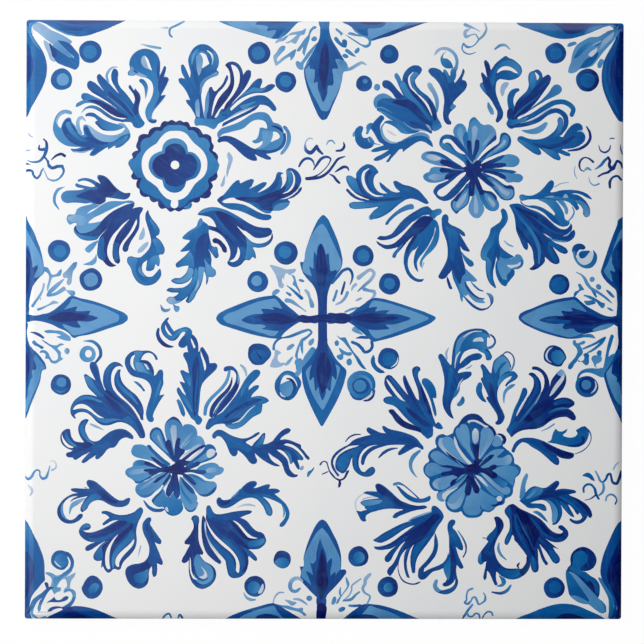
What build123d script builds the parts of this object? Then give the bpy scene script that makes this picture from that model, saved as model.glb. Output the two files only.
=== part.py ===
from build123d import *
import math
import os

# Azulejo wall tile: one piece of pressed earthenware with its glaze fused on.
# It lies on its back. Z = 0 is the plane of the back's ribs and the glazed face looks along +Z.
# The origin is the middle of the back, and +Y is the top of the pattern. All sizes are in mm.

# Body
tile_side = 152.4  # widest outline, at the lip just under the glazed edge
tile_thickness = 7.0  # back ribs to the flat of the face
corner_radius = 0.7  # corners of the outline at the lip

# Cushion edge: the face rolls down to the lip on an arc that leaves the face flat
cushion_width = 2.2
cushion_drop = 0.9
face_corner_radius = 1.5  # corners of the flat of the face, inside the cushion
lip_radius = 0.3  # rounds the glaze where the cushion meets the side
cushion_steps = 6  # steps of the loft that follows the arc

# Side walls: pressed with draft, so the back is smaller than the lip
side_draft_inset = 0.45
foot_break = 0.35  # broken edge where the sides meet the back

# Key relief on the back: shallow pockets that the bedding mortar grips
key_border = 7.0  # plain rim from the back's outline to the first pockets
key_rib = 3.2  # rib between two pockets, at its foot on the plane of the back
key_count = 7  # pockets in a row
key_depth = 0.9
key_draft = 28.0  # degrees that a pocket's wall leans from square to the back
key_corner_radius = 1.6

# Values worked out from the sizes above
lip_height = tile_thickness - cushion_drop
cushion_radius = (cushion_width**2 + cushion_drop**2) / (2 * cushion_drop)
back_side = tile_side - 2 * side_draft_inset
key_pitch = (back_side - 2 * key_border + key_rib) / key_count
key_side = key_pitch - key_rib


def square_section(inset, radius, height):
    """The tile's rounded square at one height, set in from its widest outline."""
    side = tile_side - 2 * inset
    return Pos(0, 0, height) * RectangleRounded(side, side, radius)


def cushion_height(inset):
    """Height of the cushion's arc, at a distance in from the lip."""
    from_flat = cushion_width - inset
    return tile_thickness - cushion_radius + math.sqrt(cushion_radius**2 - from_flat**2)


def pressed_body():
    """The plain pressing: drafted sides up to the lip, then the cushion edge and the flat face."""
    back = square_section(side_draft_inset, corner_radius, 0)
    lip = square_section(0, corner_radius, lip_height)
    sides = loft([back, lip], ruled=True)
    sections = []
    for step in range(cushion_steps + 1):
        # Sections crowd towards the lip, where the arc is steepest
        share = 1 - math.cos(math.pi / 2 * step / cushion_steps)
        inset = cushion_width * share
        radius = corner_radius + (face_corner_radius - corner_radius) * share
        sections.append(square_section(inset, radius, cushion_height(inset)))
    cushion = loft(sections)
    return sides + cushion


def edges_at(body, height):
    """The body's edges that lie level at one height, which are the nearest to it."""
    return body.edges().group_by(lambda edge: abs(edge.center().Z - height))[0]


def rounded_edges(body):
    """Rounds the lip and breaks the edge round the back."""
    body = fillet(edges_at(body, lip_height), lip_radius)
    return chamfer(edges_at(body, 0), foot_break)


def key_pockets():
    """All pockets of the key relief, their walls leaning in towards the floor."""
    pocket = extrude(
        RectangleRounded(key_side, key_side, key_corner_radius),
        amount=key_depth,
        taper=key_draft,
    )
    return [spot * pocket for spot in GridLocations(key_pitch, key_pitch, key_count, key_count)]


tile = rounded_edges(pressed_body()) - key_pockets()
tile.label = "tile"

os.makedirs("parts", exist_ok=True)
export_step(tile, "parts/tile.step")
print("flat of the face", round(tile_side - 2 * cushion_width, 2))
print("pocket side", round(key_side, 2), "pitch", round(key_pitch, 2))
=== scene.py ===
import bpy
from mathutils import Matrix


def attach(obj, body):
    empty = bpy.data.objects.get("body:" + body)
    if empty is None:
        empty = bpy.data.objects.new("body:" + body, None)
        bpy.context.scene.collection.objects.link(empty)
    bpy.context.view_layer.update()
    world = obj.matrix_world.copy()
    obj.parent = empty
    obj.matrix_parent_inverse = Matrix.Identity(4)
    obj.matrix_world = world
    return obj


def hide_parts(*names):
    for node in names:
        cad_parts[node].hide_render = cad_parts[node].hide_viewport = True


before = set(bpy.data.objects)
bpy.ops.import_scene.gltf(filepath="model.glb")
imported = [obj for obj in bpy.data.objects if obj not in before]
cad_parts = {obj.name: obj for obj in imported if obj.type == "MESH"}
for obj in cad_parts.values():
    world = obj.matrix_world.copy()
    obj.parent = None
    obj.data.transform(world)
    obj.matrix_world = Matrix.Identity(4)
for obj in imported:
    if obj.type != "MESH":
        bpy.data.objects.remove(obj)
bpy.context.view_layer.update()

import math

import bmesh
import bpy
import numpy as np
from mathutils import Vector
from mathutils.geometry import delaunay_2d_cdt

# Paints

# Cobalt on tin glaze, from the strongest mix to the thinnest wash, as sRGB out of 255
paints = {
    "ink": (2, 4, 78),
    "night": (3, 16, 88),
    "navy": (4, 34, 108),
    "indigo": (7, 60, 133),
    "royal": (4, 80, 151),
    "cobalt": (7, 98, 164),
    "lapis": (36, 116, 177),
    "azure": (64, 133, 188),
    "sky": (96, 152, 200),
    "mist": (150, 179, 211),
    "haze": (204, 214, 226),
    "white": (240, 240, 240),
}

# Drawing

# Marks are laid out in the pixels of the photograph's frame, as x to the right and y down
CHORD = 1.1  # longest straight piece of a drawn curve
LONGEST = 3.4  # longest piece left where a curve is nearly straight
STRAY = 0.05  # how far a left out point may lie from the straight
BLUNT = 0.3  # half width of a mark's end, from which the end is rounded
marks = []  # every mark, in painting order


def curve_through(points, closed):
    """A smooth line through the points, as short chords. A point given twice is a sharp corner."""
    count = len(points)
    line = []
    for i in range(count if closed else count - 1):
        before = points[(i - 1) % count] if closed else points[max(i - 1, 0)]
        start = points[i]
        end = points[(i + 1) % count]
        after = points[(i + 2) % count] if closed else points[min(i + 2, count - 1)]
        span = math.dist(start, end)
        if span == 0:
            continue
        leave = slope(before, start, end, span)
        arrive = slope(start, end, after, span)
        pieces = max(1, math.ceil(span / CHORD))
        for k in range(pieces):
            t = k / pieces
            a = (1 + 2 * t) * (1 - t) ** 2
            b = t * (1 - t) ** 2
            c = t * t * (3 - 2 * t)
            d = t * t * (t - 1)
            line.append(
                (
                    a * start[0] + b * leave[0] + c * end[0] + d * arrive[0],
                    a * start[1] + b * leave[1] + c * end[1] + d * arrive[1],
                )
            )
    if not closed:
        line.append(points[-1])
    return line


def slope(before, here, after, span):
    """The line's direction at a point, as far as it would run over one span."""
    back = math.dist(before, here)
    ahead = math.dist(here, after)
    if back == 0 or ahead == 0:
        reach = span / (back + ahead)
        return ((after[0] - before[0]) * reach, (after[1] - before[1]) * reach)
    share = span / (back + ahead)
    return tuple(
        share * ((after[k] - here[k]) * back / ahead + (here[k] - before[k]) * ahead / back)
        for k in (0, 1)
    )


def thinned(outline):
    """The outline without the points that lie on the straight between their neighbours."""
    kept = [outline[0]]
    for here, after in zip(outline[1:], outline[2:] + outline[:1]):
        a = kept[-1]
        span = math.dist(a, after)
        off = abs((after[0] - a[0]) * (here[1] - a[1]) - (after[1] - a[1]) * (here[0] - a[0]))
        if span > LONGEST or off > STRAY * span:
            kept.append(here)
    return kept


def lay(used, outline, start, end):
    """Records a mark. Two paints fade from the first to the second between its start and its end."""
    marks.append(
        {
            "outline": thinned(outline),
            "from": used[0],
            "to": used[-1],
            "start": start,
            "end": end,
        }
    )


def patch(used, points):
    """A filled patch with a smooth outline. Paint runs from its first point to the farthest one."""
    far = max(points, key=lambda p: math.dist(p, points[0]))
    lay(used, curve_through(points, closed=True), points[0], far)


def brush(used, widths, points):
    """A brush mark along a smooth line, its width running evenly through the widths given."""
    line = curve_through(points, closed=False)
    along = [0.0]
    for a, b in zip(line, line[1:]):
        along.append(along[-1] + math.dist(a, b))
    places = [along[-1] * k / (len(widths) - 1) for k in range(len(widths))]
    profile = curve_through(list(zip(places, widths)), closed=False)
    halves = np.interp(along, [p[0] for p in profile], [p[1] / 2 for p in profile])
    left = []
    right = []
    for i, (x, y) in enumerate(line):
        a = line[max(i - 1, 0)]
        b = line[min(i + 1, len(line) - 1)]
        run = math.dist(a, b)
        nx = (b[1] - a[1]) / run
        ny = (a[0] - b[0]) / run
        half = max(float(halves[i]), 0.0)
        left.append((x + nx * half, y + ny * half))
        right.append((x - nx * half, y - ny * half))
    end_cap = round_end(line[-1], left[-1], right[-1])
    start_cap = round_end(line[0], right[0], left[0])
    lay(used, left + end_cap + right[::-1] + start_cap, line[0], line[-1])


def round_end(centre, first, last):
    """The points of a half circle round a mark's end, between its two sides."""
    radius = math.dist(centre, first)
    if radius < BLUNT:
        return []
    turn = math.atan2(first[1] - centre[1], first[0] - centre[0])
    count = max(2, math.ceil(math.pi * radius / CHORD))
    return [
        (
            centre[0] + radius * math.cos(turn + math.pi * k / count),
            centre[1] + radius * math.sin(turn + math.pi * k / count),
        )
        for k in range(1, count)
    ]


def ring_of(x, y, across, down, waver=0.03, count=9):
    """Points round a hand-painted oval, a little out of true."""
    return [
        (
            x + across * math.cos(a) * (1 + waver * math.sin(2.3 * k + x)),
            y + down * math.sin(a) * (1 + waver * math.cos(3.1 * k + y)),
        )
        for k, a in enumerate(2 * math.pi * n / count for n in range(count))
    ]


def points_in(words):
    """The points that words give as x,y. One with ! after it is a sharp corner, and counts twice."""
    points = []
    for word in words:
        x, y = word.rstrip("!").split(",")
        points += [(float(x), float(y))] * (2 if word[-1] == "!" else 1)
    return points


def draw(text):
    """Lays the marks of a text in order. Each starts at the margin, and its further lines are set in.

    A mark is one paint, or two that it fades between, and then its points. Numbers before the points
    are the widths of a brush. The word oval comes before the middle of a ring and its two reaches,
    and a number after that word is the ring's own waver.
    """
    for mark in text.strip().replace("\n  ", " ").splitlines():
        words = mark.split()
        used = [paints[word] for word in words if word in paints]
        numbers = [float(word) for word in words if word[0].isdigit() and "," not in word]
        points = points_in(word for word in words if "," in word)
        if "oval" in words:
            middle, reach = points
            patch(used, ring_of(*middle, *reach, *numbers))
        elif numbers:
            brush(used, numbers, points)
        else:
            patch(used, points)


# The painting

# Waves along two edges and a bud, in the pattern's top left corner
draw("""
cobalt royal 24,17! 130,19! 120,23.5 109,28.5 98,32.5 88,35.8 78,36.8 68,35 58,31 50,26.5 43,23 38,22.3
  34,24.5 31.5,29 32.5,34.5 36,41 41,48 45,56 47,64 47,73 45,82 41,91 36,100 31,109 26,118 23,119
indigo 55,19! 66,23 78,25 92,24 112,21.5 126,19!
royal indigo 56,23 66,25.5 80,27 92,26 84,30 72,31 62,28
indigo 25,38! 29,46 32,56 33.5,66 32,75 29,82 25,88!
azure 27.5,27 30.5,23 36,21 43,22.3 38,22.5 33.5,25 31,30 32,36 36,43 41,50 36,46 31,38
azure 46,24 56,28.5 66,33 76,35.5 70,35.8 60,32 52,28
mist sky 32.8,26.5 37.5,22.8 43,24.5 51,30 60,34 68,38.5 72.3,42.5 70,44.5 62,42 66,48 74,58! 62,52 52,44
  42,36
mist 44.3,40.5 48,42.5 51,49 54,56 57,61.5 54,62 51,60.5 48,53 45,47
royal cobalt 49.5,43.2 55,48 62,52.5 69,57 74,58 68,51.5 61,44.5 57.5,40.5! 64,41.5 70,44 75,49.5 79,54.5
  79.8,61 78.5,67.5 75.5,70 71,68.5 64,66 57.5,63 54,58.5 51,51
indigo 50.5,45 56.5,50.5 56,57 53.5,57.5 51.5,51
sky azure 57,41.5 63,47.5 70,54 74,58.5! 66,55.5 58,50 53,46
""")

# Fan of long fingers above and left of the top left rosette
draw("""
cobalt royal 134,127 138.3,128.4 142,127.2 144.8,123.5 142,119 139.5,114 138.7,109 139.6,104 140.8,98
  139.5,93.5 137,90.6 135.3,88.3! 134.4,90.3 131.8,87 130,84.8 128.6,87 131,91 133.8,95 134.9,99.5
  133.8,104.3! 130,98.5 125,92.3 120.6,87.6 118.5,83.5 118,78.5 118.4,73 117,69.8 114.3,68.7 112.3,71.3
  111.2,76.5 112.3,82 115,87 119.3,94! 113,87.5 108.5,82.6 103,77.2 99.6,74.2 97.3,75.6 97.2,79.5 100,85.5
  104.3,91.8! 98.5,85.8 93.5,82 89.6,81 87.3,83.7 87.7,87.8 91.5,91.8 98,95.8 104,99.3 109,103 118,110
  126,118.5 120,121 121,122 127,121.8 131.5,122.8
azure cobalt 97,97 91,94.6 86,93.2 82.3,94 81.2,96.6 83.5,100.5 90,102 98,102 106,102.8 103,100.3
azure indigo 76,107.2 76.4,104.3 80,101.6 86,99.6 94,99 101,100.3 109,104 118,110 128,118 122,118 113,115.3
  105,110.2 98,105.3 91,103.2 85,103.6 80,106
navy 88,100.6 97,100.3 106,104 116,110.5 127,117.8 118,117.4 109,112.6 101,106.8 94,103
indigo royal 88.2,88.3 94,91.5 101,95.5 108.5,101 116,107 107,101.5 98,96 91.5,92
indigo 108.5,91.5 116,97 124,103.5 131,110.5 134,117 126,112.5 116,104.5 109,98
indigo 129.6,85.4 133,90 136.4,90.5 139.6,95 140.4,100 138.8,106 138.4,112 136,116 133,111 133.6,106 135,101
  133.6,94.5 130.5,90
navy 134.6,92 138.4,96 139,101 136.8,105 135.4,100
sky royal 0.4 1.4 0.6 107,96 118,105 128,113.5 135,120
cobalt azure 0.4 1.2 0.4 118,97 125,103 131,111 136,118
white 0.4 1.2 0.3 90,94.3 99,98 109,103.2
azure indigo 0.3 3.2 3.4 3 1.4 81.4,113.3 86,108.4 92,107 99,109.3 106,114.3 113,118.6 121,120.6 130,121.5
mist sky 1 2.4 2.6 2 117.4,67.3 113,67.6 109,71 106.8,76.5 108.4,82
royal azure 85.5,116.5 85.8,114.5 89,112.8 93.5,113 99,116.5 104,119.8 110,122.3 117,124.2 125,127 119,130
  111,131.2 104,130.4 99,127 95.2,122 97.5,120.6! 95,118 91,116.6 88,116.3
indigo 95.2,121.8 98,123.5 102,128 108,130.4 104,130.6 99,127.4
mist sky 86.8,124.6 91,126.5 96,130.5 103,134 111,135.4 118,134.4 123,131.5 125,128.5 121,125.8 118,124
  123,123.4 127,127 130,132 130.4,138 127,142 118,143 106,142.5 97,140 91,133
""")

# Curling wave left of the top left rosette
draw("""
azure cobalt 72,114 71.8,112 69.5,110.6 65,109.9 60,111.7 56,116.5 53.7,123 53,129 54.8,135.5 60,142 67,146
  75,147 81,147.3 76,148.8 70.5,149.3 72,151.2 80,152.7 88,151.6 93,149.8 91,152 89.8,155.5 93,156.2
  99,152.8 104,149.5 108,147.3 108,149.8! 112,147.5 117,144! 115.3,148 119,147.6 125,143.8 129.2,138.5
  130.3,134 124,135 112,141.8 100,140.5 92,134 88.5,127.5 86.3,124.8 84,125.2 83.2,129 84.2,135! 80,135
  77,130 75,125.5 72,122 71,118.5 69.5,117.6 66,118.7 63,122.5 61,128.4! 58.4,126 57.9,121 60.5,116.3
  65,113.7
indigo royal 62.2,126.5 64.5,122 67.8,119 70,119.6 71.2,123 75,128 79,134 84,138 87,137 84.5,131 84.5,127
  86.5,126.4 90,132 95,138.5 101,142 108,143.5 101,147 93,147.6 84,147 75,144.5 68,139.5 63.5,133
azure cobalt 66,123 69.5,121.5 71.5,126 76,132.5 82,138 88,141 82,141.5 74,136.5 68,129.5
indigo 88,137 94,138 101,141.5 109,142.8 103,144.5 94,142.5
mist sky 58,125 57.5,120.5 60.3,116 65,113.4 71.5,113.6 71.5,111.8 66,110.6 60.5,112.5 57,117.5 56,122.5
indigo 71,149.8 78,150 86,147.6 92,147.5 88,150 80,151.3
mist 73,151 81,151.8 90,150.5 86,152.6 79,153
royal azure 96,145.5 103,145 112,144 121,139.5 128,135.5 126,141 118,145.5 109,147 99,151.5 92.5,154.8
  91,154 94.5,149.5
mist sky 85.8,121.8 84.5,118 82,116 79,116.8 76.5,120.5 76,126 77.5,131 81.5,136 82.4,134 80.6,129 79.8,124
  80.2,120.6 82.5,119.5 84.5,121
white 0.5 2.2 0.4 80.6,121.5 81.8,128 84,135.3
""")

# Wash curl and squiggle on the left edge, between the sprays
draw("""
navy 1 2.6 3 51.5,160 57,155.4 62,154.3 64.8,156
navy cobalt 1.5 3 3.4 3 48.5,161 49,166 52,168 58,166.5 62.5,166.3
cobalt azure 3 2 1.6 1.2 62,166.4 63.8,170 61.5,176.5 55.5,180.3 48,179.3
""")

# Fine curled line on the left edge of the tile
draw("""
mist 1 1.4 0.6 28.4,133.5 30.5,136 33.5,137.6
mist 1.8 1.6 0.6 24,150.6 28,150.6 31,150
indigo 3.4 1.8 0.4 24,163.6 28,164 31,164.6
navy cobalt 1.2 2.8 3.4 3 43.5,139 46,141.5 47,147 46,152 44,157
indigo cobalt 1.2 2.8 3.4 39.5,145.3 39.4,149.3 42,149.8 46,149
cobalt azure 3 2.4 2 0.8 44,156.5 40,161 34.5,162.3 30,161.6 27.5,160.3
indigo cobalt 2 2 3.2 44,156.6 47,160 49,165 51,167.5
indigo azure 2.6 2.4 2.2 1.6 25,171.7 28,170.5 32,171 34,176 37,178.3 40,175.5 42,170.5 43.5,168.6
mist azure 0.8 1.4 2 1.6 43,168.5 45.5,173 48,178.5 53,180.8 59,178.8 62.5,174
""")

# Thin stroke cut by the top edge, left of the top star
draw("""
mist haze 1.8 2 1.2 168,28 165,28 161,28
sky azure 1.2 2.2 2.4 2.2 2.2 2 2 185,21 179.4,24.2 174,26.8 170.6,28.6 169.6,31.6 170,35 172,37.2
""")

# Wave with a hooked head above the top left rosette
draw("""
mist sky 0.6 2.6 2.4 141,44.3 150,46.6 160.5,48.4
azure cobalt 156.8,120 156.3,122.6 152.5,123.6 148.5,121.5 146,117 145.3,111.5 147,106 150.5,100 153,93
  153.2,87 151.5,82 147.5,78.5 141,77 136,75.4 131.5,76 128.2,75.2 128.2,72 130,69.8 129.3,64 130.8,58
  134.5,53.2 139.5,50 146,48.8 152,50.5 157,54.5 160,61 160.3,68 160,75 162.5,70 165,66 166.2,67.3 165.8,71
  164.2,76.8! 167.2,77.2 168.8,79 167.3,84 164.3,90 161.2,95.5! 165.8,95.2 163,100 158.5,105.5 154.3,110.5
  152.2,115 152.4,119 154.5,119.3
indigo royal 165,67 162,73 158.8,80 158,88 159.5,95 157,102 153.8,109 157,105.5 162,99.5 165,95.8 160.8,96
  164,89 167.4,82 168.3,78.7 163.5,77.5 165.7,71
royal indigo 158.5,60 160,66 159.6,74 158.4,80 157,74 157.6,66
mist 141.3,60 143.5,56 146.5,58 149,63.5 150.8,69.8 147.5,69 143.3,66.5 141.5,63.5
white 145,55.8 147.8,59 150.2,65 151.6,70.8 149.2,68.5 146.8,62.5
sky mist 131.8,66 134.5,70 141,73.5 147,76.8 139,76.3 134,74.8 131,75.8 128.8,74 130.2,70.2
indigo 0.8 1.8 0.6 133,70.5 136,72.2 138.5,73.6
indigo 150,119.5 153,120.8 156.4,119.8 156,122 152,123 148.5,120.8
cobalt sky 139,81 140.4,79 143,79.4 146.2,82.2 148,86.5 147.6,92 145.4,99.8! 145,93 144,87.5 141.8,84
""")

# Second tall curl, right of the first
draw("""
cobalt royal 181,68 181.2,65.3 183.2,64.6 185,67 187.5,72.5 190,78.2! 190.6,73 189.2,67 188.2,60 190,54
  194,48 200,44.5 207,45 213,49 217.6,55 219,62 218,67.5 216.8,70 218.8,72.5 217.8,75.3 212,77.6 206.5,81
  202.8,87 201.3,94 201.8,102 203.2,110 205,117.2 210,117 216,117.5 222,109 230,113 228,117 223.5,121.3
  218.5,123.6 216.5,127 213.7,129.3 210.5,128.3 206,125.8 200,124.8 196.5,125.8 194.4,123 195.3,119
  195.5,117 193.5,112.5 190.5,107.5 187,103.3 186,100.2 190,100! 187,93 183.5,87.5 179,82 178.5,79.3 181,78
  184.4,78.8 182,73.5
white 199,52.3 203,51.7 207.3,54 209,59 209,64 206,66 202.6,68.2 202.8,62 201.5,56.5 199.3,54
azure cobalt 196,54.5 199.5,51.5 205,51.8 209,55 211,60 209.6,63.6 208,60 205.8,55 201.5,53 199,54.2
white mist 0.6 2.2 1.4 0.4 207,50.6 211.5,54.5 212.8,60 211.5,66.5
sky mist 196.5,56 200,54.3 202.8,58.5 202.8,64 201.5,70 199,75.5 197,70 196.3,62
sky azure 191.5,60 192.6,54.5 196,50.3 199,49 196,54 193.6,59.5 191.8,65
sky azure 217.5,72.5 217.4,75.2 211.5,77.3 206,80.6 202.5,86.8 201,94 199.2,92 199.8,85.5 203,79.8 209,76
azure royal 213,50 217,56 218.5,62.5 216.5,68 211,71 205.5,73 200,77.5 203,71.5 209,68 213,63 214,57
indigo cobalt 192.5,66 196,72 198.5,80 200,88 199,96 197,90 195,82 193,74
sky mist 196,101 197.8,99 199.6,104 199.8,111 200,117.5 197.5,117 195.5,110
indigo royal 199.5,99 201,106 203,113 204,118.5 200.5,119 200,111
""")

# Fan of long fingers above and right of the top left rosette
draw("""
azure cobalt 194.3,121.5 195,119 198,118.3 204,118.5 210,119 214,119.5 218,116 222,112.5 226,109 230,108.5
  231,112 226,117.5 222,122 218.5,124 216,127.3 212.7,129 209,127.3 204,125.8 199,125.6 196,125.9
sky azure 205,118 204.8,108 205.6,98 208,91 210,88 209.5,96 208.7,106 207.8,118
indigo 210,87.3 211.5,86.8 213,89.5 214.5,91.3 219,88 223,83.3 225.5,77.5 227,75 228.2,77 226.8,82 223,88
  218,93 215,98.5 213,106 211.8,113 211,118.5 207.3,118.5 208.5,108 209.3,97
navy 225.2,65.4 227.3,63 230,62 231,65.3 232.8,71 234.2,78 234,85.5 232,91.5 228.5,97.5 223.5,104
  218.5,110.5 215,116.5 213.3,119.3 212,118.6 213,113 215.2,106 218.5,98.8 223,92.8 227.8,87.8 230,83
  230.2,77 229.3,71.5 227.3,68
indigo navy 229,62.3 232.5,61.7 236.5,62.7 240,65.8 242.3,70.3 243.2,75! 245,72.3 248,70 250.5,70.8
  251.2,74.5 249,81 245,88 240.5,94 235.5,99.5 231,105 228,110.5 225.2,116 223,115.8 223.5,110 225.5,104.5
  230.5,98.5 235.5,91.5 238.8,84.5 239.8,77.5 238.8,71 236,66.8 232.5,65 229.5,65.2
cobalt royal 226,110 231,105 236.5,99.5 243,93.5 248.5,88 252,83.5 255.5,80.3 258.8,78.4 261.8,79 262.3,82
  260.8,86 260.3,88.3! 264,87.6 268,85 272,84 275.2,85.5 272.8,89 268,92 262,93.2 255,93.3 248,95.3 241,98.8
  235,103.5 229.5,109.5 225,115 222,114
azure 240,97 247,91.5 254,87.5 259,88.5 266,88.5 262,91.5 254,91.8 247,94
cobalt royal 221,121.5 226,116.5 231,111 237,105.8 244,100.6 251,97 258,95.3 264.5,95.8 269.8,99.3 274,104.3
  276.4,109 275.3,111.2 272.8,110.8 269,107.2 264.5,105.2 260,105 255,106.8 248,109.2 241,112 234,115.2
  227,119.3
azure 240,107 248,103.5 256,101.5 250,105.5 242,109
mist 0.4 1.6 1.4 0.4 228,118.5 237,113.5 247,109.3 258,105.6
royal indigo 222,126.2 222.5,124 228,120.5 235,117 243,113.2 251,109 256.5,106 259.3,105.3 256.5,109
  250.5,112.8 243.5,116.3 236,120 229,123.3
""")

# Wave with an eye in its head, right of the top left rosette
draw("""
azure 217.2,133.5 219,130.5 222,128 227,126.5 233,124.5 239,122 245,118.5 250,115 255,112.8 260,112
  265,112.5 269,115 271.5,119 273.5,122.5 277,123.3 280,124.8 282.6,128 283.8,134 283,141 279,147 274,150
  264,151 254,149.5 259,147 262,144 262.5,141 259,142.8 254,143.2 252,141.3 256,139.3 258.3,135.5 259.2,131
  260,127.8 263.5,127.8 266.6,128.8 266.6,124.5 264.5,121.4 260.5,120 256,120 251.5,121.8 248,124.5
  245,127.3 241,129.5 235,131 228,132.8 222,134.8 218.6,138.4
sky 262.5,131 266,130.5 270,131 273,131.6 272.6,136 270.8,141.6 267,145.5 261,148.6 257,148.8 261.8,145
  263,141 262,136
white 273.2,131.8 275.5,131.9 278.3,133.8 279.8,136.8 278.6,138.6 275,140.2 271,141.8 272.2,138 273,135
indigo navy 271,126 275,125.6 279.5,127.2 282.4,130.5 282.8,132.8 280.5,131 276.5,128.5
indigo royal 217.3,141 219,138 223,136 229,136 235,138 241,141.3 247,145 252,148 257,149.5 264,150 272,150
  278,147.5 282,143 283.5,138 283.3,133.5 284.8,132.8 286,137 285.5,143 282.5,148 277,151.5 271,153.3
  266.3,154.3 268.5,156 271,158 270.8,159.3 268,159.8 263,158.3 258,156 255,154.5 256.8,158 256.8,160.5
  254,161 249,159.5 244,156.3 239,151.8 234,147 230,143.8 226,141.8 221.5,142 219,142.8
royal 256,151 262,152 268,155.5 271,158.3 268,159.4 262,157.3
azure sky 282.8,127 283.3,125.8 285.5,126 288.5,129.5 290.8,135 290.8,141 288.5,147 285,152 282,154.6
  280.3,154.6 280.8,152 283.5,148.5 286,143 286.8,137 286,132 284,129.3
mist 227.3,154 228.5,152 230.8,154 232.8,158.5 231.5,164 229,171 226.8,177.5 226.3,174 227,167 228.3,161
mist 224.9,175 225,180 223.8,185.5 222,187 220.8,186.3 222,181.5
""")

# Cupped hand of leaves, right of the top left rosette
draw("""
cobalt royal 217,200.5 218.5,198 223,195 227.5,190 231,185.5 234.5,182 238.3,180 239.6,180.6 239.8,183
  243.5,181.8 248,179.8 252,179 253.8,180 253,183.5 251,187 249,188.8! 253,187 259,184 264,182 266.8,182.8
  266,185 262.5,188.5 257.3,192.7! 262,191 268,187.5 272.5,183 275.5,177.5 277,173 278.8,171.8 281,172.3
  283.8,173.3 281.5,174.3 280.8,176 282,180 282.3,184 280.5,188.6! 284,185 286.2,180 286.3,174.5 286,170.5
  288,168.3 291,168 295.5,169.8 299.5,174 301.3,179 300,185 296.5,190.5 291,195 285,197.8 279.5,199.3!
  285,198.8 291,196.3 297,191.5 300.2,187.3 301.8,187 301.6,189.3 298,194 293,197.5 288,199.8 289.8,201.5
  289,204.5 285,208.5 279.5,210.6 274.5,210.8 272,211 270.5,213 266.5,213.4 261,211 256,207.8 250,204
  243,201.3 237,199 233.5,197.7 228,198.5 223.8,200.3 221.8,201.8! 224,202.8 230,203 237,203.3 244,204.7
  251,208 257,211.3 263,213.8 267.5,214.4 270.7,215.3 271.5,217.5 269.5,219.6 265,220.3 259,219.3 252,216.3
  245,213 238,210.5 230,209.3 223.5,206.5 219,203
indigo royal 217.5,200.5 221,196.5 224,195.5 222.5,199.5 222.6,203.5 226,206.5
navy 235,198.5 242,197 250,197 260,196.5 268,193.5 276,191 281.5,188.5 284.5,186 286.5,188 283,193 288,191.8
  293.5,188 297,184 298,187 293,193 285,197.4 278,199.6 272,202 266,204.5 259,203 252,202 245,201.6
indigo navy 258,203 268,199 280,198.5 272,205 272.5,210 266,210.5 261,207.5
royal indigo 262,192 269,188 274,182 277.5,175 280,176 279,182 275,188 268,193
cobalt 281,176.5 281.8,183 280,188 275.8,190 278.5,184 279.8,178
azure cobalt 287,170.5 289.5,170.6 292,176 292,182 289,188 284.5,191.5 286.5,186 287.8,180
white 290.3,170.5 292.5,174 293.3,180 291.5,186 288,190.5 282.5,193.6 288,192.3 293,187.5 295,181
  294.3,175.5 291.8,171.5
indigo navy 289,198.8 294,195.5 299.5,190 301.5,187.2 301.3,189.8 297.5,194.3 292,198
azure 273,210 274.5,206 279,203.5 285,202.5 289.4,202.4 287.3,206.3 283,209 278,210.4
azure cobalt 262,210.5 268,210.5 271.5,211.2 270,213 266,213
""")

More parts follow.
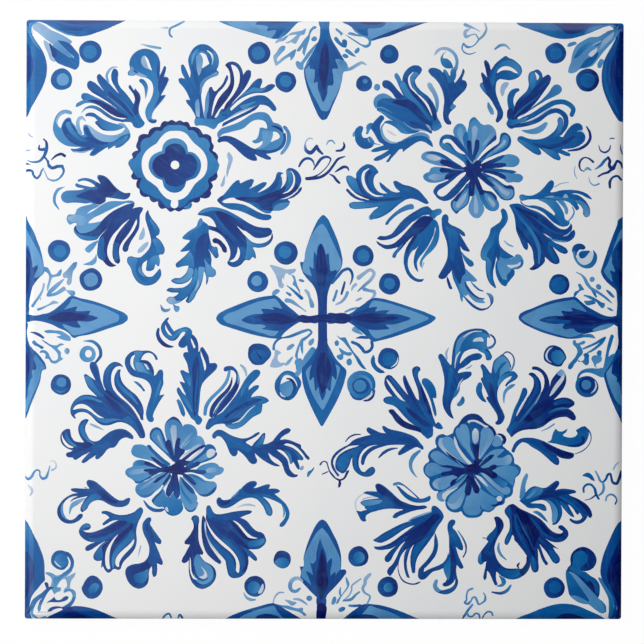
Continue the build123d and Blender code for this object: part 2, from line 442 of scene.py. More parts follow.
# Scalloped rosette with a four-lobed heart
draw("""
navy navy 167.8,121.6 171.5,120 176,122! 180,120.4 183.4,122.2! 187.5,122 190.8,127! 195.5,127 199.5,129
  203,134.3! 207.5,134.3 211,136.8 211.7,142.3! 213.8,146 212.5,150.7! 216,153 218.2,156.5 217.6,160.6
  219.4,165 218.5,169 217,172.8 217.7,176.5 216,179.5 211.2,182! 213,186 210.5,190.3! 211.2,193.5 209.3,197
  205,198.6 200.4,197.8! 199.5,201.3 196.5,202.8 192,202 190,208 186,209.5 183,209.3! 179,211.6 174.8,210!
  170.5,211.9 165.8,208! 161.5,208.9 158.6,206.3 157.8,201.4! 153,202.3 150.2,200 149,196.7! 144,197
  140.5,194.5 139.4,189.3! 136.6,187 136.3,183.5 137.6,179.8! 133,179.4 131.1,176.2 132.8,172.8 130.3,168.3
  128.3,163 129.8,160 132.8,157.8 131.9,154.2 134.5,151.4 138,150.3! 136.2,147 138,140.5! 138.8,136.5
  142,134.3 148,134.3! 149.8,130 153.8,127.4 160,127! 161.8,123 165,121
azure cobalt 175,125.3 182,125.3 186.5,127 188.5,130 193,130.5 197,134 199,137.5 204,137.8 208.5,141 210,145
  209,150.3 212.5,154 216.5,160 219.3,165 217.5,170.5 213,175.5 208.5,179 208,182 209,186 207,190 203,193.5
  199.5,196.5 193.5,198.5 189.5,200 186.5,204 182,207.3 175,207.6 167.5,207.5 163.5,204 160,199.5 155,198
  150,195 146.5,194.3 142,191 139.5,186.5 140.5,181.5 142,178.5 137.5,177.5 134.5,173.5 131,169 128.3,163
  130,160 134.5,158.5 138,154 141,150.5 140.5,146 141.5,141.5 145,138.5 149.5,137.5 153,134 156,130.8
  161.5,130.8 164,128 168,125.5
azure cobalt 184,207.5 187.5,205 189.5,202.5 191.9,203.5 191,207.5 187,209.3
white 175,131 182,131.5 187,134.5 190.5,139 195,144 200,148 204,152.5 206.8,159 207.3,165 206.5,171
  203.5,176.5 199,180.5 195,184 191,190 186.5,196 181.5,199.2 178,200.2! 177.8,206 176,208 173,208 171,206.3
  171.4,200.2! 167,198.5 161.5,193.5 157,187 152,183 147,179.5 143.5,174 141.8,166 142.5,158 146,151.5
  151,147 156.5,143.5 160.5,138 165,133.5 169.5,131.3
azure cobalt 162,151 163,145.5 167,140.5 172,138.5 178,138.5 183.5,141 187,145.5 188,151.7! 193,152.5
  197.5,156 200.5,161 201,167.5 199,173.5 195.5,177.8 190,180 186.3,181.5! 184.5,187 180.5,191.3 175,192.8
  169,191.5 164.5,187.5 162.3,180.2! 156.5,178 151.5,173.5 148.6,166.5 149.5,160 153,155 157.5,152.5 162,151
navy indigo 164.5,153.5 165.5,148.5 169.5,144.8 175,143.5 180.5,144.8 184.5,149 186,154.3! 191,154.5 195,158
  197.2,163 197,168.5 195,173.5 191,177.2 186.2,178.8! 184,183.5 180,186 175,186.8 170,185.8 166.5,183.5
  164.3,178.2! 159,176.5 154.5,172.5 152.3,166.5 153.5,161 157,156.5 161,154.5
white oval 0.01 175,165 4.3,4.3
""")

# Drooping leaf with split tips, below and right of the top left rosette
draw("""
royal indigo 197.6,214.5 201,210.5 206,208 213,207 221,208.3 229,211.3 236,215 243,219.3 250,223.7 257,226.6
  264,227.6 269.5,228 272,231 271.3,234 267,236.8 261,238 255,237.6 249,233.5 242,228.6 235,224! 240,230
  246,236.5 252,241.8 258,243.5 265,242.3 270.5,238 272,233 273,237 271,242 266,246.2 259,247.8 253,247.6
  255,252 255.2,258.5 252.5,257 249.5,260.2 245.5,260 241,264.5 236,267 231,266.5 227.2,263 227.6,261
  232,262 237,260 239.8,254.5 239.5,250 237.8,246.3! 236.8,253 233.8,258.5 228.3,261 230,256 230,250
  227.5,243.5 223,237 217,232.3 209,229.6 203,227 207,225.3 215.8,226.8 213.5,221 209,217 203.5,215.8
navy indigo 215.5,212 222,211.3 229,215 236,220.5 243,226 247.5,231 243.5,230.5 237,226 243,234 247,241
  245.8,247 240,242 233,235 225,226 219,218
navy 210,226.5 215,227 220,230.5 227,236 232,241.5 233.5,245 228,240 221,233.5 213,229.8
azure cobalt 199,213.5 204,209.3 212,207.6 220,208.6 229,212 237,216.3 243,220.5 236,218 227,213.6 217,210.6
  208,211.5
cobalt royal 0.4 1.6 1.6 0.6 213.5,212.5 219,221.5 227,231 237,240.5
azure cobalt 246,236.5 251,241.8 257,244.2 264,243.5 270.3,239.8 267,244.8 260,247 253,246.8 254.6,252
  254.6,257 251.5,256.6 249,259.8 245,259 246,252 246.8,244
cobalt royal 241,247 245.6,249 245,257 240,263.3 233,266 228.5,263.5 235,262.6 240,257.5
navy 212.2,240 214.3,238 219,239.2 223.5,243.3 226.8,249 226.3,252.5 223.6,252.3 221,247.5 217.5,243.8
  213.3,242.6
""")

# Ragged leaf hanging below the top left rosette
draw("""
cobalt royal 201,218 203,221 208,225 208.8,233 210.5,241 212.5,246.3 216.8,247 218,252 218.3,257 216,258.3
  212.5,254.5 208,248.2! 210.5,253.5 211.5,260 211.3,266 215.5,270.5 215.5,275 212,277.2 209,276.8 208,281.5
  206.3,284.8 206,277 204,270.3! 203,277 201,285 197,292 193,299.5 188,303 185.8,301.5 187.8,296.2! 183,300
  178,303 169,303.5 166.3,300 169,296.8 173.5,296.6 178.5,293 171,292.3 166.3,290 168,288.4 176,288 184,287
  189.5,283 192.8,276.3! 188,281.5 181.5,284 174.5,283.3 171,280.5 174,278.3 180,277.8 185.5,273.5
  188.8,265.3! 182.5,266.3 176.5,267.2 175.5,264.8 180,260 185.5,255.3 189.6,250.4! 185.5,251.3 180.3,251.6
  185,246 189.7,240 186,239.8 182.2,238.2 185,234.3 190.5,230 196.5,226 198.5,220.5
azure cobalt 199.5,219 203,221.5 199.5,227 193,231.5 188,236.5 189.8,240 186,239.4 183,237.8 186.5,233.8
  192,230 197.6,225.8
indigo royal 196,243 200,236 207,233 209.5,242 208.5,250 209,258 204.5,258 204.8,266 199,266.3 194,268
  194.8,255
azure cobalt 190,252 193.3,258 192.8,268 189,266 182.5,265.7 177,266.5 181,261 186,256
sky azure 204,258.8 207.5,263 211,266.5 215,270.8 215,274.8 212,276.6 208.6,276 207.6,280.5 206.5,277
  205.5,271 205.3,265
sky azure 199.5,266.8 204.3,267.6 202.5,276 200.3,284 196.5,291 192.5,298.8 188.3,302 190.5,294.5 195,287
  198,277
azure cobalt 196,268 197.6,272 196.3,281 192.5,288.5 187.5,295.5 181,299 175,299.5 178.5,295 180.5,291.5
  174,290.3 168,289.8 178,288.5 187,286.5 192.3,279
sky azure 189,267.5 192.8,269 192.3,275.3 187.3,280.8 181,283 174.5,282 172.3,280.2 180.5,278.8 186.3,274.3
mist sky 167,300 170,297.2 174,297.6 176,300.5 181,300 177,303 169,303
azure cobalt 212.3,247.3 216.4,247.8 217.6,252.5 217.4,257 214.5,255 211.3,250.3
mist 0.3 1.8 1 194.5,291 197.4,285.5 198.3,280
""")

# Leaf that curls under, below the top left rosette
draw("""
royal cobalt 148,210 149.3,214 153,220 157.5,225.5 159.8,231 158.5,235 156,236.3 160,240 163.5,245.5
  164.8,250 163,254.3 159.2,254.8 160,261 158.3,266.5 155.6,264.3 154,269 150.5,271 146.3,270.4 146.5,265
  147.2,260.2! 143,263.5 141.8,268 143.5,273 147.5,276.6 152,276.3 155.8,273 159.8,268.6 161.4,274 158.5,280
  152.5,284.5 145.5,285.6 138.5,282.8 133.5,276.5 130.8,268.5 127,261 127.6,257.5 131,256.2 135.5,257.3
  140,257.2 144.5,253.8 149,248.5 151,242 150,235 147.3,226 145.2,218 146,212.5
azure cobalt 127.8,260 129,257.3 133.5,257.6 137.5,258.8 136,265 136,272 140,279 147,281.8 150.5,277.5
  156,274.5 159.8,269.5 160.8,274 157,280.3 150,284 142,283.6 135.5,278.5 132,270.5
azure cobalt 152,257 158,255.5 159.5,260 158,265.5 155,263.5 153.3,268.6 149.5,270.2 146.8,269.6 148,263
azure cobalt 153,239 158,239.5 162.8,245.5 164,250 162,253.8 158,254 156,248
azure cobalt 150,219 154,223 158.3,229 158.8,232.5 156.5,235.5 154.5,230
azure sky 0.8 3 2.6 0.8 139.6,266.5 139.4,269.5 141.8,273.5 144.6,276.3
mist 143.6,227 144.8,231 144.6,236 142.5,239.4 139,239.8 139.6,235.5 141.5,231
mist 148.3,241.8 148.3,244.5 145.5,248.5 141.5,252.2 137.6,252.8 137.6,250.6 140.8,246.5 144.8,243
""")

# Hand of leaves, below and left of the top left rosette
draw("""
azure indigo 61,197 62.5,193 66,191 73,190.3 80,190 84,188.8 80,188 76.5,187 75.2,184.5 76,183.5 80,184.6
  86,186 93,187 95,186.5 92,183.5 88,181.5 83,180.7 78,181.5 77.8,180.3 81,178.6 86,178 92,179.4 97,182
  100.5,184! 99,181 97.3,177.5 97.8,175.5 102,175.2 106,176.8 110,180.5 114,185.5 119,190 125,193
  130.5,193.3 130,196 127,199 124,199.7 118,199 110,198 106,198 106,200.5 103,203.5 99,204.8 94,204 91,203
  86,203.7 80,203 72,202.8 66,203 62.5,201
indigo navy 76,196.3 82,193 90,190 98,188.6 95,184 98,182.6 101,185 98.5,178 101,176 106,178 111,183.5
  117,190 112,196 105,197.6 105,201 99,204.3 92,201.5 84,199
sky azure 66.6,218.5 68,215 75,214 77,209.5 81,206.8 88,205 94,203.7 98,205.2 101,204.5 96,208 90,211
  87.3,213.8! 93,211 99,206.8 105,203 110,201.3 116,201 123,201.3 130,200.5 133.5,201.3 135,203.5 131,203.5
  127,203 121,205 114,208 107,211.5 100,215 94,217.8 88.4,222.8 98,222 108,219 104,230 94,236 84,236 76,231
  76,223 73,223.5 70,224.8 67.8,222.6
mist sky 68,218 72,215.5 78,215 84,216.5 87,221 83,225 78,224.5 77,222.5 72,222
indigo navy 134.5,204 128.5,204 121,207 114,210.5 108,214.8 103,219.5 99,225 94,229.5 87,232.5 80,233
  76.5,229 76,225.5 74,228 74,231.5 77,236 81,239 87,240.7 93,240.5 97,239.5 99.5,236.5 103,232.5 107,229.4
  110.5,226.8! 104,232 100,237 98,242 97.5,248 97.3,255 98.5,258 103,261 106,264.5 110,266.8 114,266.5
  116.3,265.3 113.5,264 109.5,260 107.3,254 107.5,248 109.5,241.5 113,235 118,229.5 123,224 129.5,219!
  124,225.5 119.5,231 115.8,237 113.3,244 112.4,252 113,258 115.5,262.5 118,263.8 120,262 119.8,258 119,252
  120,246 123,241 127,236 131,230 134.5,223 136.5,219! 137,222 135,228 131,234.5 126.5,240 123,246 122.6,250
  125,252 127.5,251 129,246 132,240 136,234 139,228 139.8,221 140,215 142.5,210.5 143,208 141,207 137,207.3
  134,208 132.4,208.6! 134,206.5
azure cobalt 74,229 77,232.8 82,235 89,236.2 96,236.4 99.5,235.6 96,239.6 91,240.6 85,240.2 80,238.2
  76,234.8
cobalt royal 99,240 103,236.5 104.5,243 104,251 106,257.5 104,260.5 98.6,257.5 97.6,249
royal cobalt 115,242 118.5,243 117.5,251 118,259 115.5,260.5 113.3,254
azure sky 98,240.5 92,243 87,246.5 85,249 86,251.5 89,252.8 92,250.5 95.5,246
sky 96.3,254 97,258 96.3,262 93,265 88,265.3 83,264.3 87,262.8 91.5,260.5 94.5,257.5
sky azure 0.5 3 3 2.6 1 65,186.8 58,190 54.8,196 54.6,202 59,209.5
""")

# Round dots of the top left quarter
draw("""
royal royal oval 90.5,52 11.3,11.3
lapis oval 90,52.3 6.8,6.8
cobalt royal oval 61.8,79.5 10.9,10.9
sky oval 63,79.7 6.2,6.2
indigo royal oval 258.9,53.3 11.3,11.3
lapis oval 258.3,53.3 6.8,6.8
indigo royal oval 285.7,81.9 10.5,10.5
lapis oval 285.8,81.3 6,6
royal royal oval 59.1,250.8 11.2,11.2
lapis oval 60,251.2 6.2,6.2
indigo royal oval 90.9,279.6 11.4,11.4
sky oval 90.9,279.8 7,7
indigo royal oval 285.8,252.8 11.9,11.9
lapis oval 284.8,252 6.4,6.4
royal royal oval 257.6,281.5 10.6,10.6
sky oval 256.5,280.7 5.3,5.3
""")

# Fine curled line at the top edge, right of the middle
draw("""
sky mist 3.5 3 1.4 0.6 465,24.8 470,26.8 475,28.8 479.6,31.6
mist sky 1.2 3.4 3.2 1.6 1.4 1.6 470,28.6 465,32 465.6,36.8 471,35 475,34.4 478.4,39
sky azure 1.8 1.4 1.4 2.6 0.6 478.4,40 475.5,44 470.5,47 466,46.6 463.6,43
azure cobalt 2 1.4 1.4 1.2 0.8 463.4,43.6 461.8,48.6 464.4,52.6 469.5,54.2 475.2,52.4
mist sky 1.6 2.2 2.6 2 485,23.4 486.2,29 483.6,35 478.8,39.6
azure mist 1.6 3 2.6 1.4 494.6,49.3 500,45.5 505,45.3 509.6,49.3
""")

# Leaf with a snail-shaped head above the top right rosette
draw("""
royal indigo 428,70.5 430,68.3 435,68 440,70 443,72.5 443.2,69.8 444.5,69.4 447,71.6 449.6,76 451.3,69
  453.5,67.8 457.6,67 456,72 454,78 454.3,83.2! 459,77.5 461.5,72.5 463,68.5 464.5,71 463.5,75 462.2,79.8
  465,80.6 466.9,84.5 465.5,89 461,94 455.5,99.5 452.8,103.6 456,106 453.5,109 450,112.5 448.5,116
  449.2,119.4 451.2,122.4 450.6,124.4 447.6,124.6 444,121 442.8,116 443.2,108 444,101 443,94 440,86 435,79
  430,74.5
mist azure 434.2,55.8 435.6,51 440,47.6 446,47 452,49.6 456.4,54.4 458.3,60 457.8,66.6 455,72 452,78
  451.3,70 454.6,66 455,60 452,54 446.5,50.6 441,50.4 437.4,53
azure cobalt 446,51.5 442.5,54 440.3,58 440.5,62 442.5,66 446,68.3 451,68.4 452.8,68 452.3,65 450,61
  446,58.4 443,58.2 443.2,55
azure cobalt 443.4,70 446.4,71.5 450.5,77 451.5,71 455,69 456,72 452.5,82 449,83 446,76
azure 452.5,104 456,106 453,109.4 450,109
mist azure 428.5,82.3 430.5,83 434,88 437,94 438.8,101 438.5,107 437,112.5 435.5,107 434.5,100 431.5,93
  428,88 427,84.5
""")

# Leaf with an arched head above and right of the top right rosette
draw("""
indigo cobalt 479.6,85 480.4,83 482,82.6 482,79 480.8,74 481.5,72.3 484,74 486.8,77.5! 485.4,70 484,64
  484,60.8 485.4,60 487.8,62 489.8,66 490.6,69.6 494,65 498,61 502,58 505,56 506.4,56.2 508.4,57.8 513,59.5
  517,62.5 521,67 521.8,72 519.6,76 515,79 509,80.3 503,79.5 499.5,79.3 497,81 495.6,86 495.8,93 498,100
  501,107 503,113 502,118 499,121.5 497,122.8 495.4,121 496.5,117 497,112 494,106 490,99 485.5,94 482,90
cobalt azure 492,75 494.5,69 499,64 505,60.6 511,60.4 516.5,63.6 520,68 520.8,72.5 518,75.6 515,71 510,67
  504,66 499,69 495.5,74 494,84 491,88 489.6,82
royal cobalt 497,75 502,72.4 508,72 513.5,73.8 516.6,75.2 512,78 505,78 498.5,77.4
white 496.8,73 498,70 501,67.4 505,66.2 510,67 514,69.4 517.4,73.2 515,73 511,71 506,70 501,70.8
navy indigo 484.6,61.6 488,64.6 490,70 488.4,78 491,84 490.6,92 487,88 484,82 481.6,74.6 484.6,77 487.2,80
  486.2,72
azure cobalt 480,85 481.6,83.4 484.5,88 486.6,93.6 483,91
mist 505,82 508.5,83 507,87 504.8,90 503.8,94 502,96.5 500.5,94 500.2,88 502,84
azure sky 487.8,102 490.5,105.5 493.5,111 493.3,114.5 491,114.6 488.5,111 487,106
""")

# Broad fan and its hooked fingers, above and left of the top right rosette
draw("""
azure oval 376.7,87.4 3,3.3
royal indigo 382,84 383,81 386,80.1 390,81.4 394,85.5 398,90.5 402,94.6 405,98 401,100 396,98.5 391,92
  387,89 383.6,87.6
azure royal 394.5,74.4 396.4,72.9 398.6,75 402,82 405,88 409,95 406,98 400.5,90 397,82
royal cobalt 402,82 402.8,76 405,71.5 409,67.5 414,65.3 419,66 421.9,69.3 420.6,73 417.6,76.5 414.9,80.4
  416.4,85.6 421,91 428,96.4 433.2,103 436.2,110 437,116.6 440.4,123 441.6,127 438.6,129.2 434,131.3 431,128
  426,121 416,107 407,97 403,90
azure sky 376,108.4 373.4,104 374,99 377.6,95 383.6,93.4 389,95.4 393,98.6 385,103 379,107
cobalt royal 377,106.6 377.6,102 381,99 387,98.2 393,98.4 400,98.6 407,97 413,100 421,107 428,114 434,122
  438,128 432.6,130 431.2,133.6 427.6,132 423,130 417,132.4 410,133.8 404.4,132.4 399.6,128 395.6,122.4
  389,119 382,113.4 376.6,109.6
navy indigo 392,102 396,100 402,99.6 410,100 416.6,105.4 423,112.6 429.6,119 432.6,125.4 427.6,124.6
  420,119.4 412,112 404,107 397,104.6
indigo royal 410,121.6 416,122 423,124.4 428,128 429.4,131.4 424,129.4 417,129 411.6,126.4
azure cobalt 378,110 386,112.6 395,117.4 403,122.4 409,128 416,131 409,133 404.6,131.6 400,127.4 396,121.6
  389,118.2 382,113.6
sky azure 0.7 1.4 1.2 0.6 376.4,107.8 381,107.5 386,109.4 392.2,113.4
sky mist 0.5 1 1.4 1.8 0.8 403,121.8 408,126.2 414,129.2 420,129.8 425.6,131.4
mist 425.4,124.4 428.6,125.4 430.4,128 431.6,131.4 429.4,129.6 427.4,127.2
azure cobalt 400,84 403.6,82 407.4,88 412,94.6 419.4,103 426.6,112.6 431,121.4 424.4,115 415,103.6
  406.6,97.4 402.4,91
indigo royal 405,78 408.2,77 408.4,84 411,90 416,95.4 422,102 427,109.4 431.4,116 427,113 420,103.6
  411.6,94.6 407.4,88
navy indigo 0.6 2.4 2.8 2.2 0.6 408.6,87 414,94 421,102 427.4,110 431.4,117.4
white 0.6 2 1.5 1.6 2 0.6 413,72.2 409.2,77 410.4,86.4 418.4,95 426.4,104 431.8,115.4
azure cobalt 411.4,74.6 414.4,72 418.4,73.6 414.4,79 413.4,84 418,90 425,95.4 421,96 414,89.4 410.9,82.6
  410.2,77.6
indigo navy 428,98.4 432.4,103.4 435.6,110.4 436.6,117.6 434.4,121 432.4,116 431,109 427.4,102
cobalt azure 434,121 438,120 441.2,126.8 434.2,130.8 432.2,126.6
""")

# Leaf of many fingers that points to the top right corner
draw("""
royal cobalt 511,128.8 507.6,127 506.2,124.4 508.2,118 508.4,110 507,102 507.8,94.6 510.6,90.4 514,88.6
  518.6,88.6 519.4,90 516,92.8 513.8,97 513.2,102 514.4,107 516,114 518,122
navy indigo 508.2,109 511,108 513,112 511,118 508.6,119.4
royal azure 520,117 532,107 540,101 544.5,96.6 549,91.6 551.6,87.4 554,85 557,84.3 560.4,86.2 561.8,89.6
  560.2,92.8 555,96 547,99.8 539,104.6 531,109.6
royal cobalt 513.6,110 515,104 518,99 522,95 526.6,90.4 528.4,85 527.9,79 528.5,74 531,71.4 533.6,70.8
  535.6,69.4 538.6,69.9 541.6,73.4 542.6,77 544.6,81 536,92 526,104 518,112 512,118
azure cobalt 529.4,78 530,74 532.4,72.2 534.8,74 535.8,79 534.6,86 531.8,90.6 529.6,86
white 534.8,72 536.6,73.4 538.8,76.6 536.8,80.2 536,76.6
navy indigo 514,109.6 516,103 522,97.6 529,92.6 535.6,86 541,79.4 544.6,76 548,74.5 550.6,77 549.6,83
  546,88.4 541,95.6 535,103.4 528,110.4 519,116.4 511.6,119.6 512.4,115
cobalt royal 0.8 2.2 2 1.4 0.8 513,117.6 521,109.4 529.6,102.6 535,99 540,93.6
indigo cobalt 0.6 1.4 0.8 519,101.6 526.6,95.6 531.6,90
royal cobalt 3 5 5 5.2 5.4 5 5 4.4 510.6,126.6 521,120.6 533,115 544,108 555,102.4 565,102.4 573,109.6
  571.4,114.8
indigo royal 3.4 4.4 4.4 5 4.8 5 4.8 2 510.6,126.4 524,124.4 537,120.4 547,113 557,110.6 564.4,115.6
  565.6,124.4 560.4,134.6
mist 0.4 0.8 1 1.2 0.8 520,123.2 531,120.2 539,116 546,111 551.6,108
cobalt azure 507,124 509.6,120 514.6,119.4 521,118.6 528,117 524,121.4 517,123.6 510.6,125.4
azure sky 521,130.4 528,129.6 536,127.4 541,124.6 545.6,122 547.4,122.8 546.4,126 543,130.5 538,133.4
  531,134 525.5,132.8
""")

# Fish-shaped leaf to the right of the top right rosette, with a crescent behind its head
draw("""
cobalt royal 517,139.4 518,136.8 521.5,136 526,137.8 531,139 538,139.2 545,137.4 551,133.6 555.4,129
  557.4,124 557.2,119.4 559,117.1 561.5,117.8 562.8,121 562.7,127 561.4,132 559.6,136 562.6,137! 567,130
  571,125.4 575,123.2 579,123.2 582,126 582.2,129.6 579,131 583,132.5 585,136 584.4,140.5 580,145 573,148
  565,149 561.5,149.4 565,151 570,154.4 569.5,156 566.5,156 562,154.4 558,153 559.5,156 560.4,158.5
  559,160.2 555.5,159.6 548,155 541,149.5 538.7,148 540.5,151 541,153.6 539,155 535,154 528,149.5
  521.5,144.5
azure cobalt 518.4,139.6 522.6,140.4 530,144.4 537,148.8 540,152.4 538.4,154.4 533,151.6 526,146.8
  520.4,142.8
azure cobalt 542,148.4 549,149.6 555,152 558.8,156.4 559,159.6 553.6,157.4 547,153
azure royal 557.8,123 558.6,118.8 561,118.4 562.2,122.6 561.4,130 558,135 552,138.6 546.6,139.4 553,135
  557,129.6
indigo royal 532,143 542,144.6 552,144 560,141 567,136.4 573,133 577.6,134.6 575.6,139.4 569,143.6
  560.6,146.6 551,148.6 541,147.6
navy indigo 543,146.6 552,146.4 560,143 567.4,138.8 574,135.4 572.4,139.6 565,144.2 556,147.6 548,149
sky mist 1 1.6 0.6 577,131.4 580.4,130.6 583,132.4
navy indigo 1.4 2.6 3 3 2.6 1.4 586.2,126.4 589.4,132.4 589.8,138.4 586.6,144 580.4,148.2 567.6,150.8
""")

# Lively curled line at the right edge, above the right star
draw("""
sky indigo 1 1.6 0.8 609,138.9 611.8,138.1 614.4,138.4
indigo 0.8 1.5 1.9 1.7 0.8 598.4,145.2 600.4,150.6 604.4,152.3 608.4,150.2 610.4,145
indigo 0.8 1.6 1.2 620.3,144.6 620.6,149.6 622.2,154
navy indigo 2.4 1.8 1.6 2.2 2.2 1.6 0.8 592.8,161.8 588.6,158.4 584.2,157.5 580.4,160.2 579,165.2
  580.6,169.8 584,171.4
mist azure 1.2 3 1 583.6,170.6 587.2,168.2 591,170.2
azure royal 1 2.8 3 2.2 594.8,169.2 600.6,165 604.8,159.8 608.4,157.2
navy indigo 2 3 3.2 4.4 3 2.6 2.6 1.8 607.4,157 609.4,160 609,165.6 612,168.4 614.8,164.4 617,160.9
  620.6,163 622.2,167.8
navy indigo 3 2.8 2.2 1.8 612.4,168 607.8,172 602.2,173.8 597.8,176.4
navy indigo 2.4 3 2.2 2.4 2.6 609.6,187.4 609.6,181.4 612.4,177.2 616.8,175.8 621,179.4
mist 0.6 1 1.2 0.8 575.2,165.6 574,170.6 574.8,175.2 576.8,178.6
mist azure 0.7 1.2 1.4 1.8 588.4,177 589.8,182.2 593.8,185.2 598.6,183.6
mist 1.2 1.2 0.7 554.4,186.8 560,183.6 568.4,182.2
""")

# Scroll with a white eye to the left of the top right rosette, and the comma beside it
draw("""
sky 354.4,131.4 352.2,134.4 353,137 355.4,135
cobalt royal 360,125.8 363,127 362.6,130.4 361.6,134 363,137.4 367,137.6 369.6,136.4 372.6,139.2 374.4,142.6
  372.6,146.4 368,148.8 363.6,148.8 359,146.4 355.6,141.6 354.6,136 354.6,131 356.8,127.6
azure cobalt 369.4,136.8 373,140 374.2,143.2 371.6,146.4 369.8,142.4
mist 0.6 1.2 0.5 367.8,137.8 368.4,140 369.6,142.4
azure sky 1.6 1 0.6 373.6,143.4 377,144.2 380,144.6
azure cobalt 366,127 367.4,124.4 371,122.8 373.6,124 372,128 369.4,130.4 368.6,133 366.6,134.4 365.8,133.8
  366.4,130.6
royal cobalt 378,117.4 380.4,115.3 383.4,116.2 384.2,118.6 382.4,121 380.4,124.4 380,129 381.4,134 384.6,139
  389.6,142 396,142.2 402,140.6 408,138 415,136 421,135.4 426,136.4 429.6,139.4 432.4,144 432.6,147
  429.4,145.4 425,142.4 420.4,141.2 416,142.6 411,146 406,149.4 402.6,151.7 402,149 399.6,149.4 395.6,153.6
  391.4,158 387.6,162.2 386,161.8 388,158.4 390.6,154! 386,157 380,160.2 376,161 373.2,160 375,157.6 380,155
  385.6,151.8 388.6,149.6 383,150.4 377,151.8 372.6,152 370.6,151.2 373,149 379,146.6 383.4,145 379,142
  376,137 373.4,132.4 371,128.6 372,124.4 374.4,121
cobalt royal 371.4,150.8 375,148.4 382,146.2 390,145.4 396,148 390,149.4 380,150.8
sky mist 1.2 2.2 2.8 2.4 1 384.4,123 381.6,127 381.6,132 384.6,138.4 390,142 397,142.6
azure sky 401,140.4 407.6,137 413,134.2 419,132.2 424,132.6 428.6,135.4 430,138.6 426,136.6 421,135.6
  414,136.4 408,138.4
cobalt azure 383.6,122.9 385.4,121.2 389.6,120.3 394,121.2 397,122.8 402,127 406,131 410,133.8 405.4,134
  401,132.8 396.4,128.4 390.6,124.8 386.4,123.4
haze 386.6,130 390,131 394,133.4 396.8,136.2 393.6,135.6 389.4,133.4
""")

# Leaf like a breaking wave, left of and below the top right rosette
draw("""
sky 368.6,218.4 370,214.6 372,215.6 373,218.8 370,220
cobalt royal 346,179.6 346.4,176.2 349.4,175.3 353.4,177.2 355.6,178.4 356,173.4 358.8,169.2 363,165.8
  367.6,164 372,165 375.8,168 378.2,172.6 375.6,174.6 373.8,178 373.4,182.6 375,187.6 378.6,191.6
  383.6,193.4 387,193.2! 383.4,190.4 380.4,187 379.4,182 383,184.4 388,188.6 393,191.6 398,192.2 400,191.6!
  396,188.4 393.8,184.6 393.2,181.4 395,180.6 399,182.2 403,184.4 409,185.8 414,187.6 419,190.6 423,195
  427,200 428.6,203 426.4,204 422,202.4 416,199.6 410,198.6 406,199.6 401,202.6 396,206.6 391,211 384,215.6
  376,218.6 370.6,218.6 370.2,215 373,211 378,207 370,208 360,208.8 353,208.8 349.4,206.8 349,203.6 352,202
  358,201.8 366,201 370,200 364,198.4 357,195 351.4,189.6 347.6,184
azure cobalt 347,177 350,176 355,179.4 358.4,186 363,192.6 368,197 362,195.4 355,190.4 349.6,184
indigo royal 357,177 359,180 361.4,187 366,193 372,197 380,198.2 370,198.6 363,194.6 358.6,187.6
indigo royal 366.6,174 369,170.4 371.4,171.6 368,178 369.4,185 374,191 380,194.4 373,192.6 367.6,186
  365.6,179
azure cobalt 350,204 356,202.6 366,202.6 376,203 385,201.6 394,201 402,200.6 396,205 388,211 380,215.6
  372,217.6 371.4,214.6 376,209.6 380.6,206.4 372,206.8 360,208 352,207.6
navy indigo 354,191.4 361,194.6 368,197.4 376,199 386,198.2 396,197 404,197.6 396,200 384,200.6 372,200.8
  364,199.6
indigo royal 2.6 3 2.6 2 0.8 347,189.8 351.6,194.6 357.6,198.4 364,200.2 371,200.6
white 0.6 1.6 1.4 0.6 349,187.6 355.6,194.4 362,197.6 368.6,199.8
white 0.8 2.6 3 3 2 1.6 0.5 368.6,168.6 364,172.4 362.8,179 365,186.6 370,192.8 376,195.8 383,195.8
""")

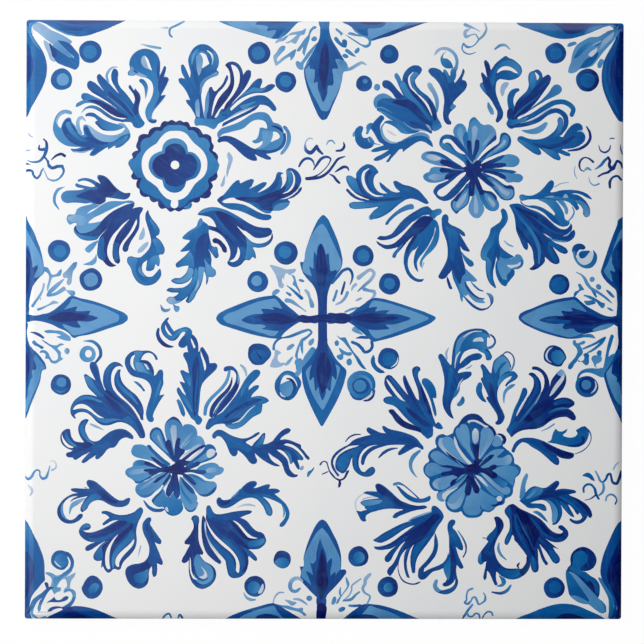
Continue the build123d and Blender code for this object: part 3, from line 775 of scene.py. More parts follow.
# Rosette of pale, ringed and dark petals at the top right
draw("""
azure sky 453,130 454.6,126.4 458,123.6 461.6,123.6 465,126.6 466.6,131 467,140 468,150 467,155 460,147
  456,139.6
azure sky 467,132 468.6,125 470,120 472.6,117.2 475,117.4 477.6,120.6 480,123 484,125 488,124.3 492,126
  495,129.6 496.2,134 495.6,138.6 490,143 484,149 479,156 474,160 470.6,156 468,148 466.6,140
cobalt azure 463.4,135 466,131.4 467.4,134 468.4,142 469.6,151 466.6,153 464,145
cobalt azure 0.6 1.8 2.6 1.4 0.6 468.8,126.6 470.6,120.6 474,118.2 477,120.4 480.6,124
mist sky 472.4,127 474.8,125.6 477,127.4 476.8,134 474.6,142 473.2,152 472.4,158 471.6,148 472,136
mist sky 482,146 487,138 491.6,132 494.4,131 494.6,134 489,140
sky mist 458,128 461,127 462.6,131 462,139 464.4,148 460,140 457,133
royal indigo 481,153 484,148.6 488,143 492.6,137.6 495.8,134.8 496.2,139 492,142.6 487,146.6
royal cobalt 499.6,137 500.6,134 503.4,132.3 507,133.4 510.2,137 511,141.4 509.4,146.4 505.6,150 500,152.8
  492,156 484,160 480.6,163 479.4,160 484,155.6 490,150 496,145.6 499,141.6
azure sky 501.4,138 503.6,135 507,135.6 508.6,140 506.6,145 502,148.8 494,153 485,158.2 488,154 495,148.4
  500,143.4
mist 503.6,139.6 505.8,140.6 505,143.4 499,148 493.6,151.4 498,146.6 502,142.6
navy indigo 498.8,143.4 494,148.4 487,154 480.4,159.4 475.6,163.4 482,155.6 490,149
cobalt royal 439.4,145.6 439.2,141 441,137 445,134.5 450,134.6 455,136.6 460,141.4 466,150 471,158
  473.4,163.6 466,166 462.6,160.6 456,156 448,151.6 442,148.6
azure cobalt 440,145.4 441,142.4 446,143 450.6,147 455.6,151.8 461,154.2 466,159.4 467.4,166 462.6,161.6
  455.6,156.4 447,151.6 441.6,148.6
indigo royal 450,135.6 455,137.4 460,142.6 466,150.8 470.6,158.6 467.6,156 462,150.6 456,145.4 452.4,141
white 442.4,141.6 443.4,139.8 446.6,138.8 450,139.4 454.4,143.4 459,148.6 465,154.2 460,153.2 456,150.8
  452.6,146.6 450,143.4 446,142.4 443.6,143.4
sky azure 421,158 421.6,154.6 424.6,152 430,151 437,151.8 444,154.6 451,159.4 459,165 466,168.6 458,168.4
  450,166.6 442,166.2 434,164.6 426,161.6
cobalt royal 426,153 432,151.2 438,152 445,155.2 452,160.4 461,166.4 456,166 449,161.6 443,157.6 436,154.6
  430,153.8
mist haze 425.4,156 429,154.4 436,155.6 441,158.4 437,160.6 430,159.6
navy indigo 439.6,162 441,160 446,159.8 452,162 459,166 466,169.4 458,169.6 449,167.2 442.6,164.8
azure sky 423,175.6 425.6,173 429,171.6 430,169 433,167 438,166.8 446,167.6 456,169 466,170 456,174 448,179
  442,181.4 434,182.8 427,181.6 423.4,178.6
mist sky 428,177 433,174 440,174.6 446,175.6 440,179.6 433,180.4
navy indigo 439.2,170.6 440,168.4 444,167.8 452,169.6 466,170.6 456,172.6 446,172.6 441,172.4
navy indigo 444.4,178.4 446,174.6 450,172.2 457,171 466,170.6 462,174 456,177 450,179.6
royal indigo 433,191.4 434.6,187.6 438,184.4 444,182 448,180 454,175.6 462,171.4 470,170 474,176 468.6,180.4
  462,188 456,195 450,199.6 444,201 439,199.4 435,195.6
white 437,193 438.4,190.4 443,187.4 448,184 453,180 458,175.6 463,172.6 465.8,172 465,174.4 461,178.6
  456,184.4 450,190.4 445.6,194.8 441.4,196.4 438.2,195.2
cobalt royal 450.4,205.6 450.6,201.6 453.6,198.4 458,193.4 464,187.6 468.6,182 472.4,175 473,186 470,196
  467.6,204 464,207.6 459.6,210.6 456.4,213.8 452.6,210.6
sky azure 452.6,207 453,202 457,198 462,192 467.4,187.4 468,196 466.6,203 461,207.6 456,210.6
mist 455.6,205 458,201 463,195 466.4,192 465,199 461,204.6 457,208
navy royal 453.6,200.6 457,195 462,190 467.4,183.6 468.6,186 464,190.6 459.6,196.6 455.6,201.4
sky azure 468.2,210 468.4,206 471,199 474,190 475,183 477.6,190 481,199 483.6,206 484,210 482,214.4
  478.6,217.8 474,217.6 470.4,214.6
mist 473.6,210 473.8,202 474.8,194 477,200 478,207 477,213 474.6,213.6
cobalt azure 479,192 484,190.6 489,192 494,196 497.6,200.4 499,205.4 497.4,209.4 493.6,211.2 489,210.4
  485,207.4 482.6,203 480,198
sky azure 484.6,193 489,195.4 494,200 496.6,205 494.6,208.6 490.6,207.6 487,202 484.6,197.4
mist 487.6,197 491.6,199.6 495,204.4 493.4,207 490,203.4
navy indigo 482.8,189.8 486,190.6 490.6,191.2 494.4,194 496.8,198.4 496,200 492.6,196 488,193 484.6,192.4
royal cobalt 478.6,172.6 482,172.4 488,174.6 496,178.6 502,183 506,185.3 510.4,184.9 513.4,187 514.4,191.4
  513.8,196.4 511,199.4 506.4,200.4 501.6,199.2 497,194.6 492,188.4 485.4,183.4 480,178.6 476,174.6
azure sky 485.6,178.6 490,177 496,180.6 501.6,185.4 506,188 512,189.4 513,194 510,198 505.6,199 501.6,196.6
  497,190.6 491.6,185.4
mist 492,180.6 497.4,184 504,189.4 509.6,192.6 507.6,195.6 502.6,193.6 497.6,188
navy indigo 503,185.6 508,185.4 512.6,186.4 513.6,189 510,188.8 505.6,188
navy indigo 479.4,173.4 484,176 489.6,181 494.6,186.4 490,185.4 484,181 478.4,176
sky azure 493,162.6 498,158.4 503,155.4 507.6,154 513,154.6 517.6,157 519.4,160 518,164.4 514,166.8 508,167
  500,166.4 494,165
sky azure 500,172 508,172.6 514.6,173.4 519.4,174 522.6,176.4 522.4,179.4 519,182.2 513,182 507.4,182.4
  503.4,179.6
royal cobalt 480.6,168.6 490,168.2 500,168.6 508,169.6 514,170.6 516.4,172 514,173.2 505,172.4 494,172
  484,171.6
navy royal 480,165.6 486,161.6 493,158.6 500,155.6 504.8,154.8 502,158.4 496,162 488,165 482,167
navy indigo 481,166.6 488,164.6 495,163 501.6,162.8 505.4,163.4 506,165.4 503,167 495,168 487,168.6
  481,168.6
navy indigo 480.6,169.6 488,170.4 496,171.4 502,173.6 505.6,176.6 505.8,178.8 503,179 497,176 489,173.4
  482,171.8
navy indigo 4.4 4.6 4 3 468.8,142.4 469.2,148 470.2,155 471.6,161
navy indigo 4.4 4.8 3.8 3 477,141.6 476.6,148 474.6,154 472.6,160
navy 5 5.6 5.4 472.6,176 471.8,186 471.2,193.6
navy 4 5 5 475,176 478,185 481.4,192.6
navy 466,161 469,158.6 472.6,163.6 477,160 481,161.4 480.4,167 482,171 479,174.6 475,178.6 471,178.4 467,176
  464.8,171 462.6,168 466.4,165.4
sky 0.4 1 1.4 0.8 0.4 465.6,155.4 469.6,160.4 472.4,163 475.6,160 479,156
""")

# Feathered leaf to the right of the top right rosette
draw("""
cobalt royal 519,197.6 519.4,195 522,194.2 526,195.3 532,195.2 537,193 541.6,189.4 545.6,184.8 549,181
  551.4,179.9 553.4,181.6 553.6,185.4 552,189 550,191.8 554,191.8 560,190.2 568,189.6 576,190 583,191.8
  588,194.6 591.6,199.2 587,197.8 581,194.6 575,193.2 571.4,193.6 577,194.6 583,198.4 587.4,203.6 589.8,210
  588.6,216 585.4,217.2 583,214.6 582.6,209 580,204.4 574,199.6 576.6,203.6 578.8,208.4 576.8,210.2
  573,206.4 569,202.6 563,200.4 555,200.6 545,199.6 534,199.2 526,199.6 521,200.6
azure cobalt 519.4,197.4 520,195.2 524,195.6 530,196.6 528,199 522.4,200
azure cobalt 550,198 556,196.2 563,197.2 569,198.4 575,200 577.6,205 577.4,209.6 573.6,206.4 569,202.4
  563,200 556,199.4
azure sky 582,201 587,205.6 589.2,211 588,216 585,216.6 583.4,211.4 580.6,206 576,201.4 578.6,200
azure sky 557,200.4 563,200.6 566,205 568,210 566.6,214.4 565,213.6 564,209 560.6,204.6
azure cobalt 538,199.4 548,199 556,201.2 560,206.4 563.4,213 565.4,219.4 569.4,221.4 568.6,224.6 564,226.6
  558.6,225.6 553,221.4 548,216.6 552,216 554.4,214.6 551,208.6 546,203.6
cobalt royal 520,200 522.6,203.4 527,205.2 534,205.2 541,207 548,211 553,214.6 556,219 560,224 555,223.4
  549,218.4 543,212.6 536,209 529,207.4 523.6,205.4 520.4,203
azure sky 0.8 1.6 1.8 1 571.6,206.6 573.8,211.4 571.6,217 567.4,221.2
sky mist 0.6 1.8 1 544.6,197.2 549,196.6 553.4,196.2
mist 562.6,197 565.2,193.6 568,197.2
""")

# Dark fan below and right of the top right rosette
draw("""
royal indigo 509,205 514,203.4 519,203.6 523,205.4 529,208.6 536,211 543,215 549,220 555,225.4 561,228.8
  566,228.6 569.6,225 570.4,223 572,226 571.6,229.4 570.6,231.4! 573.6,229.6 575,232.6 574,236.6 570.6,240.2
  565,242.2 558,241.4 550,237.4 543,231.6 537.4,226.6! 543,233 550,239 556,243 562,245.6 566.6,249 567.6,252
  565.4,253.6 560.6,252.6 556,249.6 552.4,246.6! 556,252.6 559,259 559.2,262.4 556,264 551,262.4 547,259
  544.8,257 544.6,261 541,265.6 536,269 531.6,270 529,268.6 531,267 533.4,264.6 533,258 532,250 530,245.6
  527.4,242.4! 527.8,247.6 526.6,249.8 524,248.4 521.4,244 519,238 516,231 515,223 514,216 511,209
navy indigo 514,206 521,208.4 529,211.4 538,214.6 546,219.6 553,225.6 560,230.4 567,232 561,235 553,233
  546,228.6 541,229 547,235 540,231 534,226 528,219 521,212.6
cobalt royal 550,237 557,240 565,240.4 571,236.6 573.4,231 574.6,234 571,239 565,241.6 558,241 551.6,238.4
royal cobalt 1 2 2 1.4 0.6 530,215.6 539,222 548,228.6 557,233 564,233.8
navy indigo 522,224 530,228.4 537,233 542,241 545.4,250 545.4,257 541,248.6 536,239.6 529,232
navy indigo 516,226 520.6,230 526,236.6 531.6,245 534,254 530.6,246.4 526.4,241.4 521,238 518,232
cobalt azure 1.6 2.6 3 3.6 3.4 1.6 513,207 519.6,217 528,227.4 534.6,237.4 538.6,248 538.6,263
cobalt royal 549,241 556,244 562,247 566,251.4 561,251.6 555,248 550,245.6 553,252 557,259.4 555.6,262.6
  551,258 547.6,250
azure sky 0.6 1.6 2 0.8 547,236.8 553,239.8 560,241 566,241.4
mist 0.6 1.5 1.3 0.5 563,235.9 567,234.6 570.6,231
navy 529,268.8 532,266.8 537,267 533.6,269.8
""")

# Broken ring with a curled head, above the right star
draw("""
haze 576.6,259 577.2,254 580,250.6 586,250 592,252 593,257 589,262.6 583.6,265 579.4,263
royal indigo 571.6,250 572.6,246.4 576,243.8 580,243.3 584,245.2 585.2,247.6 583.4,249.4 579.6,249.4 577,252
  575.6,256 574.4,255.4
azure cobalt 2.6 2.6 2.4 3 4.8 4.8 3.8 0.6 573.6,252 575,258 578.2,263.2 583.4,266.2 589.6,265.4 594,260.4
  594.8,254.6 592.8,250
royal cobalt 578.4,254 580,251.4 584.6,250.6 589.6,250.8 587.6,254 584.6,257.2 581.4,258.4 579,256.6
""")

# Curled line between the two upper rosettes
draw("""
mist indigo 1 1.4 1.2 2.4 3.6 4 3.8 3.6 312.6,139 309.6,138.2 306.4,140.6 305,146 306.6,151 310.4,152.8
  314,149.8 316.6,146.4
indigo 3.4 3.2 2.2 316.6,147 319,150.8 322.4,153.8
sky azure 0.8 1.6 1.6 0.8 326.4,144.8 328.6,141.2 331.8,140.6 335,144
navy indigo 1 2.6 2.6 2 343.4,142.2 344.2,146.4 341.6,150 336.2,150.9
indigo royal 2 2.6 2.8 2.6 2 0.8 299,166.4 301.4,162 305.2,158.8 309.6,158.6 313,161.4 314.2,166
indigo navy 1 2.6 3 2.6 1.6 1 1.2 1.4 2.2 2.4 313.4,170 317.4,163.6 321.4,158.6 326.4,156.8 330.4,158.6
  329,163.4 324.4,169.4 318.6,174.4 312,177.4 306,178.2
navy indigo 3 3 3 2.8 2.6 2.6 1.2 306.6,178.8 314,178.4 321,176.8 328,172 333,165.6 338,159 344.8,156.4
navy indigo 0.8 2.4 3 2.6 1 334.8,172.2 339.6,169 344.2,166.8 347.4,167.8 348.8,170.8
indigo navy 1 2.2 2.8 2.4 329.2,174 333.4,176.2 336.4,180.2 339.2,182.8
""")

# Long leaf that hangs below the top right rosette and ends in a hook
draw("""
azure cobalt 461,251 464,254.6 468.6,258.4 473,262 473.6,264.6 471.6,266.6 469.4,266.4 466,263 463,258
cobalt azure 451.8,270.4 456,274 460,282 464,290 462.6,298 461.8,302 460.6,300 459,293 455.6,285 452.4,277
azure sky 460,274 464,273.6 465,268.4 469,272 474,276.6 476.8,280.6 472,281.6 469.6,281 466,281.2! 466.6,286
  470,292 474.6,296 479,298.6 484.8,298.4 483,300 485,302.4 481,303 475,301.6 470.4,297.6 467,294.6 466,296
  463,294.4 461,292 458.6,286 458.6,280
royal indigo 441.4,222 441.4,218 443,215 445.4,214 448,216 448.4,219 448,221.6 451,224.6 456,226.8 461,229.6
  464.4,233 465,236 463,236 459.6,233.6! 462,238 465.6,244 469,251.6 466,251.2 462.6,249.6 459.8,246!
  461,252 463,260 464.8,267 464.6,274 462,276! 461,280 459.6,284 457,280 454,275 451.8,270! 448,274.4
  445,278 441,279 438,276.8 439.6,273 443.6,266 446.6,259 447.4,251 446.6,243 444.4,236 442,229
cobalt royal 446,226 450,228 456,231 458,240 455,250 452.6,262 449,258 449.6,248 448,238
royal indigo 1.4 3 2.4 1.6 0.6 464.6,282 467.6,288.6 473,294.4 478.6,297.8 484.6,298.5
azure cobalt 0.8 2 2 1.2 470.6,281.6 474.6,286 479,289.6 483,291
cobalt indigo 1 2.4 2.8 2.4 1.4 463,295.4 467.6,300.6 474,306.4 481,309.4 487.4,308
indigo sky 1.4 1.4 3.6 4 1.4 487,308.2 490.6,304.6 491.6,300 490.4,295.8 486.4,293
navy royal 447,276.4 449,280 450.4,284 451.8,289 449.8,289 447.4,284 446.4,279.6
""")

# Leaf with a bell-shaped flower, below the top right rosette
draw("""
royal cobalt 497.4,259 500.4,262 509,268.6 513.6,269.2 514.4,273.6 511,278.6 507.6,282.8 505.4,286 502,285
  498.6,281 496,275 495,268 495.6,262.6
azure sky 499.6,254 504,257.4 509,258.4 513.6,257 516,254.2 519.4,254.4 522.4,258 523.4,262 521.6,266.4
  517,268.8 511,268.6 510,271 506.4,275.6 506.6,279.4 503.6,279.4 499.6,274 497.4,267.6 497.4,261
cobalt azure 1 2.2 2 1 520.8,259.6 522,263.6 518.6,267.4 512,268.8
haze 506.6,265 511,264.8 517,263.8 520.4,261.6 519.6,264.8 515,266.8 509,267.4
cobalt royal 500.4,210.4 502.4,208.2 505,209.6 507.2,214 507.6,219.6 505,225 501,230 499,235 498.8,241
  500,245.6 504,250 509,253.6 513.6,256.6 508,258.4 502,257.8 499.4,256.4 498.6,260.6 497.4,260 496,256.8!
  494.6,264 493,271 493,278 495.2,288 492.6,286.4 489,282.6 486.6,277 485.4,269 485.4,260.8! 482,259.6
  480.4,256.6 480.4,252 483,245 487,238.4 489.4,233 490.4,228.6 495,225 499.6,221.6 501.6,217 501,213
azure cobalt 481,254 482.6,248 486.6,242 489,236 492,236 494,240 491,247 487,253 485.6,259.8 482.4,259.4
azure cobalt 487.4,257 491,262 490,271 491.6,279 494,286.4 490,283 487.6,276 486.4,268
royal indigo 496,243 499.4,248 499.6,255 498.4,259.4 495.6,255.6 494.6,262 492,268 492.6,258 494.4,250
mist sky 0.8 1.8 1 503.6,240.4 508,244.4 513,246.4
""")

# The two deep waves and the pale bud in the top right corner
draw("""
cobalt royal 516,22 530,29.6 540,33 550,36.6 560,38.9 570,38.7 580,36.4 590,32.8 600,28.6 606,26.6 611,25.8
  616,28 620,24 626,20 626,15 516,15
navy indigo 549,21 556,25.4 562,30 566,33.4 574,33.8 582,31 590,26 600,21
night navy 560,21 565,25.6 573,27.8 582,26.6 590,21
azure cobalt 590,28.4 598,25.6 606,24.4 611,25.4 604,27 596,29.6 590,32.4 584,33.4
royal indigo 626,20 620,24 616.6,30 616,36 613,43 608,52 604,60 602,68 601.2,76 602,86 605,96 610,107
  615,116 619,121 623,122 626,122
navy indigo 626,24 620,31 618,41 615,52 611.6,62 609.6,73 611,84 613.4,94 616.4,104 619.6,112 626,116
night navy 626,26 621,33 620,44 617.4,54 614.6,63 613.4,73 614.6,82 618,90 621,98 626,102
cobalt royal 1 3 4 3.4 1.6 606,62 604.4,74 606,88 611,101 617.6,113
azure sky 606,25.2 611,24.4 616.4,26.6 618.4,30.4 617,35 613,41 608,46.6 604,51 600,56 596,61.6 592.6,65.4
  586,68 580,69 575,72.4 571,73.4 568,72.4 568.4,68 570.6,62 571.6,56 573,51 577,44.6 583,40.6 590,37.2
  598,36.6 603.6,33.6 609,30.6 613.4,29.2 611,26.8
cobalt azure 574,58.6 576,53 579.6,48 584,44.4 590,42.4 593.6,42.6 588.4,46.6 582,52.6 576.6,57.6
cobalt royal 579.6,68.4 582,64 588,57.6 592.6,56 595.6,51.6 597.8,51.6 597,57 593.6,62 591,65 586,67.2
mist sky 603,40 609,35 614,31.6 613,36 607,43 601,49 596,53 599.6,46.6
haze 588,55 590.6,51.6 594,49.4 597,47.6 596.6,50.6 594,54.6 591,56.8
mist 592,45.6 596,42.6 601,41 600,43.4 596,45.6
royal cobalt 0.8 1.6 0.6 594,45.6 597.4,44.6 600.6,42.2
azure sky 567,46.6 568,43.8 571.6,42 575.6,42 576.6,43.6 573,45.6 569.6,46.8
azure sky 597,65.6 598,61.6 600.6,59 603.6,60 602.4,64.6 600,68 597.8,67.8
""")

# The dots round the top right corner and beside the right star
draw("""
indigo royal oval 555.3,53.3 10.5,10.5
cobalt oval 555.6,53.5 6.2,6.2
night royal oval 587.2,80.1 11.6,11.6
royal cobalt oval 587.4,80.5 7.4,7.4
indigo royal oval 363.1,255.7 10.7,10.7
lapis oval 363.1,255.7 6.4,6.4
indigo royal oval 389.3,283.6 10.8,10.8
lapis oval 389.3,283.4 5.7,5.7
navy royal oval 558.9,284.1 10.4,10.4
royal cobalt oval 558.5,284.5 7.6,7.6
""")

# Fan of long claws, below and left of the top right rosette
draw("""
cobalt azure 385,224.6 386.4,221 391,215.6 397,210.4 403,206.4 408.6,204.1 412.4,204.2 414,206.6 413.4,208.6
  409,209.6 402,212 395,216.4 389.6,221.6 387,224.8
cobalt azure 430.6,209.8 433,210 437,208.6 440.6,208.8 441.8,211.6 440,214.2 436.6,216 434,218.8 430,217
  428.6,213.4
indigo royal 377,238.4 379,236.2 385,236 390.6,234 396,228 401,221.6 408,215.4 416,210.4 423,206.8
  427.6,206.2 430.6,208.6 432,211 430,214.6! 424,215 418,217.6 412,222 406,228 400,233.6 393,238 386,239.9
  380,239.9
royal cobalt 412,216.4 418,212 424,208.6 428,208.4 429.6,211 424,212.4 417,216 411,220.4 404,226.4 408,220.4
indigo navy 376,241 377.4,241.4 381,243.6 387,244.8 393,243.4 398,239.6 403.6,234 409,228 414,222.6
  420,217.6 426,215.6 432,217.6 434,220.6 434,226 431,234 427,242 422,250 416,250 418.2,246! 413,250
  410.6,247 413.2,236! 408,240.6 402.4,247.4 397,253.4 394.4,257.8 392.4,257 393,253.4 397.6,247.2 392,248.6
  385,248.8 380.6,246.4 377,243.4
azure cobalt 403,243 400,248 396.6,253.6 394,257.9 392.2,257.2 392.8,253.6 396,249.6 399.6,246
cobalt royal 434,219.6 436,221.6 434.6,228.4 434,233 431,240 427,247.4 423,252.6 419,257.4 416.8,262
  417.6,271.8 415,268.4 413.3,261.6 414.2,255 416,249.6 418.2,246 412.6,250.4 409.4,255 407.6,261.6
  408.2,268 411,273.6 415.6,277.8 419.6,279 423.6,278.8 422.4,281 418,281.8 412.6,279.8 407.6,275
  404.6,268.4 403.3,260 404.4,252.4 407,245.4 411,239.6 416,236 422,231.6 428,225.6
navy indigo 413,236.6 416.6,235.4 414,241 410,247.6 407,253 405.6,251 409,243.6
cobalt azure 433.6,219 436.4,220.8 438.4,225 439.2,231 438.8,238 436.6,244.4 432,250.6 426.4,255.6
  422.6,260.6 421,267.4 419.4,264 420,260.4 423,255 427,248.6 431.4,241.4 434,234 435.4,228.4 434.2,224
azure cobalt 0.6 1.2 0.8 413,221.6 418.6,217.8 425.6,215.4
mist 1.4 1 0.6 423.6,262.6 422.6,265.6 421.8,268.6
""")

# Half of a lance star at the right edge
draw("""
royal indigo 626,216 621,217.4 618,219.6 616.6,225 613,234 608.6,246 604.6,258 601.6,267 600.4,271.6 602,276
  606,281.4 611,286 615.4,290 616.4,296 617,304 617.2,315 626,315
sky azure 626,226 620.6,230 616,240 611.6,252 607,264 603.6,271 606.6,276 612,281.4 611.6,276 614.6,271
  612.6,262 611,255 615,246 621,238 626,234
navy indigo 626,238 621,241 616.6,248 613,256 611.4,262 613.4,267 614.8,271.6 609.8,270.4 611.2,275
  612.2,280.4 616,286 626,292
night navy 626,256 621,260 618.6,270 619,282 620,300 626,310
royal indigo 518.2,317.6 519.4,314 523,311.4 532,308 541,304 550,300.6 560,298.2 568,297 575,296.6 580,300.6
  586,305.6 593,309.6 600,313.4 605,315.4 610,316.2 617,315.4 626,315 626,332 619,328 616,325.6 612.8,324.2
  611,326 606,328.6 598,330.6 590,332.4 582,334.6 576,338 570,338.6 560,337.2 550,334.6 540,331.4 530,327
  522,322.6
sky azure 521,317.6 524,315 532,311 541,307 550,304 560,301.6 568,300.4 574,299.6 577,301.6 582,306.4
  586,311 578,310.6 571.6,309 572.4,311 565,311.4 561,311.2 563.6,314.6 556,315.8 548,317 541,320 546,322.6
  554,323.6 564,323.8 562.4,326.6 563,328.2 574,328.8 574.6,330.2 577,331.6 583,332.6 576,335.6 570,337
  560,335 550,332.2 540,328.6 530,324.4 524,321
navy indigo 539,319.8 546,316.8 554,315.6 563,314.8 561,311 569,311.2 572.6,310.6 571,307.6 576,308.8
  584,311.4 590,314 598,317 606,319.6 611,320.6 604,323 597,326.4 592,330.4 586,332.4 581,332.8 576,331.2
  573.6,328.8 566,328.4 562,327.4 564.4,324 556,323.6 548,322.8
indigo royal 540,319.8 547,317.4 556,317 562,318.6 570,321 566,323.2 556,322.6 547,321.8
night navy 556,318 562,315.6 570,315 578,313.6 586,314 594,316.6 602,319 612,318.4 626,317 626,324 616,322.6
  604,322.4 596,323.6 588,324.4 578,324.2 570,323.4 571,320.6 563,319.6
sky azure 592,330 597,326.6 603,324.4 609,323.4 613.4,324.2 609,327.2 603,329 597,330.4
cobalt azure 573,338.4 577,336 583,334.4 590,333.6 593,335 595,338 590,337.4 583,337.2 578,338.2
indigo navy 617,312 617.4,325 617.4,333 618,342 616.6,349 614,354.4 626,356 626,312
royal indigo 626,350 616,350 613.6,356 610,363 606,369 603.2,374 604.6,381 607,389 610.6,399 615,409
  619.4,418 621.6,422.8 626,424
sky azure 612,364.6 609,368.4 606,372.4 606.6,378 609,386 612.4,394 617,402 622,406 626,407 626,392 620,386
  617.6,381 616,377 612,373.4 611.4,369
navy indigo 626,352 618,356 613,362.6 611.4,368.6 612,373.8 615,373 617,376.6 616.6,381.6 619,381.4 620,387
  622,396 626,400
night navy 626,350 620.6,356 619,364 620,374 626,384
""")

# Pale sprigs between the petals of the right star
draw("""
azure cobalt 578,283.6 579.6,283.4 582,286.4 583.8,289.4 580,290.6 577.6,293 575.4,295.6 574,297.4
  573.4,293.6 574.6,291.6 578.6,289.4
sky azure 1 1.6 3 3.4 3 3 2.6 2.4 2.4 0.8 576,272 581.6,275 584.4,278.4 586.6,283 590.4,287.8 596,291
  602,295 607.6,299.4 611.6,303
azure cobalt 1.6 3 1.8 591,289 594,293 595.8,296.6
sky 589.2,279 590.4,276.8 592.4,276.4 594.4,278 593.8,280.8 591.6,281.8 589.6,281
azure 596,284.4 598.6,283.8 600.8,286 600.4,288.8 597.6,289.4 595.8,287.4
cobalt azure 1.4 3 3.4 2.2 606.2,290 609.2,292.6 611,294.6 613.2,296.6
azure cobalt 1.6 3 3 2.2 584,295.2 588.6,296.6 593.6,299 600,302.6
cobalt azure 597,302.4 600,302 604.6,303.6 603.4,307.4 602,308 599,305.6
azure cobalt 583.6,300.6 588,300.4 592,300 595.4,302.6 591,304.6 586.6,305
azure 1.4 2.6 1.8 607.2,307.6 609.8,309 612,310.2
azure cobalt 572.4,341 573.6,339.4 575.6,340.6 576,342.6 580,342 583.4,340.4 585.2,341.4 583.6,343.8
  580,344.8 581.6,348 582.6,352 580.6,355.6 578.4,357.6! 577,360.6 574,364 571.6,368 569.4,369.2 567.6,368
  568,365 571.6,360.6 575.6,355.4 577,350.6 575,346.6 573,344.6
azure cobalt 577,359 580,360.8 583,359.8 584,357! 583,354 585.4,352.6 588.4,354 588.6,358.4 588.4,363
  586,365.2 583.6,363.8 581.6,361.6 578.4,361.6
azure cobalt 2 2.4 2.4 3 2.4 583,348.4 589.6,345.6 596.4,342.4 601,339.6 604.6,337.4
azure cobalt 1.6 2.4 2.8 3 2.4 587,352.6 592.6,349.6 597.6,345.8 601.6,342 604.4,338
azure sky 592,356 594.6,354.8 597.6,355.4 601,356.4 601.4,360 599,362.6 596.6,363.4 595.6,366 597.6,368.4!
  594.4,366.4 592.6,362 591,359
cobalt azure 596.4,352 598.4,350 601,350.6 601.2,353.6 600.4,356 597.4,355.4
cobalt azure 611,334 613.2,335.2 612.4,340 610.6,346 608.6,352.4 608.2,356.4! 611.4,354 615,353 612.6,358
  609.6,364 606,369.4 603.6,373 602.6,371 604,362 605.6,352.4 607.4,344 609.6,336.6
cobalt azure 577,384 576.4,379 577.4,374.6 580,371 584,368.8 590,367.8 597,368.2 603,367.8 604,372 603,377
  599.6,376.6 595,374.4 590,372.6 585,372.4 580.6,374.4 578.4,378
""")

# The two dots with a white gleam below the right star's left petal
draw("""
indigo navy 543.2,357 543.8,352 546,348 549.6,345.4 553.6,345 558,346.2 562,349 564.6,353 566,357.6
  563.6,361.6 560.4,366 557,366.4 551.4,364.8 547,362.6 544,360
haze 552.4,346.8 548.6,350.4 547,355 548,359.4 551.4,362.4 547.4,360.4 545,356.4 546.4,351 549,348
cobalt azure 550.6,355.4 552.4,351.6 556,349.8 560,350.4 563.4,354 564.6,357.6 562,361.6 558.6,364.4
  554,362.6 551.4,359
cobalt royal 575,384 576.4,379.6 579.6,377.2 583,376 589,375.8 594,378.4 597.2,382.4 598.2,387 596.2,392.4
  592,396 586,397 580.4,395.2 576.4,391 575,387
navy indigo 578.6,384 580.6,379.4 585,376.6 591,377 595.6,381 597,386 594.4,391 590,393 584,392.6 580,389.4
azure oval 585.8,384.4 4.8,4.9
haze 0.6 1.6 1.6 0.6 594.6,380.6 595.8,385 594.4,389.4 590.8,392.8
""")

# Tall leaf with a curled head, above the bottom right rosette
draw("""
royal indigo 438,355.6 439,353.8 441.6,353.7 443.8,356 448,362 450.2,364.6 451.6,356 453,346 455,340 458,335
  463,331.4 470,329 478,328.2 484.4,329.4 489,334 490,338! 487.4,337 486.6,342 487,347.6 490,352 491.6,357.6
  490.6,359.4 486.6,360 484.4,354 480,350.4 474,348.6 468,349.6 464,352 461,357 459.6,363 464,358.6 469,355
  474,353.2 479.4,353.2 482,355.6 480.4,358.4 476,360 472,360.6 468,364 463,367.4 459,369.4 457.6,372.6
  462,371.8 468,371.2 471,371.8 471.4,374 468,378 463,380.4! 460.6,383 459,389 457,394.6 452.6,399 450.6,404
  450.4,409 452,414.4 453.4,418.4 450,417 446,412.6 442.8,406 442,399 443.2,391 444,383 443.6,376 442,369
  440,362
azure sky 455,356 455.6,346 457.6,339.6 461,336 467,333 473,331.8 468,335.6 463,341 460,347 458.4,352
  456.6,362
cobalt azure 463,342 468,336.6 474,333 481,332 486,333.6 489,336.4 486,338 486,344 484.6,350 480,349
  474,347.4 467,348.6 462,353 458,362 456.4,367 457.6,356 460,348
haze 0.8 1.4 1.2 0.5 463.4,336.8 468.6,333 474.4,331.2 481.6,331.2
haze 472.4,341 474,338.6 478,337.2 481.8,337.6 483.4,340.9 478,341
indigo azure 1.6 2 2 2.4 3 2 490.2,334.4 493.6,337.4 494.8,341.6 492.6,345.6 489,347.6 485.6,347.4
haze 1 1.6 1.4 1 0.5 459.6,351.6 456.6,356 455,362 454.6,368
azure cobalt 478,350 482,349.6 487,351.6 490.6,356 491,359 487.4,359.4 485,354.4
cobalt royal 450.6,367 453,370 452.4,378 450,388 449,396 447,402 445.6,394 447,384 448,374
azure cobalt 459,384 459.4,390 457,394.4 453,397.6 454,392 457,388
haze 0.6 1.2 1 0.6 462.4,378.6 459.4,382.6 457,389.4
mist 0.8 2.4 1.6 448.4,347.4 446,352.6 446.6,359
sky 0.8 1.4 0.6 465.6,368.4 469,367 472,364.6
azure cobalt 456.4,404.6 459,401 462.6,396 464.4,399 464,402.4 461,405.4 458,406.2
""")

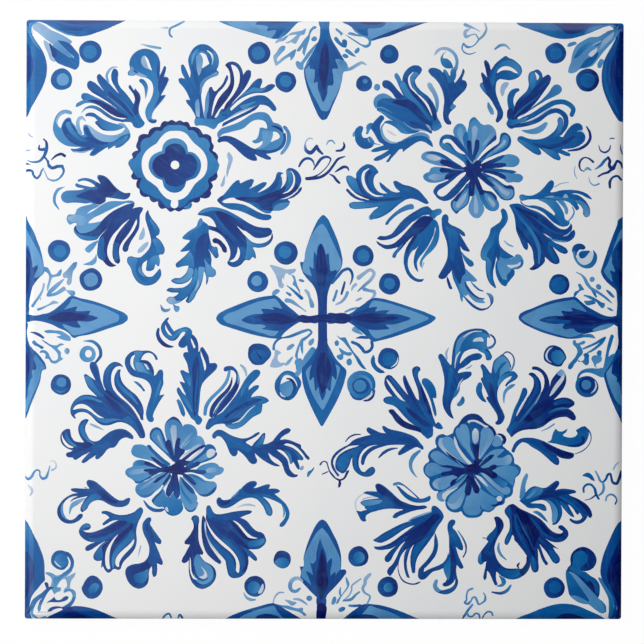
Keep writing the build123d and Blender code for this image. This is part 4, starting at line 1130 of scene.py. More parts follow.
# Leaf with a spiral head, above and right of the bottom right rosette
draw("""
royal indigo 480.4,365 482,363.6 484.6,365.4 488,370 490.4,373 492,366 494,360 498,356.6 502.4,354 506,356.6
  509.4,361.4 511,366! 510.4,371 513,370.8 516,373 517.6,376 515.6,379 511,382 508,384 506,386.6! 505,385.6
  506.6,382 510,378.6 511.6,375.6! 507,377.4 502,381.4 498.6,386.4 497,393 497.6,400 500,406 503,412
  504.4,417 502.6,421.6 499,424.4 495.6,424 494.8,422.4 497,420 497,416 494,410 489.6,403.6 486.4,396.6
  488,396! 485.4,390 482.4,383.6 481,377.4 482.6,377! 482,371
azure sky 493.4,368 495,361 499,357 502.6,355.6 506.6,359 509.4,364.6 510,370 505.6,371.6 501,375.6
  497,381.6 495.6,374
royal cobalt 496,372 499,366 503,362 506.4,361.4 504,365 500.4,369 499.4,376 497.6,384 494,380
cobalt royal 482,366 485,368 489,374 491,378 492,386 487,381 483.6,374
azure cobalt 498,380 502,375.6 507,372.4 512,371.4 515.6,373.6 516.4,376 513,379.4 508,382.6 511,378
  511.8,375.2 506,377.6 500.6,382 497.6,386.4
indigo azure 1 1.4 1.4 1.6 1.8 1.6 502.4,354.2 506.6,351.6 511,353.6 513.8,359 513.2,365 511,370
navy indigo 490,382 493,386 494.6,394 496,402 499,410 500.6,417 497,411 492,402 489.6,393
cobalt royal 475.6,390 476.6,385 479,382 481.4,382.6 482,386 481.6,390.6 483,396 485.8,402 483,401.4 479,398
  476.4,394
sky azure 502.4,397 503.4,391 507,386.6 511,384 515,384 512.6,387 508,390 505.4,394 504.4,399 503.8,403.4
  502.6,400
""")

# Dark leaf of flame-like fingers, above and right of the bottom right rosette
draw("""
cobalt royal 506,430 509,424 511.4,416 514,408 518,400 521,392 522.6,388 524.6,387.2 526.6,389 527,393
  524.6,398 520,405.6 517,412 513,422
indigo navy 506,430 510,424 515,416.6 520,408.4 526,399 531,391 533.4,384 532.6,378 530,375.4 528.2,374.4
  529.4,372.4 533,372.6 537,376 540,381 541,388 540,394! 542.6,389 544,383 543.4,377 540.6,372.4 536,369.8
  531.6,368.8 532,366.6 536,366.2 541,368.4 545.6,373 548.6,380 549.4,386! 551,380 554,375.6 558,371 561,369
  563.4,370.8 565.6,375 566,380 564.4,386 561,391.4 557,396 553.4,399.6! 560,397.4 566,397.2 571,399
  574.2,402.4 574.2,404 571.6,406.4 567.6,408.2! 571,410 574,413.4 575.6,417.4 574.4,420 571.6,419.8 567,417
  561,416.8 555,418.4 549,421.4 543,426 536,428.6 528,429.2 521,430.4 515,433.6 511,436.8 509,434
royal indigo 533,374.6 536.6,378 538.6,384 538.4,390 534,397 528,405 523,411 526,402 532,393 535,386
royal indigo 556,400.6 562,399 568,400 572,402.6 566,403 558,404 551,408
night navy 530,412 538,404 546,399 553,400 550,406 544,412 536,418 529,422 524,420
night navy 550,405 557,404.6 563,403.6 569,405.4 563,406.6 556,407.6 549,410
night navy 545,421 552,414.4 558,411.4 564,411 570,412 573.6,416 574.6,419 569,417 561,415.6 553,417.4
  547,421.6
royal azure 1 2.2 2.2 1.6 0.8 514,428 521,419.6 528,411 534,403 538.4,395
cobalt azure 0.8 2 2.2 2 1 548,413 555,409.4 562,408 568,408.2
navy 1 2 2.4 1.4 514,432.4 524,428.6 536,427 545,421.6
cobalt royal 507,430 510,425 514,421 520,422.6 517,426.6 512,431 510,434.6
haze 0.5 1.4 1.2 0.5 516,416 520,408.6 524.6,400.6 528.6,394
mist 1 1 0.4 540.6,392 538,398 534.6,404
sky mist 556.6,374 559.4,370 562,369.4 565,374 563,378 560.4,376
haze 549.4,396 551.4,390 555,384 560,378 563,374.8 563.8,378 561,383 556,389.4 551.6,394.6
""")

# Leaf shaped like a flying bird, right of the bottom right rosette
draw("""
mist sky 0.8 1.8 1.6 541,430.8 548,427.6 554,423.6
cobalt royal 547,441.8 550.4,440 551.6,436 553.4,431 555.6,428.4 557.4,430.4 560,431.2 564,430.2 567,428.4
  566,431.4 562.6,435 566,436.6 571,437.2 575.6,435.4 577,432.4 575.6,430.4 579,427.6 583,426 586.4,427.8
  588.4,431 587.6,437.6 584.6,443 579,446.4 572,446.9 564,445.4 556,443.4 550,442.6
indigo navy 552,442.6 560,443.6 568,444.8 576,444 582,440.4 581,436.4 583.6,436 584.4,440 580.6,445
  573,446.6 564,445.4 557,443.8
indigo cobalt 1.6 1.4 1 1 1.2 0.8 584,426.4 589,431 590.8,437.4 587.8,445.4 582,450.6 574.4,453.6
royal indigo 511.6,451.6 512.6,446 516,440.8 521,438 528,437.2 536,438.2 544,441 548.6,443.4 555,446.6
  562,449.6 569,451.8 573.6,453.4 573.6,456 570,458.6 565,458.6 560,457.4 556,455.4! 558.4,458.6 559,462.4
  557.6,464.8 555,464.4 550,460.6 545,456 538,450.4 531,446.4 526,442.8 522,442 518.6,444.4 515.4,448.6
  513.4,452.4
navy night 540,440.6 547,443.6 555,447.6 563,450.6 571,453.4 572.6,455.6 568,457.4 561,456.4 553,452 545,447
cobalt royal 527,442.4 534,444.6 541,449.4 549,454.4 556,458.6 557.6,462.6 555.6,463 549,458 541,451
  533,446.4
""")

# Curled line at the right edge, between the right star and the bottom right corner
draw("""
cobalt royal 582,475.4 584.6,473 588,472.2 591,474 593.4,477.6 594.4,480.6 591,479.6 588,477.2 585,476.4
cobalt royal 2 2.2 2.4 2.4 2.4 3 2.6 2 583.4,491.8 583.2,487.6 586,484.4 590.4,484.2 594,487.8 595.8,494
  598.4,498.6
indigo sky 2 1.4 1 595,495 590,498.4 584.4,499.8
sky azure 1.4 2 2.4 1.6 595,470.6 597.6,475.4 600.4,481 603,482.4
cobalt navy 2 2.4 2.6 2.4 2.6 3 3.2 3.2 3.6 602.4,482.2 605.6,478.6 607.4,474.4 609.6,473.4 611,477.6
  612.4,482 616,483.2 618.6,479 621.4,471.6
sky azure 2 2.8 2.6 1.6 602.6,482.6 603.4,487.6 602,492 598.6,495
mist 1.6 1.8 1 613,469 615,465 618.6,461.6
sky cobalt 1.6 2 2 1.6 1.8 605.4,500.4 606.6,496 610.6,494 614.6,496 616.4,500 614.8,503.6
""")

# Twelve-petalled rosette of the bottom right quarter
draw("""
royal cobalt 452,433 454,428 458,423.8 461.4,418.6 465.6,415 470.6,413.3 476.6,413.8 481,416.6 484.6,421.4
  488.6,424.2 492.6,427 495.2,430.8 496.4,434! 499.6,433.4 503,435.4 505.6,439.4 505.2,442.4 502.4,445
  504.6,447.6 508.4,450.6 511.6,453.6 513.8,458.6 514.4,463.2 517.6,464.6 520.4,467.6 520.5,470.6
  518.8,474.4 515.4,477.4 514.4,482.6 512.8,488 512.4,492.8 510,496.2 506.6,497.6 504.8,499 504.6,501.6
  502.4,504.4 499,505.2 496,506.4 493,509.6 488.4,512 483,511.6 481.8,514 478.6,516.6 472.4,517.6 466,516.8
  462.6,514 461,511.2 457,512.2 450.8,511.4 447,508.6 445,504.2 444.8,500.6 441,501.4 437.6,499.2 436.2,496
  437,493 438,491.4 434,490.6 430.6,487.6 428.8,483 428.9,478.6 426,476 423.4,472 423,468 424.8,464
  428.6,461 427.6,456 428.6,452.4 432,449 436.2,446.6 434.9,442.6 435.4,438 438,435 443,433.8 446.4,435.2
  450,434
indigo navy 452.6,433 455,428.6 459,424.6 463,423.4 467,421.4 470,421.4 475,421 479.4,424 481.4,427
  483.4,425.6 488,427 491.6,430.4 494,435 495.6,434.4 495,430.6 492.4,427 488.4,424.4 484.4,421.4
  480.8,416.8 476.6,413.9 470.6,413.4 465.6,415.2 461.4,418.8 458,423.8 454,428
sky azure 430,455.4 432,452 437,450.6 441.4,452.6 447.4,457 454,461.4 460,465 465,467.8 457,467.2
  449.4,465.6 442,464.8 436.6,462.6 432.4,459
sky azure 425.2,467.4 427,464 431,462.5 436,463.2 440.4,465.6 445.4,467.2 452.6,469.6 447,471.6 440,473
  434,475 429.6,476.2 426,473.8 424.6,470.6
sky azure 425.2,472.4 428.6,470.9 433.6,471.4 437,473 432,475.3 428.6,475.4
sky 432,483.4 434,479.8 438.4,477.8 444.6,476.4 452,474.8 460,473 466.6,471.4 461,477.2 455,481.4 449,485.6
  442.4,489.4 436.6,489 433,486.4
mist sky 432.4,484 434,480.6 438,478.4 442,478 438.8,481 437.2,485 438.4,488.6 434.8,487.2
sky azure 436.4,496 438,493 442,490.8 448.4,488.6 443,493.4 441.8,497 444,501 440.6,501.2 437.4,499.2
haze 442,494 445.4,491.2 450.6,489 457,485.8 461,484 455.6,488.8 449.6,493 446.2,496.8 444.6,500.2 442,497.4
mist azure 445.6,490.2 452,486 458.4,482 463,477.8 468,473.2 467,478 463.6,482.4 458.6,486.2 452,489.2
sky 447.4,500.6 449.4,496.4 453.6,492.8 458.6,488.6 463.6,484.4 467.4,480.4 469.2,479.4 467.6,485 465.6,490
  464.4,494.6 462.6,500 460,505 456.6,508.6 452,509 448.6,506.2 446.6,503.4
mist sky 447.2,501.6 449,503.2 452.4,503.4 456,501.2 459.4,496.8 462,493.4 464.6,491.6 463.8,497 461.8,502.4
  459.4,506.6 456,508.6 451.6,508.4 448.4,505.6
sky azure 472,487 473.6,491.4 476.6,493 479.6,488.6 484,491.2 490,495 495.4,498 497.4,501 497,503.2
  492,504.4 494.6,506 491.6,509 487.2,510.6 482.8,508.8 480.8,510.8 478.6,513.6 473,514.9 467,514 463.8,511
  462.8,507.6 464.6,502 466.4,496.4 469.6,494.6 471,491
royal cobalt 0.6 1.2 1.4 479.8,505 480.8,508.4 482.6,511.4
indigo navy 490.6,504.8 495,503.8 498.4,501.6 501.6,498 502,502 499.4,504.8 496,505.8 493.4,506.4
haze oval 498.9,498.4 2.8,2.8
sky azure 476.6,474.8 480.6,476.2 486,481 492,486.6 498,491.4 503.6,495.4 503,497.2 499.4,495.4 494,495.2
  489,491.6 484,485.8 480,481
haze 1 3 2.4 0.6 475.6,475.2 479.4,477.8 483.4,481.8 487.4,486
haze mist 471.6,476.6 474.2,477.8 477.6,482 480.2,487 479.8,489.2 476.2,486.2 473.2,481.8
mist sky 480.2,472.6 484,473.3 488.4,476.4 493,480.8 498,484.8 503,487.4 506.4,486.4 509.2,487.8 510,490.6
  508.6,493.2 505,494.2 500,491.6 494,486.8 488,481.2 483,475.8
cobalt azure 492,478.8 497,477 502.6,479.8 507,483.6 505.6,486.2 500,485.4 495.4,481.8
sky azure 491.6,469.6 496,467.4 502,465.8 509,465.3 514,466.4 517.6,469 518.2,472 515.8,475.6 513.8,479
  512.4,485 508.8,482.4 503.8,478.4 497.4,474
sky azure 496,472 501,473.4 506,476.4 507.6,479 503,478 498.6,475.4
sky 476.4,467.6 481,460.6 487,454 492,450.2 498,448.7 504,449.4 500,453.4 496,456.4! 498.6,456.8 503,455.8
  508.4,453.8 511.4,457 511.2,461.6 508,464.6 500,465 492,465.5 486,467.8 481,468
royal cobalt 497.4,457.4 501,453.8 505.6,450.9 510.4,453.2 505.4,455.6 501,457.4
sky mist 502.6,459.8 505,456 508.4,454.4 511,457.6 510.6,461.6 507.6,464 504,463.4
navy night 478.6,466.8 482,461.6 486.6,457 491,454.3 493.8,454.5 492,457.6 487.4,461.6 482,465.4
sky 493.4,436.4 496,435.4 499.6,437 501.6,440.4 501.2,444.2 498,446 494.4,446.2 491.6,444 493.4,440
haze 0.5 1.4 1 495.2,434.7 499.4,435.8 502.2,440
night navy 1 2.6 3 1.4 498,433.4 502,435 504.6,438.8 503.6,443.6
sky mist 480.8,431 483.2,427.4 487,426.9 490.4,429 493,433.2 493.4,437.6 491.4,442.4 488,447.4 484,452.8
  480.6,457.6 478.3,459.8 478.5,452 479.5,444 480.3,437
sky 480.9,434.6 482.4,430 485.2,429.2 487.4,433.4 486.2,440 483.2,448 479.8,455.6 479,449 480.1,441
sky 458.4,433 459,427.4 461.4,424 464.4,423.7 467.4,426.4 468.9,432 469.5,440 470.2,448 473,455 474.8,461
  470.6,456 466,449.4 461.6,442
sky azure 455.6,429.6 457.4,427 458.6,428.6 459,435 461.6,442 466,449.4 463,447 459,441.4 456,435
royal cobalt 467.6,423 471,422.3 475.6,423.2 478.6,426.4 479.8,431 478.8,436 479,444! 478,430 475,426.6
  472.4,430 471.6,436 471.8,443.6 470,440 469.4,432
haze mist 475,427.8 477.4,429.8 478.3,435.8 477.5,441 475,443.6 473,441.8 471.8,436 472.5,430.4
night navy 472,443.4 475,444.6 478,443.6 478.6,450 478.2,457 476.6,461.6 474.6,456.4 473,450
haze 467.2,421 470.8,419.6 476,419.9 481,422.4 484.8,424.8 488,426 485.6,427.4 482.4,425.6 478,423 474,421.5
  470.2,421.7 468.2,423
sky 440.2,440.8 443,437.4 448,436.4 452.6,439 454.8,443.6 458,449.6 463,456 468,461.6 471.8,465.2! 466,463.8
  459,460.6 452,456.2 446,451 441.4,446
mist haze 438,441.4 439.6,438 442.6,437.6 441.4,441 443,445.6 447,450.4 452,454.8 458,459.4 451,456.6
  445,452.8 440.4,448.2 438.3,445
haze 453.9,436 455.8,439.6 458,446 462,452 467,458.4 471.4,463 472.4,465.6 469.4,464.6 465,460.6 460,454.4
  456.2,448 454,442
navy night 445,450.6 451,454.8 458,459.6 466,464.4 473,464 473.6,460 477,456.4 479.4,459 482.4,459.4
  479,464.4 481.6,467.4 488,466.8 493,464.2 496,464.8 496,467.8 492,470.2 496.4,473.4 496.6,476.8 493,478.2
  488,475.8 483,472.2 479,472.4 477.2,474.4 473,473 474,478 477.2,484.4 479.4,489.6 477.6,493.2 474.6,492.6
  472.6,488 471.2,484.6 470.7,490 469.4,494.4 466,494.8 464.4,492.4 465.2,486 466,481 461,485.6 455.4,489.8
  460,484 465,478.4 467,474 462,474.4 457,479 451,485.6 449.6,484 451.4,480.4 457,477 453,474.8 446,475
  440.6,474.6 441,472.6 447,471 451,469.8 452,468 446,467.4 440,466 446,464.8 454,466 461,467.4 466,467.2
  460,464 452,458.6
ink night oval 472,467.6 6,4
sky 0.5 0.9 0.5 455.6,459.4 459,462.8 463.4,466.4
""")

# Leaf of pointed fingers and an open leaf, left and below the bottom right rosette
draw("""
haze 1 1.6 2 1.4 364,493.4 358.4,496.6 355.2,502 356,509.4
mist 1 1 0.6 362,499.2 367,497.4 376,496.6
royal indigo 363,492.6 366,491.1 371,491 376.6,491.2! 375.4,488 375,485 376.6,483.3 379,483.2 383,485.2
  388,489 393,493.6 397,497.4 400,500 405,502.2 411,504.4 418,505.4 425.6,505.6 427,506.9 424.6,508.4
  419,509.4 413,510.6 406,513 399,515.8 394.6,518 392.3,517.2 394,513.6 399,510.8 402.6,509.4 397,508.7
  390,508.4 383,509 376,510.8 370,512.6 366,515.4 365.2,518 366,520.4 364,521.4 361.2,520.4 359,517
  357.4,513.6 356,510.4 360,511 364,510 368,509! 366,507.4 363.6,505.8! 361,504 360,502.4 362,500.6
  366,499.4 372,498.6 379,497.9! 374,496.2 368,494.4
navy indigo 376,485.4 377.6,484 381,485.6 386,489.4 392,494.4 398,499.6 406,503.4 414,505.4 424,506
  420,507.4 412,507.8 404,507.6 396,503.6 388,498.6 381,494.6 377.4,490
azure sky 360.6,502.6 364,500.6 370,499.6 377,499.4 382,500.2 379.6,502.8 375,504.2 368.6,505.4 364,505.2
cobalt royal 364,507.4 371,505.2 379,503.6 384,501 390,502 394,505.2 388,507.2 378,508.4 370,510.4
azure indigo 3 2.8 1.6 1.4 1.2 1.4 1.8 394,484 398,483 403,484.8 408,488.6 413,493 417,496.8 419,499
royal cobalt 396,485 399,486.4 403,490 408,494 413,496.8 418,498.2 423,498 427,496.4 429.4,495.4 430.6,497.4
  429.4,500 425,502 419,502.6 413,501.8 407,499 402,494.6 399,490.6
""")

# Wide fan of long fingers, below and left of the bottom right rosette
draw("""
royal indigo 431,508 432,505.8 434.4,505.4 439,508.4 442,512 443.4,516.4 442,520 439,524 436,529 434.4,533
  431,538 427,543.6 422,550 417.4,557 415.4,563 415,569 414.4,572.6 412.4,573 411,569 410,562 410.2,555
  411.6,549 413.4,544! 410,549 407.6,556 406.4,563 407,569 408.6,575 409.4,577.6 407.4,577.4 405,573
  403.6,566 403.4,559 404.6,552 406.6,548! 403,552 400,557 398.4,563 398,566 398.6,571 401,577 404.4,580.6
  409,582.6 414,583 418.6,581.4 420.6,581.2 418,583.4 413,584.6 407,583.6 401.6,580.4 398.6,575 397.4,569
  397.4,564.6! 394.6,569 391.6,574 390,575.6 387.6,574 386.6,571.6 388,568 392,564 396,557 399.4,549.4
  403,543.6 406,540! 401,544 397,549 393,555 390,560.4 387,562 384.6,560.4 384.2,558 387,553.6 391,549.4
  396,545.8! 391,548.2 385,549.4 378,549.6 374.6,548.4 373.6,546.6 378,546.2 384,545 390,542.6 396,538.6
  402,534 408,529.6 414,525! 407,527.4 400,531.6 393,536.6 386,540.6 380,542.6 375.6,541.6 372.8,540.2
  377,537 382,533.4 389,529.6 396,525.8 403,522.6 411,520.4! 408,520.6 412,517.4 419,514.6 426,512 431,510.4
navy indigo 412,529 418,525 426,520 433,514.4 437,513 440,516 436,521 431,527.6 426,534.4 420,540.4
  413,544.4 406.6,548.4 402,552 405,545 404.4,540.6 409,535 402,537.6 395,543 387,546.2 379,548 386,545.4
  393,541.4 400,536 407,531.4
cobalt royal 429,536 424.6,542 419.6,550 415.6,556 413.6,563 413.4,569 411.4,561 412,553 415.4,546 421,541
royal cobalt 375,540.4 381,536 389,531.6 397,528 405,525 410.6,523.4 404,527.2 397,532 390,536.6 384,540.2
  379,541.6
night navy 0.6 1.8 2.2 1.6 434,512 428,520.6 420,529.4 411,537
sky mist 0.6 1.6 1.8 1 409,519.8 416,516.6 424,513.6 431,511.2
royal indigo 434.8,533 436.8,537.4 437.8,543 437.4,549 435.4,555 431,561 427,565.6 423.6,569.4 423.6,571.6!
  427,569.6 432,567.4 438,565 443,562 446,558 448,552! 449,557 449.6,562 445,566.6 439,569.6 432,571.8
  428.6,575 424,579 420.4,579.4 417.8,576.8 417.6,573 418.4,568.6 421,565.6 425,561.4 429,556.4 432.4,550.4
  433.6,544.6 433.8,539
""")

# Leaf that hangs below the bottom right rosette and curls at its foot
draw("""
sky azure 3.4 4.4 4.4 3 1 436,580.6 434.6,585.4 437.4,590 442,591.4 447,591.4
royal indigo 447,527 447.6,523 450,519.8 452.4,519 455,520.6 454.6,523.6 452.4,526.6 456,531.4 459,536.6
  461.4,542 462.8,547.6 462.2,550 459,549.4 455.6,546.4! 457,552 459,557.6 461.6,563 463,567.6 460.6,568.6
  457.6,566 456.4,564.6! 455.8,570 456.6,576 457.8,581 456.6,586.4 453,591 448,593.6 443,594 438,592
  441,590.4 446,589 451,587 454.4,583 455,578.6! 452.6,582.4 449.4,585 445.6,586.2 443,585.8 442,584
  445,581.6! 446.6,578 444,572 443.2,567 444.6,563.4 447.6,559.4 448.8,552 448.6,545 448.4,536
cobalt azure 450,556 450.2,563 450,570 449.6,576 448,580 446,577 443.8,572 443,567.4 445.4,563 448,559.6
navy indigo 451,545 454,553 455.6,561 455.4,568 453.6,575 450,582 446,586 443,585.6 442.2,584 446,582
  449.4,577 450.4,570 450.2,560
cobalt royal 451,528 455,532.6 459,540 461,547 458,547.4 454.6,543 452.6,538
cobalt royal 1 2.8 2.4 1 441,592 446,591.8 451,589.6 455,585
azure indigo 1 1.6 2 1.6 1.4 457.6,530.4 462,537 465.4,544.6 465.4,551.6 462.8,556.8
""")

# Darkest fan, between the bottom right rosette and its corner
draw("""
navy indigo 504.4,512.6 504.2,510 506.4,506.4 510,504 513,503.6 516,505.4 520,508.4 524.6,510.4 530,513
  536,516 541,519.4 545,523.6 549,528.4 553,531.4 557,533 561,532.8 562.6,531.4 560,529.4 557.8,527
  558.6,525.2 561.4,524.8 564.4,527 567.4,530.4 568.2,534 566,538.4 562.4,541 557.6,542 552,541.4 547,539.4
  545,538.2! 549,541.4 553.4,545! 557,547.6 559.2,548.8! 556,548 552.6,547! 555,551.4 558,555 559.6,558.6
  558.6,562 555.6,563.4 552.4,561.6 550,558 547,553 543,548 539,543.6! 541,548.6 543,554.4 545.4,559.6
  547.6,563.6 546.2,565 543.4,562.4 540.6,557 538.8,551 537.4,548! 537.8,555 538,562 538.4,568 537,571.4
  534,572.2 531.6,570 530.2,565 529,560 526.6,556 523,550.6 519.6,546.4 516.6,542.4 514.4,540.4 513,535.4
  512,534.4! 510.6,538 508.6,542.4 506.4,544.8 504.2,543 504.2,540 506,535.4 508.6,530.4 509.4,524.4
  508.6,519 506,515
royal cobalt 505,512 506,507.6 509.6,506 511,511 511,518 511.6,526 511,533 508.6,540 506.6,543.6 504.8,541.6
  507.6,535 509.8,528 510,520 508,515.6
ink night 516,508 524,512 532,518.6 538,526 540,534 536.6,540 534,548 534.6,557 531,552 527,542 521,531
  517.6,520
royal indigo 1.6 3 3.4 3 2 514.6,515 516,527 521,539 526.6,549 532,560
royal indigo 1 2 2.2 1.6 516,513 522,526 528.6,538 533,549
royal indigo 1.4 3 3.4 3.4 2.6 1.6 531,518 537,526 543,533 549,537.4 556,539.4 562,538
night navy 540,521 545,527 550,531.6 556,534 563,533.4 560,536.6 554,537 547,534 541,528
cobalt royal 549,549 553,551 557,556 558,560 555.6,562 552,559 549.4,554
cobalt royal 1.4 4 4 2 532,556 533.6,563 534.4,570
""")

# Hooked leaf with a broad ring, below the bottom right rosette
draw("""
mist 1.6 2 1 482.6,537.4 485,538 487,538.6
sky azure 1.4 3 2.4 1 498.6,542.6 498,548.6 500.6,554.4 506,559.6
cobalt azure 498.4,574.8 501.6,576.4 505,579 505.6,582.6 503.6,585.4 500,586.6 496,585.6 498.6,584.4
  501,583.4 500.6,580
navy indigo 494.2,519.4 493.6,517.6 496.6,516 500.2,517.8 502.8,521.6 503.4,526 501.4,531 498,536.4
  495.6,541.6 494.2,547 494.8,553 496.8,559 500.4,564 505,567.4 510,568.2 516,568 521.6,568 524.4,565
  526,560 525.6,555.4! 527.4,560 530,565! 527.6,570.6 523,575.4 517,578.4 511,579.2 505,577.8 500,575
  496,571.4 495.6,575 496,580 497,584.4 495.4,585.2 493,582 491,577 488,571.6 486.6,570.4! 486.6,574
  485.6,578.6 484.4,579.9 483,578 483.4,573 484.8,567.6 485.8,561! 483,562.4 480.6,564.4 478,562.6
  477.4,558.6 478.4,554.6 481,550.4 485,545 488,541! 486.2,539.4 486.4,537 489,533.6 493,529.6 495.4,525.6
  495,522
azure cobalt 480.6,552 481,557 481.4,561 483.6,562 481,564.2 478.4,562.4 477.6,558.6 478.6,555
royal cobalt 499,567.8 505,569.6 511,570 517,569.4 521,570 519,574.6 514,577.8 508,578.2 502,575.6 499,571.4
royal indigo 488,534.6 493,530.6 496.4,526 497,531 493,539 489,548 484,554 484,548 488,541 487,538
night navy 522,567.6 525.4,563 526.6,556 529,560 529.8,565 526.6,571.4 522,575 519,571
night navy 1 2.2 2 1 519.2,562.4 517.2,565.4 518.6,568
indigo azure 1.4 2.6 3.2 3.2 2 491.4,591.6 496,592.6 501,592.8 506.4,590.4 510.4,585
""")

# Curled line at the bottom edge, under the bottom right rosette
draw("""
sky azure 2.4 2 1.8 1.8 2 2.6 2 472,588.2 468,590 466.2,595 466,600 464.2,602.2 467.6,603.4 470.6,600.6
sky azure 1.6 2 2.2 2.4 2.2 1.6 2 2.4 1.6 1 470.6,600.6 472.6,597.2 474.6,596.8 476.4,600 478.4,604
  482,602.4 484.6,600 485,597 484.4,594.6 483,592.4
sky cobalt 2.4 2.6 2.6 2.4 1.8 472,604.4 469.4,607.6 466.8,611 464.6,614.6 462.6,618
sky azure 2.6 2.2 2 2 2 1.8 466.4,612.8 468.8,616 472,616.2 475.4,613 478,613.6 479.6,617.8
royal sky 1.2 1.4 1.8 2 2 482.2,618 484.6,613.6 488,611.2 491,612 492.4,615
""")

# Waves and leaf bud in the bottom right corner
draw("""
royal indigo 622.6,519.4 620.4,521 618,522.6 615.6,526 612.6,531.6 609.4,538.6 606.4,545.6 603.4,553
  601.4,560 600.2,567 600,573 601.4,578.6 604,584 607.4,589.4 610.6,594.6 612.6,600 612.4,607 610.6,613.6
  609,619.6 622.6,619.6
navy night 622.6,532 619.6,538 616.6,545 613,553 609.4,561 607.4,569 606.6,576 608.4,583 611.6,590 614.6,597
  616.8,604 617,612 615.4,620 622.6,620
ink night 622.6,545 620,551 616,559 612.4,567 611.2,575 612.4,582 616,590 619,598 620.6,607 621,619
  622.6,619
azure cobalt 597.8,577 600.6,577.6 603,582 606.6,587.6 610.4,592.6 613.2,598.6 614.2,604.6 613.4,611
  611.4,616 608.4,618 608.4,611 608.4,604 607.6,597.6 604.6,591 601,584.4 598.6,580.4
royal cobalt 514,619.8 521,616 530,612.6 540,608.4 549,605.4 557,603.6 565,603.2 573,604.2 581,606.8
  589,610.4 597,614 604,618 606,619.8
navy night 552,619.8 558,615.6 564,613.2 570,613 577,615 584,617.6 590,619.8
ink night 558,619.8 563,616.6 570,616.4 578,618 583,619.8
navy indigo 583,546.4 589,548.4 594,553 596.2,559 595,564.6 591,569 585,570.8 579,570.4 585,571.6 590,575.4
  595.4,578.6 599,584 599.4,590 598.4,596 597,598 593,596 588,590 581,583.4 575,577 570.4,572.6 566,570!
  567.4,567.2 570,564.4 569.8,559 571.4,553 576.4,548.2
cobalt royal 572.4,560 573,554.4 577,551.2 582,550.6 586,553.4 587.4,558 586,562.6 582,565.4 579,568!
  583,571.4 590,575.6 596,580.6 598.4,586 597.6,593 594,591.4 590,584.4 584,578.4 577,573.4 571,570
  568.6,568 571.8,565
night navy 589,580.4 591.4,582 594,587 595,593 590,589.4 586,584.6
royal cobalt 566.4,569.8 569,572 574,576.6 580,583 586,589.4 590,595 591,602.6 586,601 580,597.6 575,595.8
  570,595.6 567.4,588 566,578
cobalt royal 566.4,571 570,576 576,583.4 582,590.6 586.6,596.6 589,602 583,599.4 577,596.6 571.6,595.4
  568,589
sky azure 569.8,571.4 574.4,573.4 579.4,578 585,583.6 591,590 597,596.6 602,602 605,607 605.6,610.4
  603.4,613 600,612.6 595,609.4 590,605.4 586.4,603! 588.6,600.6 586,595.4 581,588.4 575.4,580.4
sky azure 570,595.8 575,595.2 580.6,597.2 586,600.4 589.6,603.4 585,603.8 579,602.4 574,599.6
azure cobalt 1 2 1.6 600.4,600 604.6,606 605,611.4
""")

# Dots of the bottom right quarter
draw("""
indigo royal oval 388.4,358.2 10.8,10.8
cobalt oval 389.2,359.2 7,7
haze white 0.4 1.4 1.2 0.4 397.7,357 397,361.4 394.4,364.8 390.6,367.2
navy royal oval 553.7,587.5 10.6,10.6
royal cobalt oval 554.7,586.9 6.4,6.4
""")

# Fan of straight fingers, above and left of the bottom right rosette
draw("""
royal indigo 427.6,438.6 424,436 420,432.4 416,431 410,429.6 404,427.6 399,424.6 395,420.8 392,416 389,411.6
  388,410.2 390,409 392.6,409 396,412.4 400,416.6 404,420.4 409,423 414,425! 410,422 405,417.4 400,411.6
  395.6,407 392,405 388,404 384.6,402.6 382.9,400 383.6,398.2 386,396.6 390,396 392,396! 389,392.6 385.6,388
  384,383.6 384.4,379 386,375.8 388.4,374.6 391,375.4 394,378.4 398,383 402,388 405,391.6 408,395!
  405.6,389.6 403.6,384 402.6,379 403,376 404.4,374.9 406,377.4 408,382 411,388 414,394 417,399 418.6,400!
  418.4,396 417.6,390 415.6,384 413.4,378 412,373 412,369 414,366.6 417,366 419.6,367.2 420.2,369.8
  418.4,371.8 417.8,374.6 418.6,379 421,384 423.6,390 426,396 428.6,402.4 430.8,409 432,414 434,419.6
  436,423.4 437.4,421.6 439.6,422.8 442,426 442.8,428 441,429 437.6,428.6 434.6,427 433.2,426 433,431
  432,436 430,437.4
cobalt royal 384,400 387,397.4 392,396.6 396,396.6 402,400.4 406,403.4 411,411 418,418.6 424,424 428,428
  424,428.6 418,426 411,420.6 404,413.4 397,406.6 390,404 385.6,402.4
navy indigo 405.6,406.6 410,409 416,413.6 422,418.4 427,422 431.4,425.8 428,426.6 423,425.4 417,421
  411,415.6 407,411
night navy 420.6,386 423,390 425.4,396 428,402.4 430.2,409 431.8,415 430,414.6 427,409 423.6,401 421.4,393
navy night 388.6,410.4 390.4,409.4 393,410 397,414.4 402,419.2 407,422.4 414,425.4 420,428.6 421,431.6
  415,430 408,428.6 402,426 397,422 393,416.6
navy indigo 1 2.6 3 2.4 0.6 404.4,378 408,388 413,398 419,408 425,417
cobalt royal 1 3 2.4 1 389,376.6 394,382.4 400,390 405,397
cobalt royal 2 4 3 1.4 416.6,367.8 415.4,373 417,379.6 419.6,387
royal cobalt 0.8 2 2 0.8 418.6,400 422,408 426,414.6 430,421
white 386.2,378.8 388.4,380.6 392,385.2 396,390.6 400,395.4 403.6,400 405,401.2! 401,399.6 397.6,396.8
  394,392.4 390,386.6 387,381.6
cobalt royal 421.4,380.6 422.6,378.4 425,377.8 428.6,379.2 432,382.6 434.6,387 436,392 436.2,396 435.6,398
  434,398! 433,397.4 433.4,401 435,406 436,411 436,415 435.2,416.2 433.4,413 432,408 430.6,402 428.4,396
  426,390.6 423.4,386 421.6,383
""")

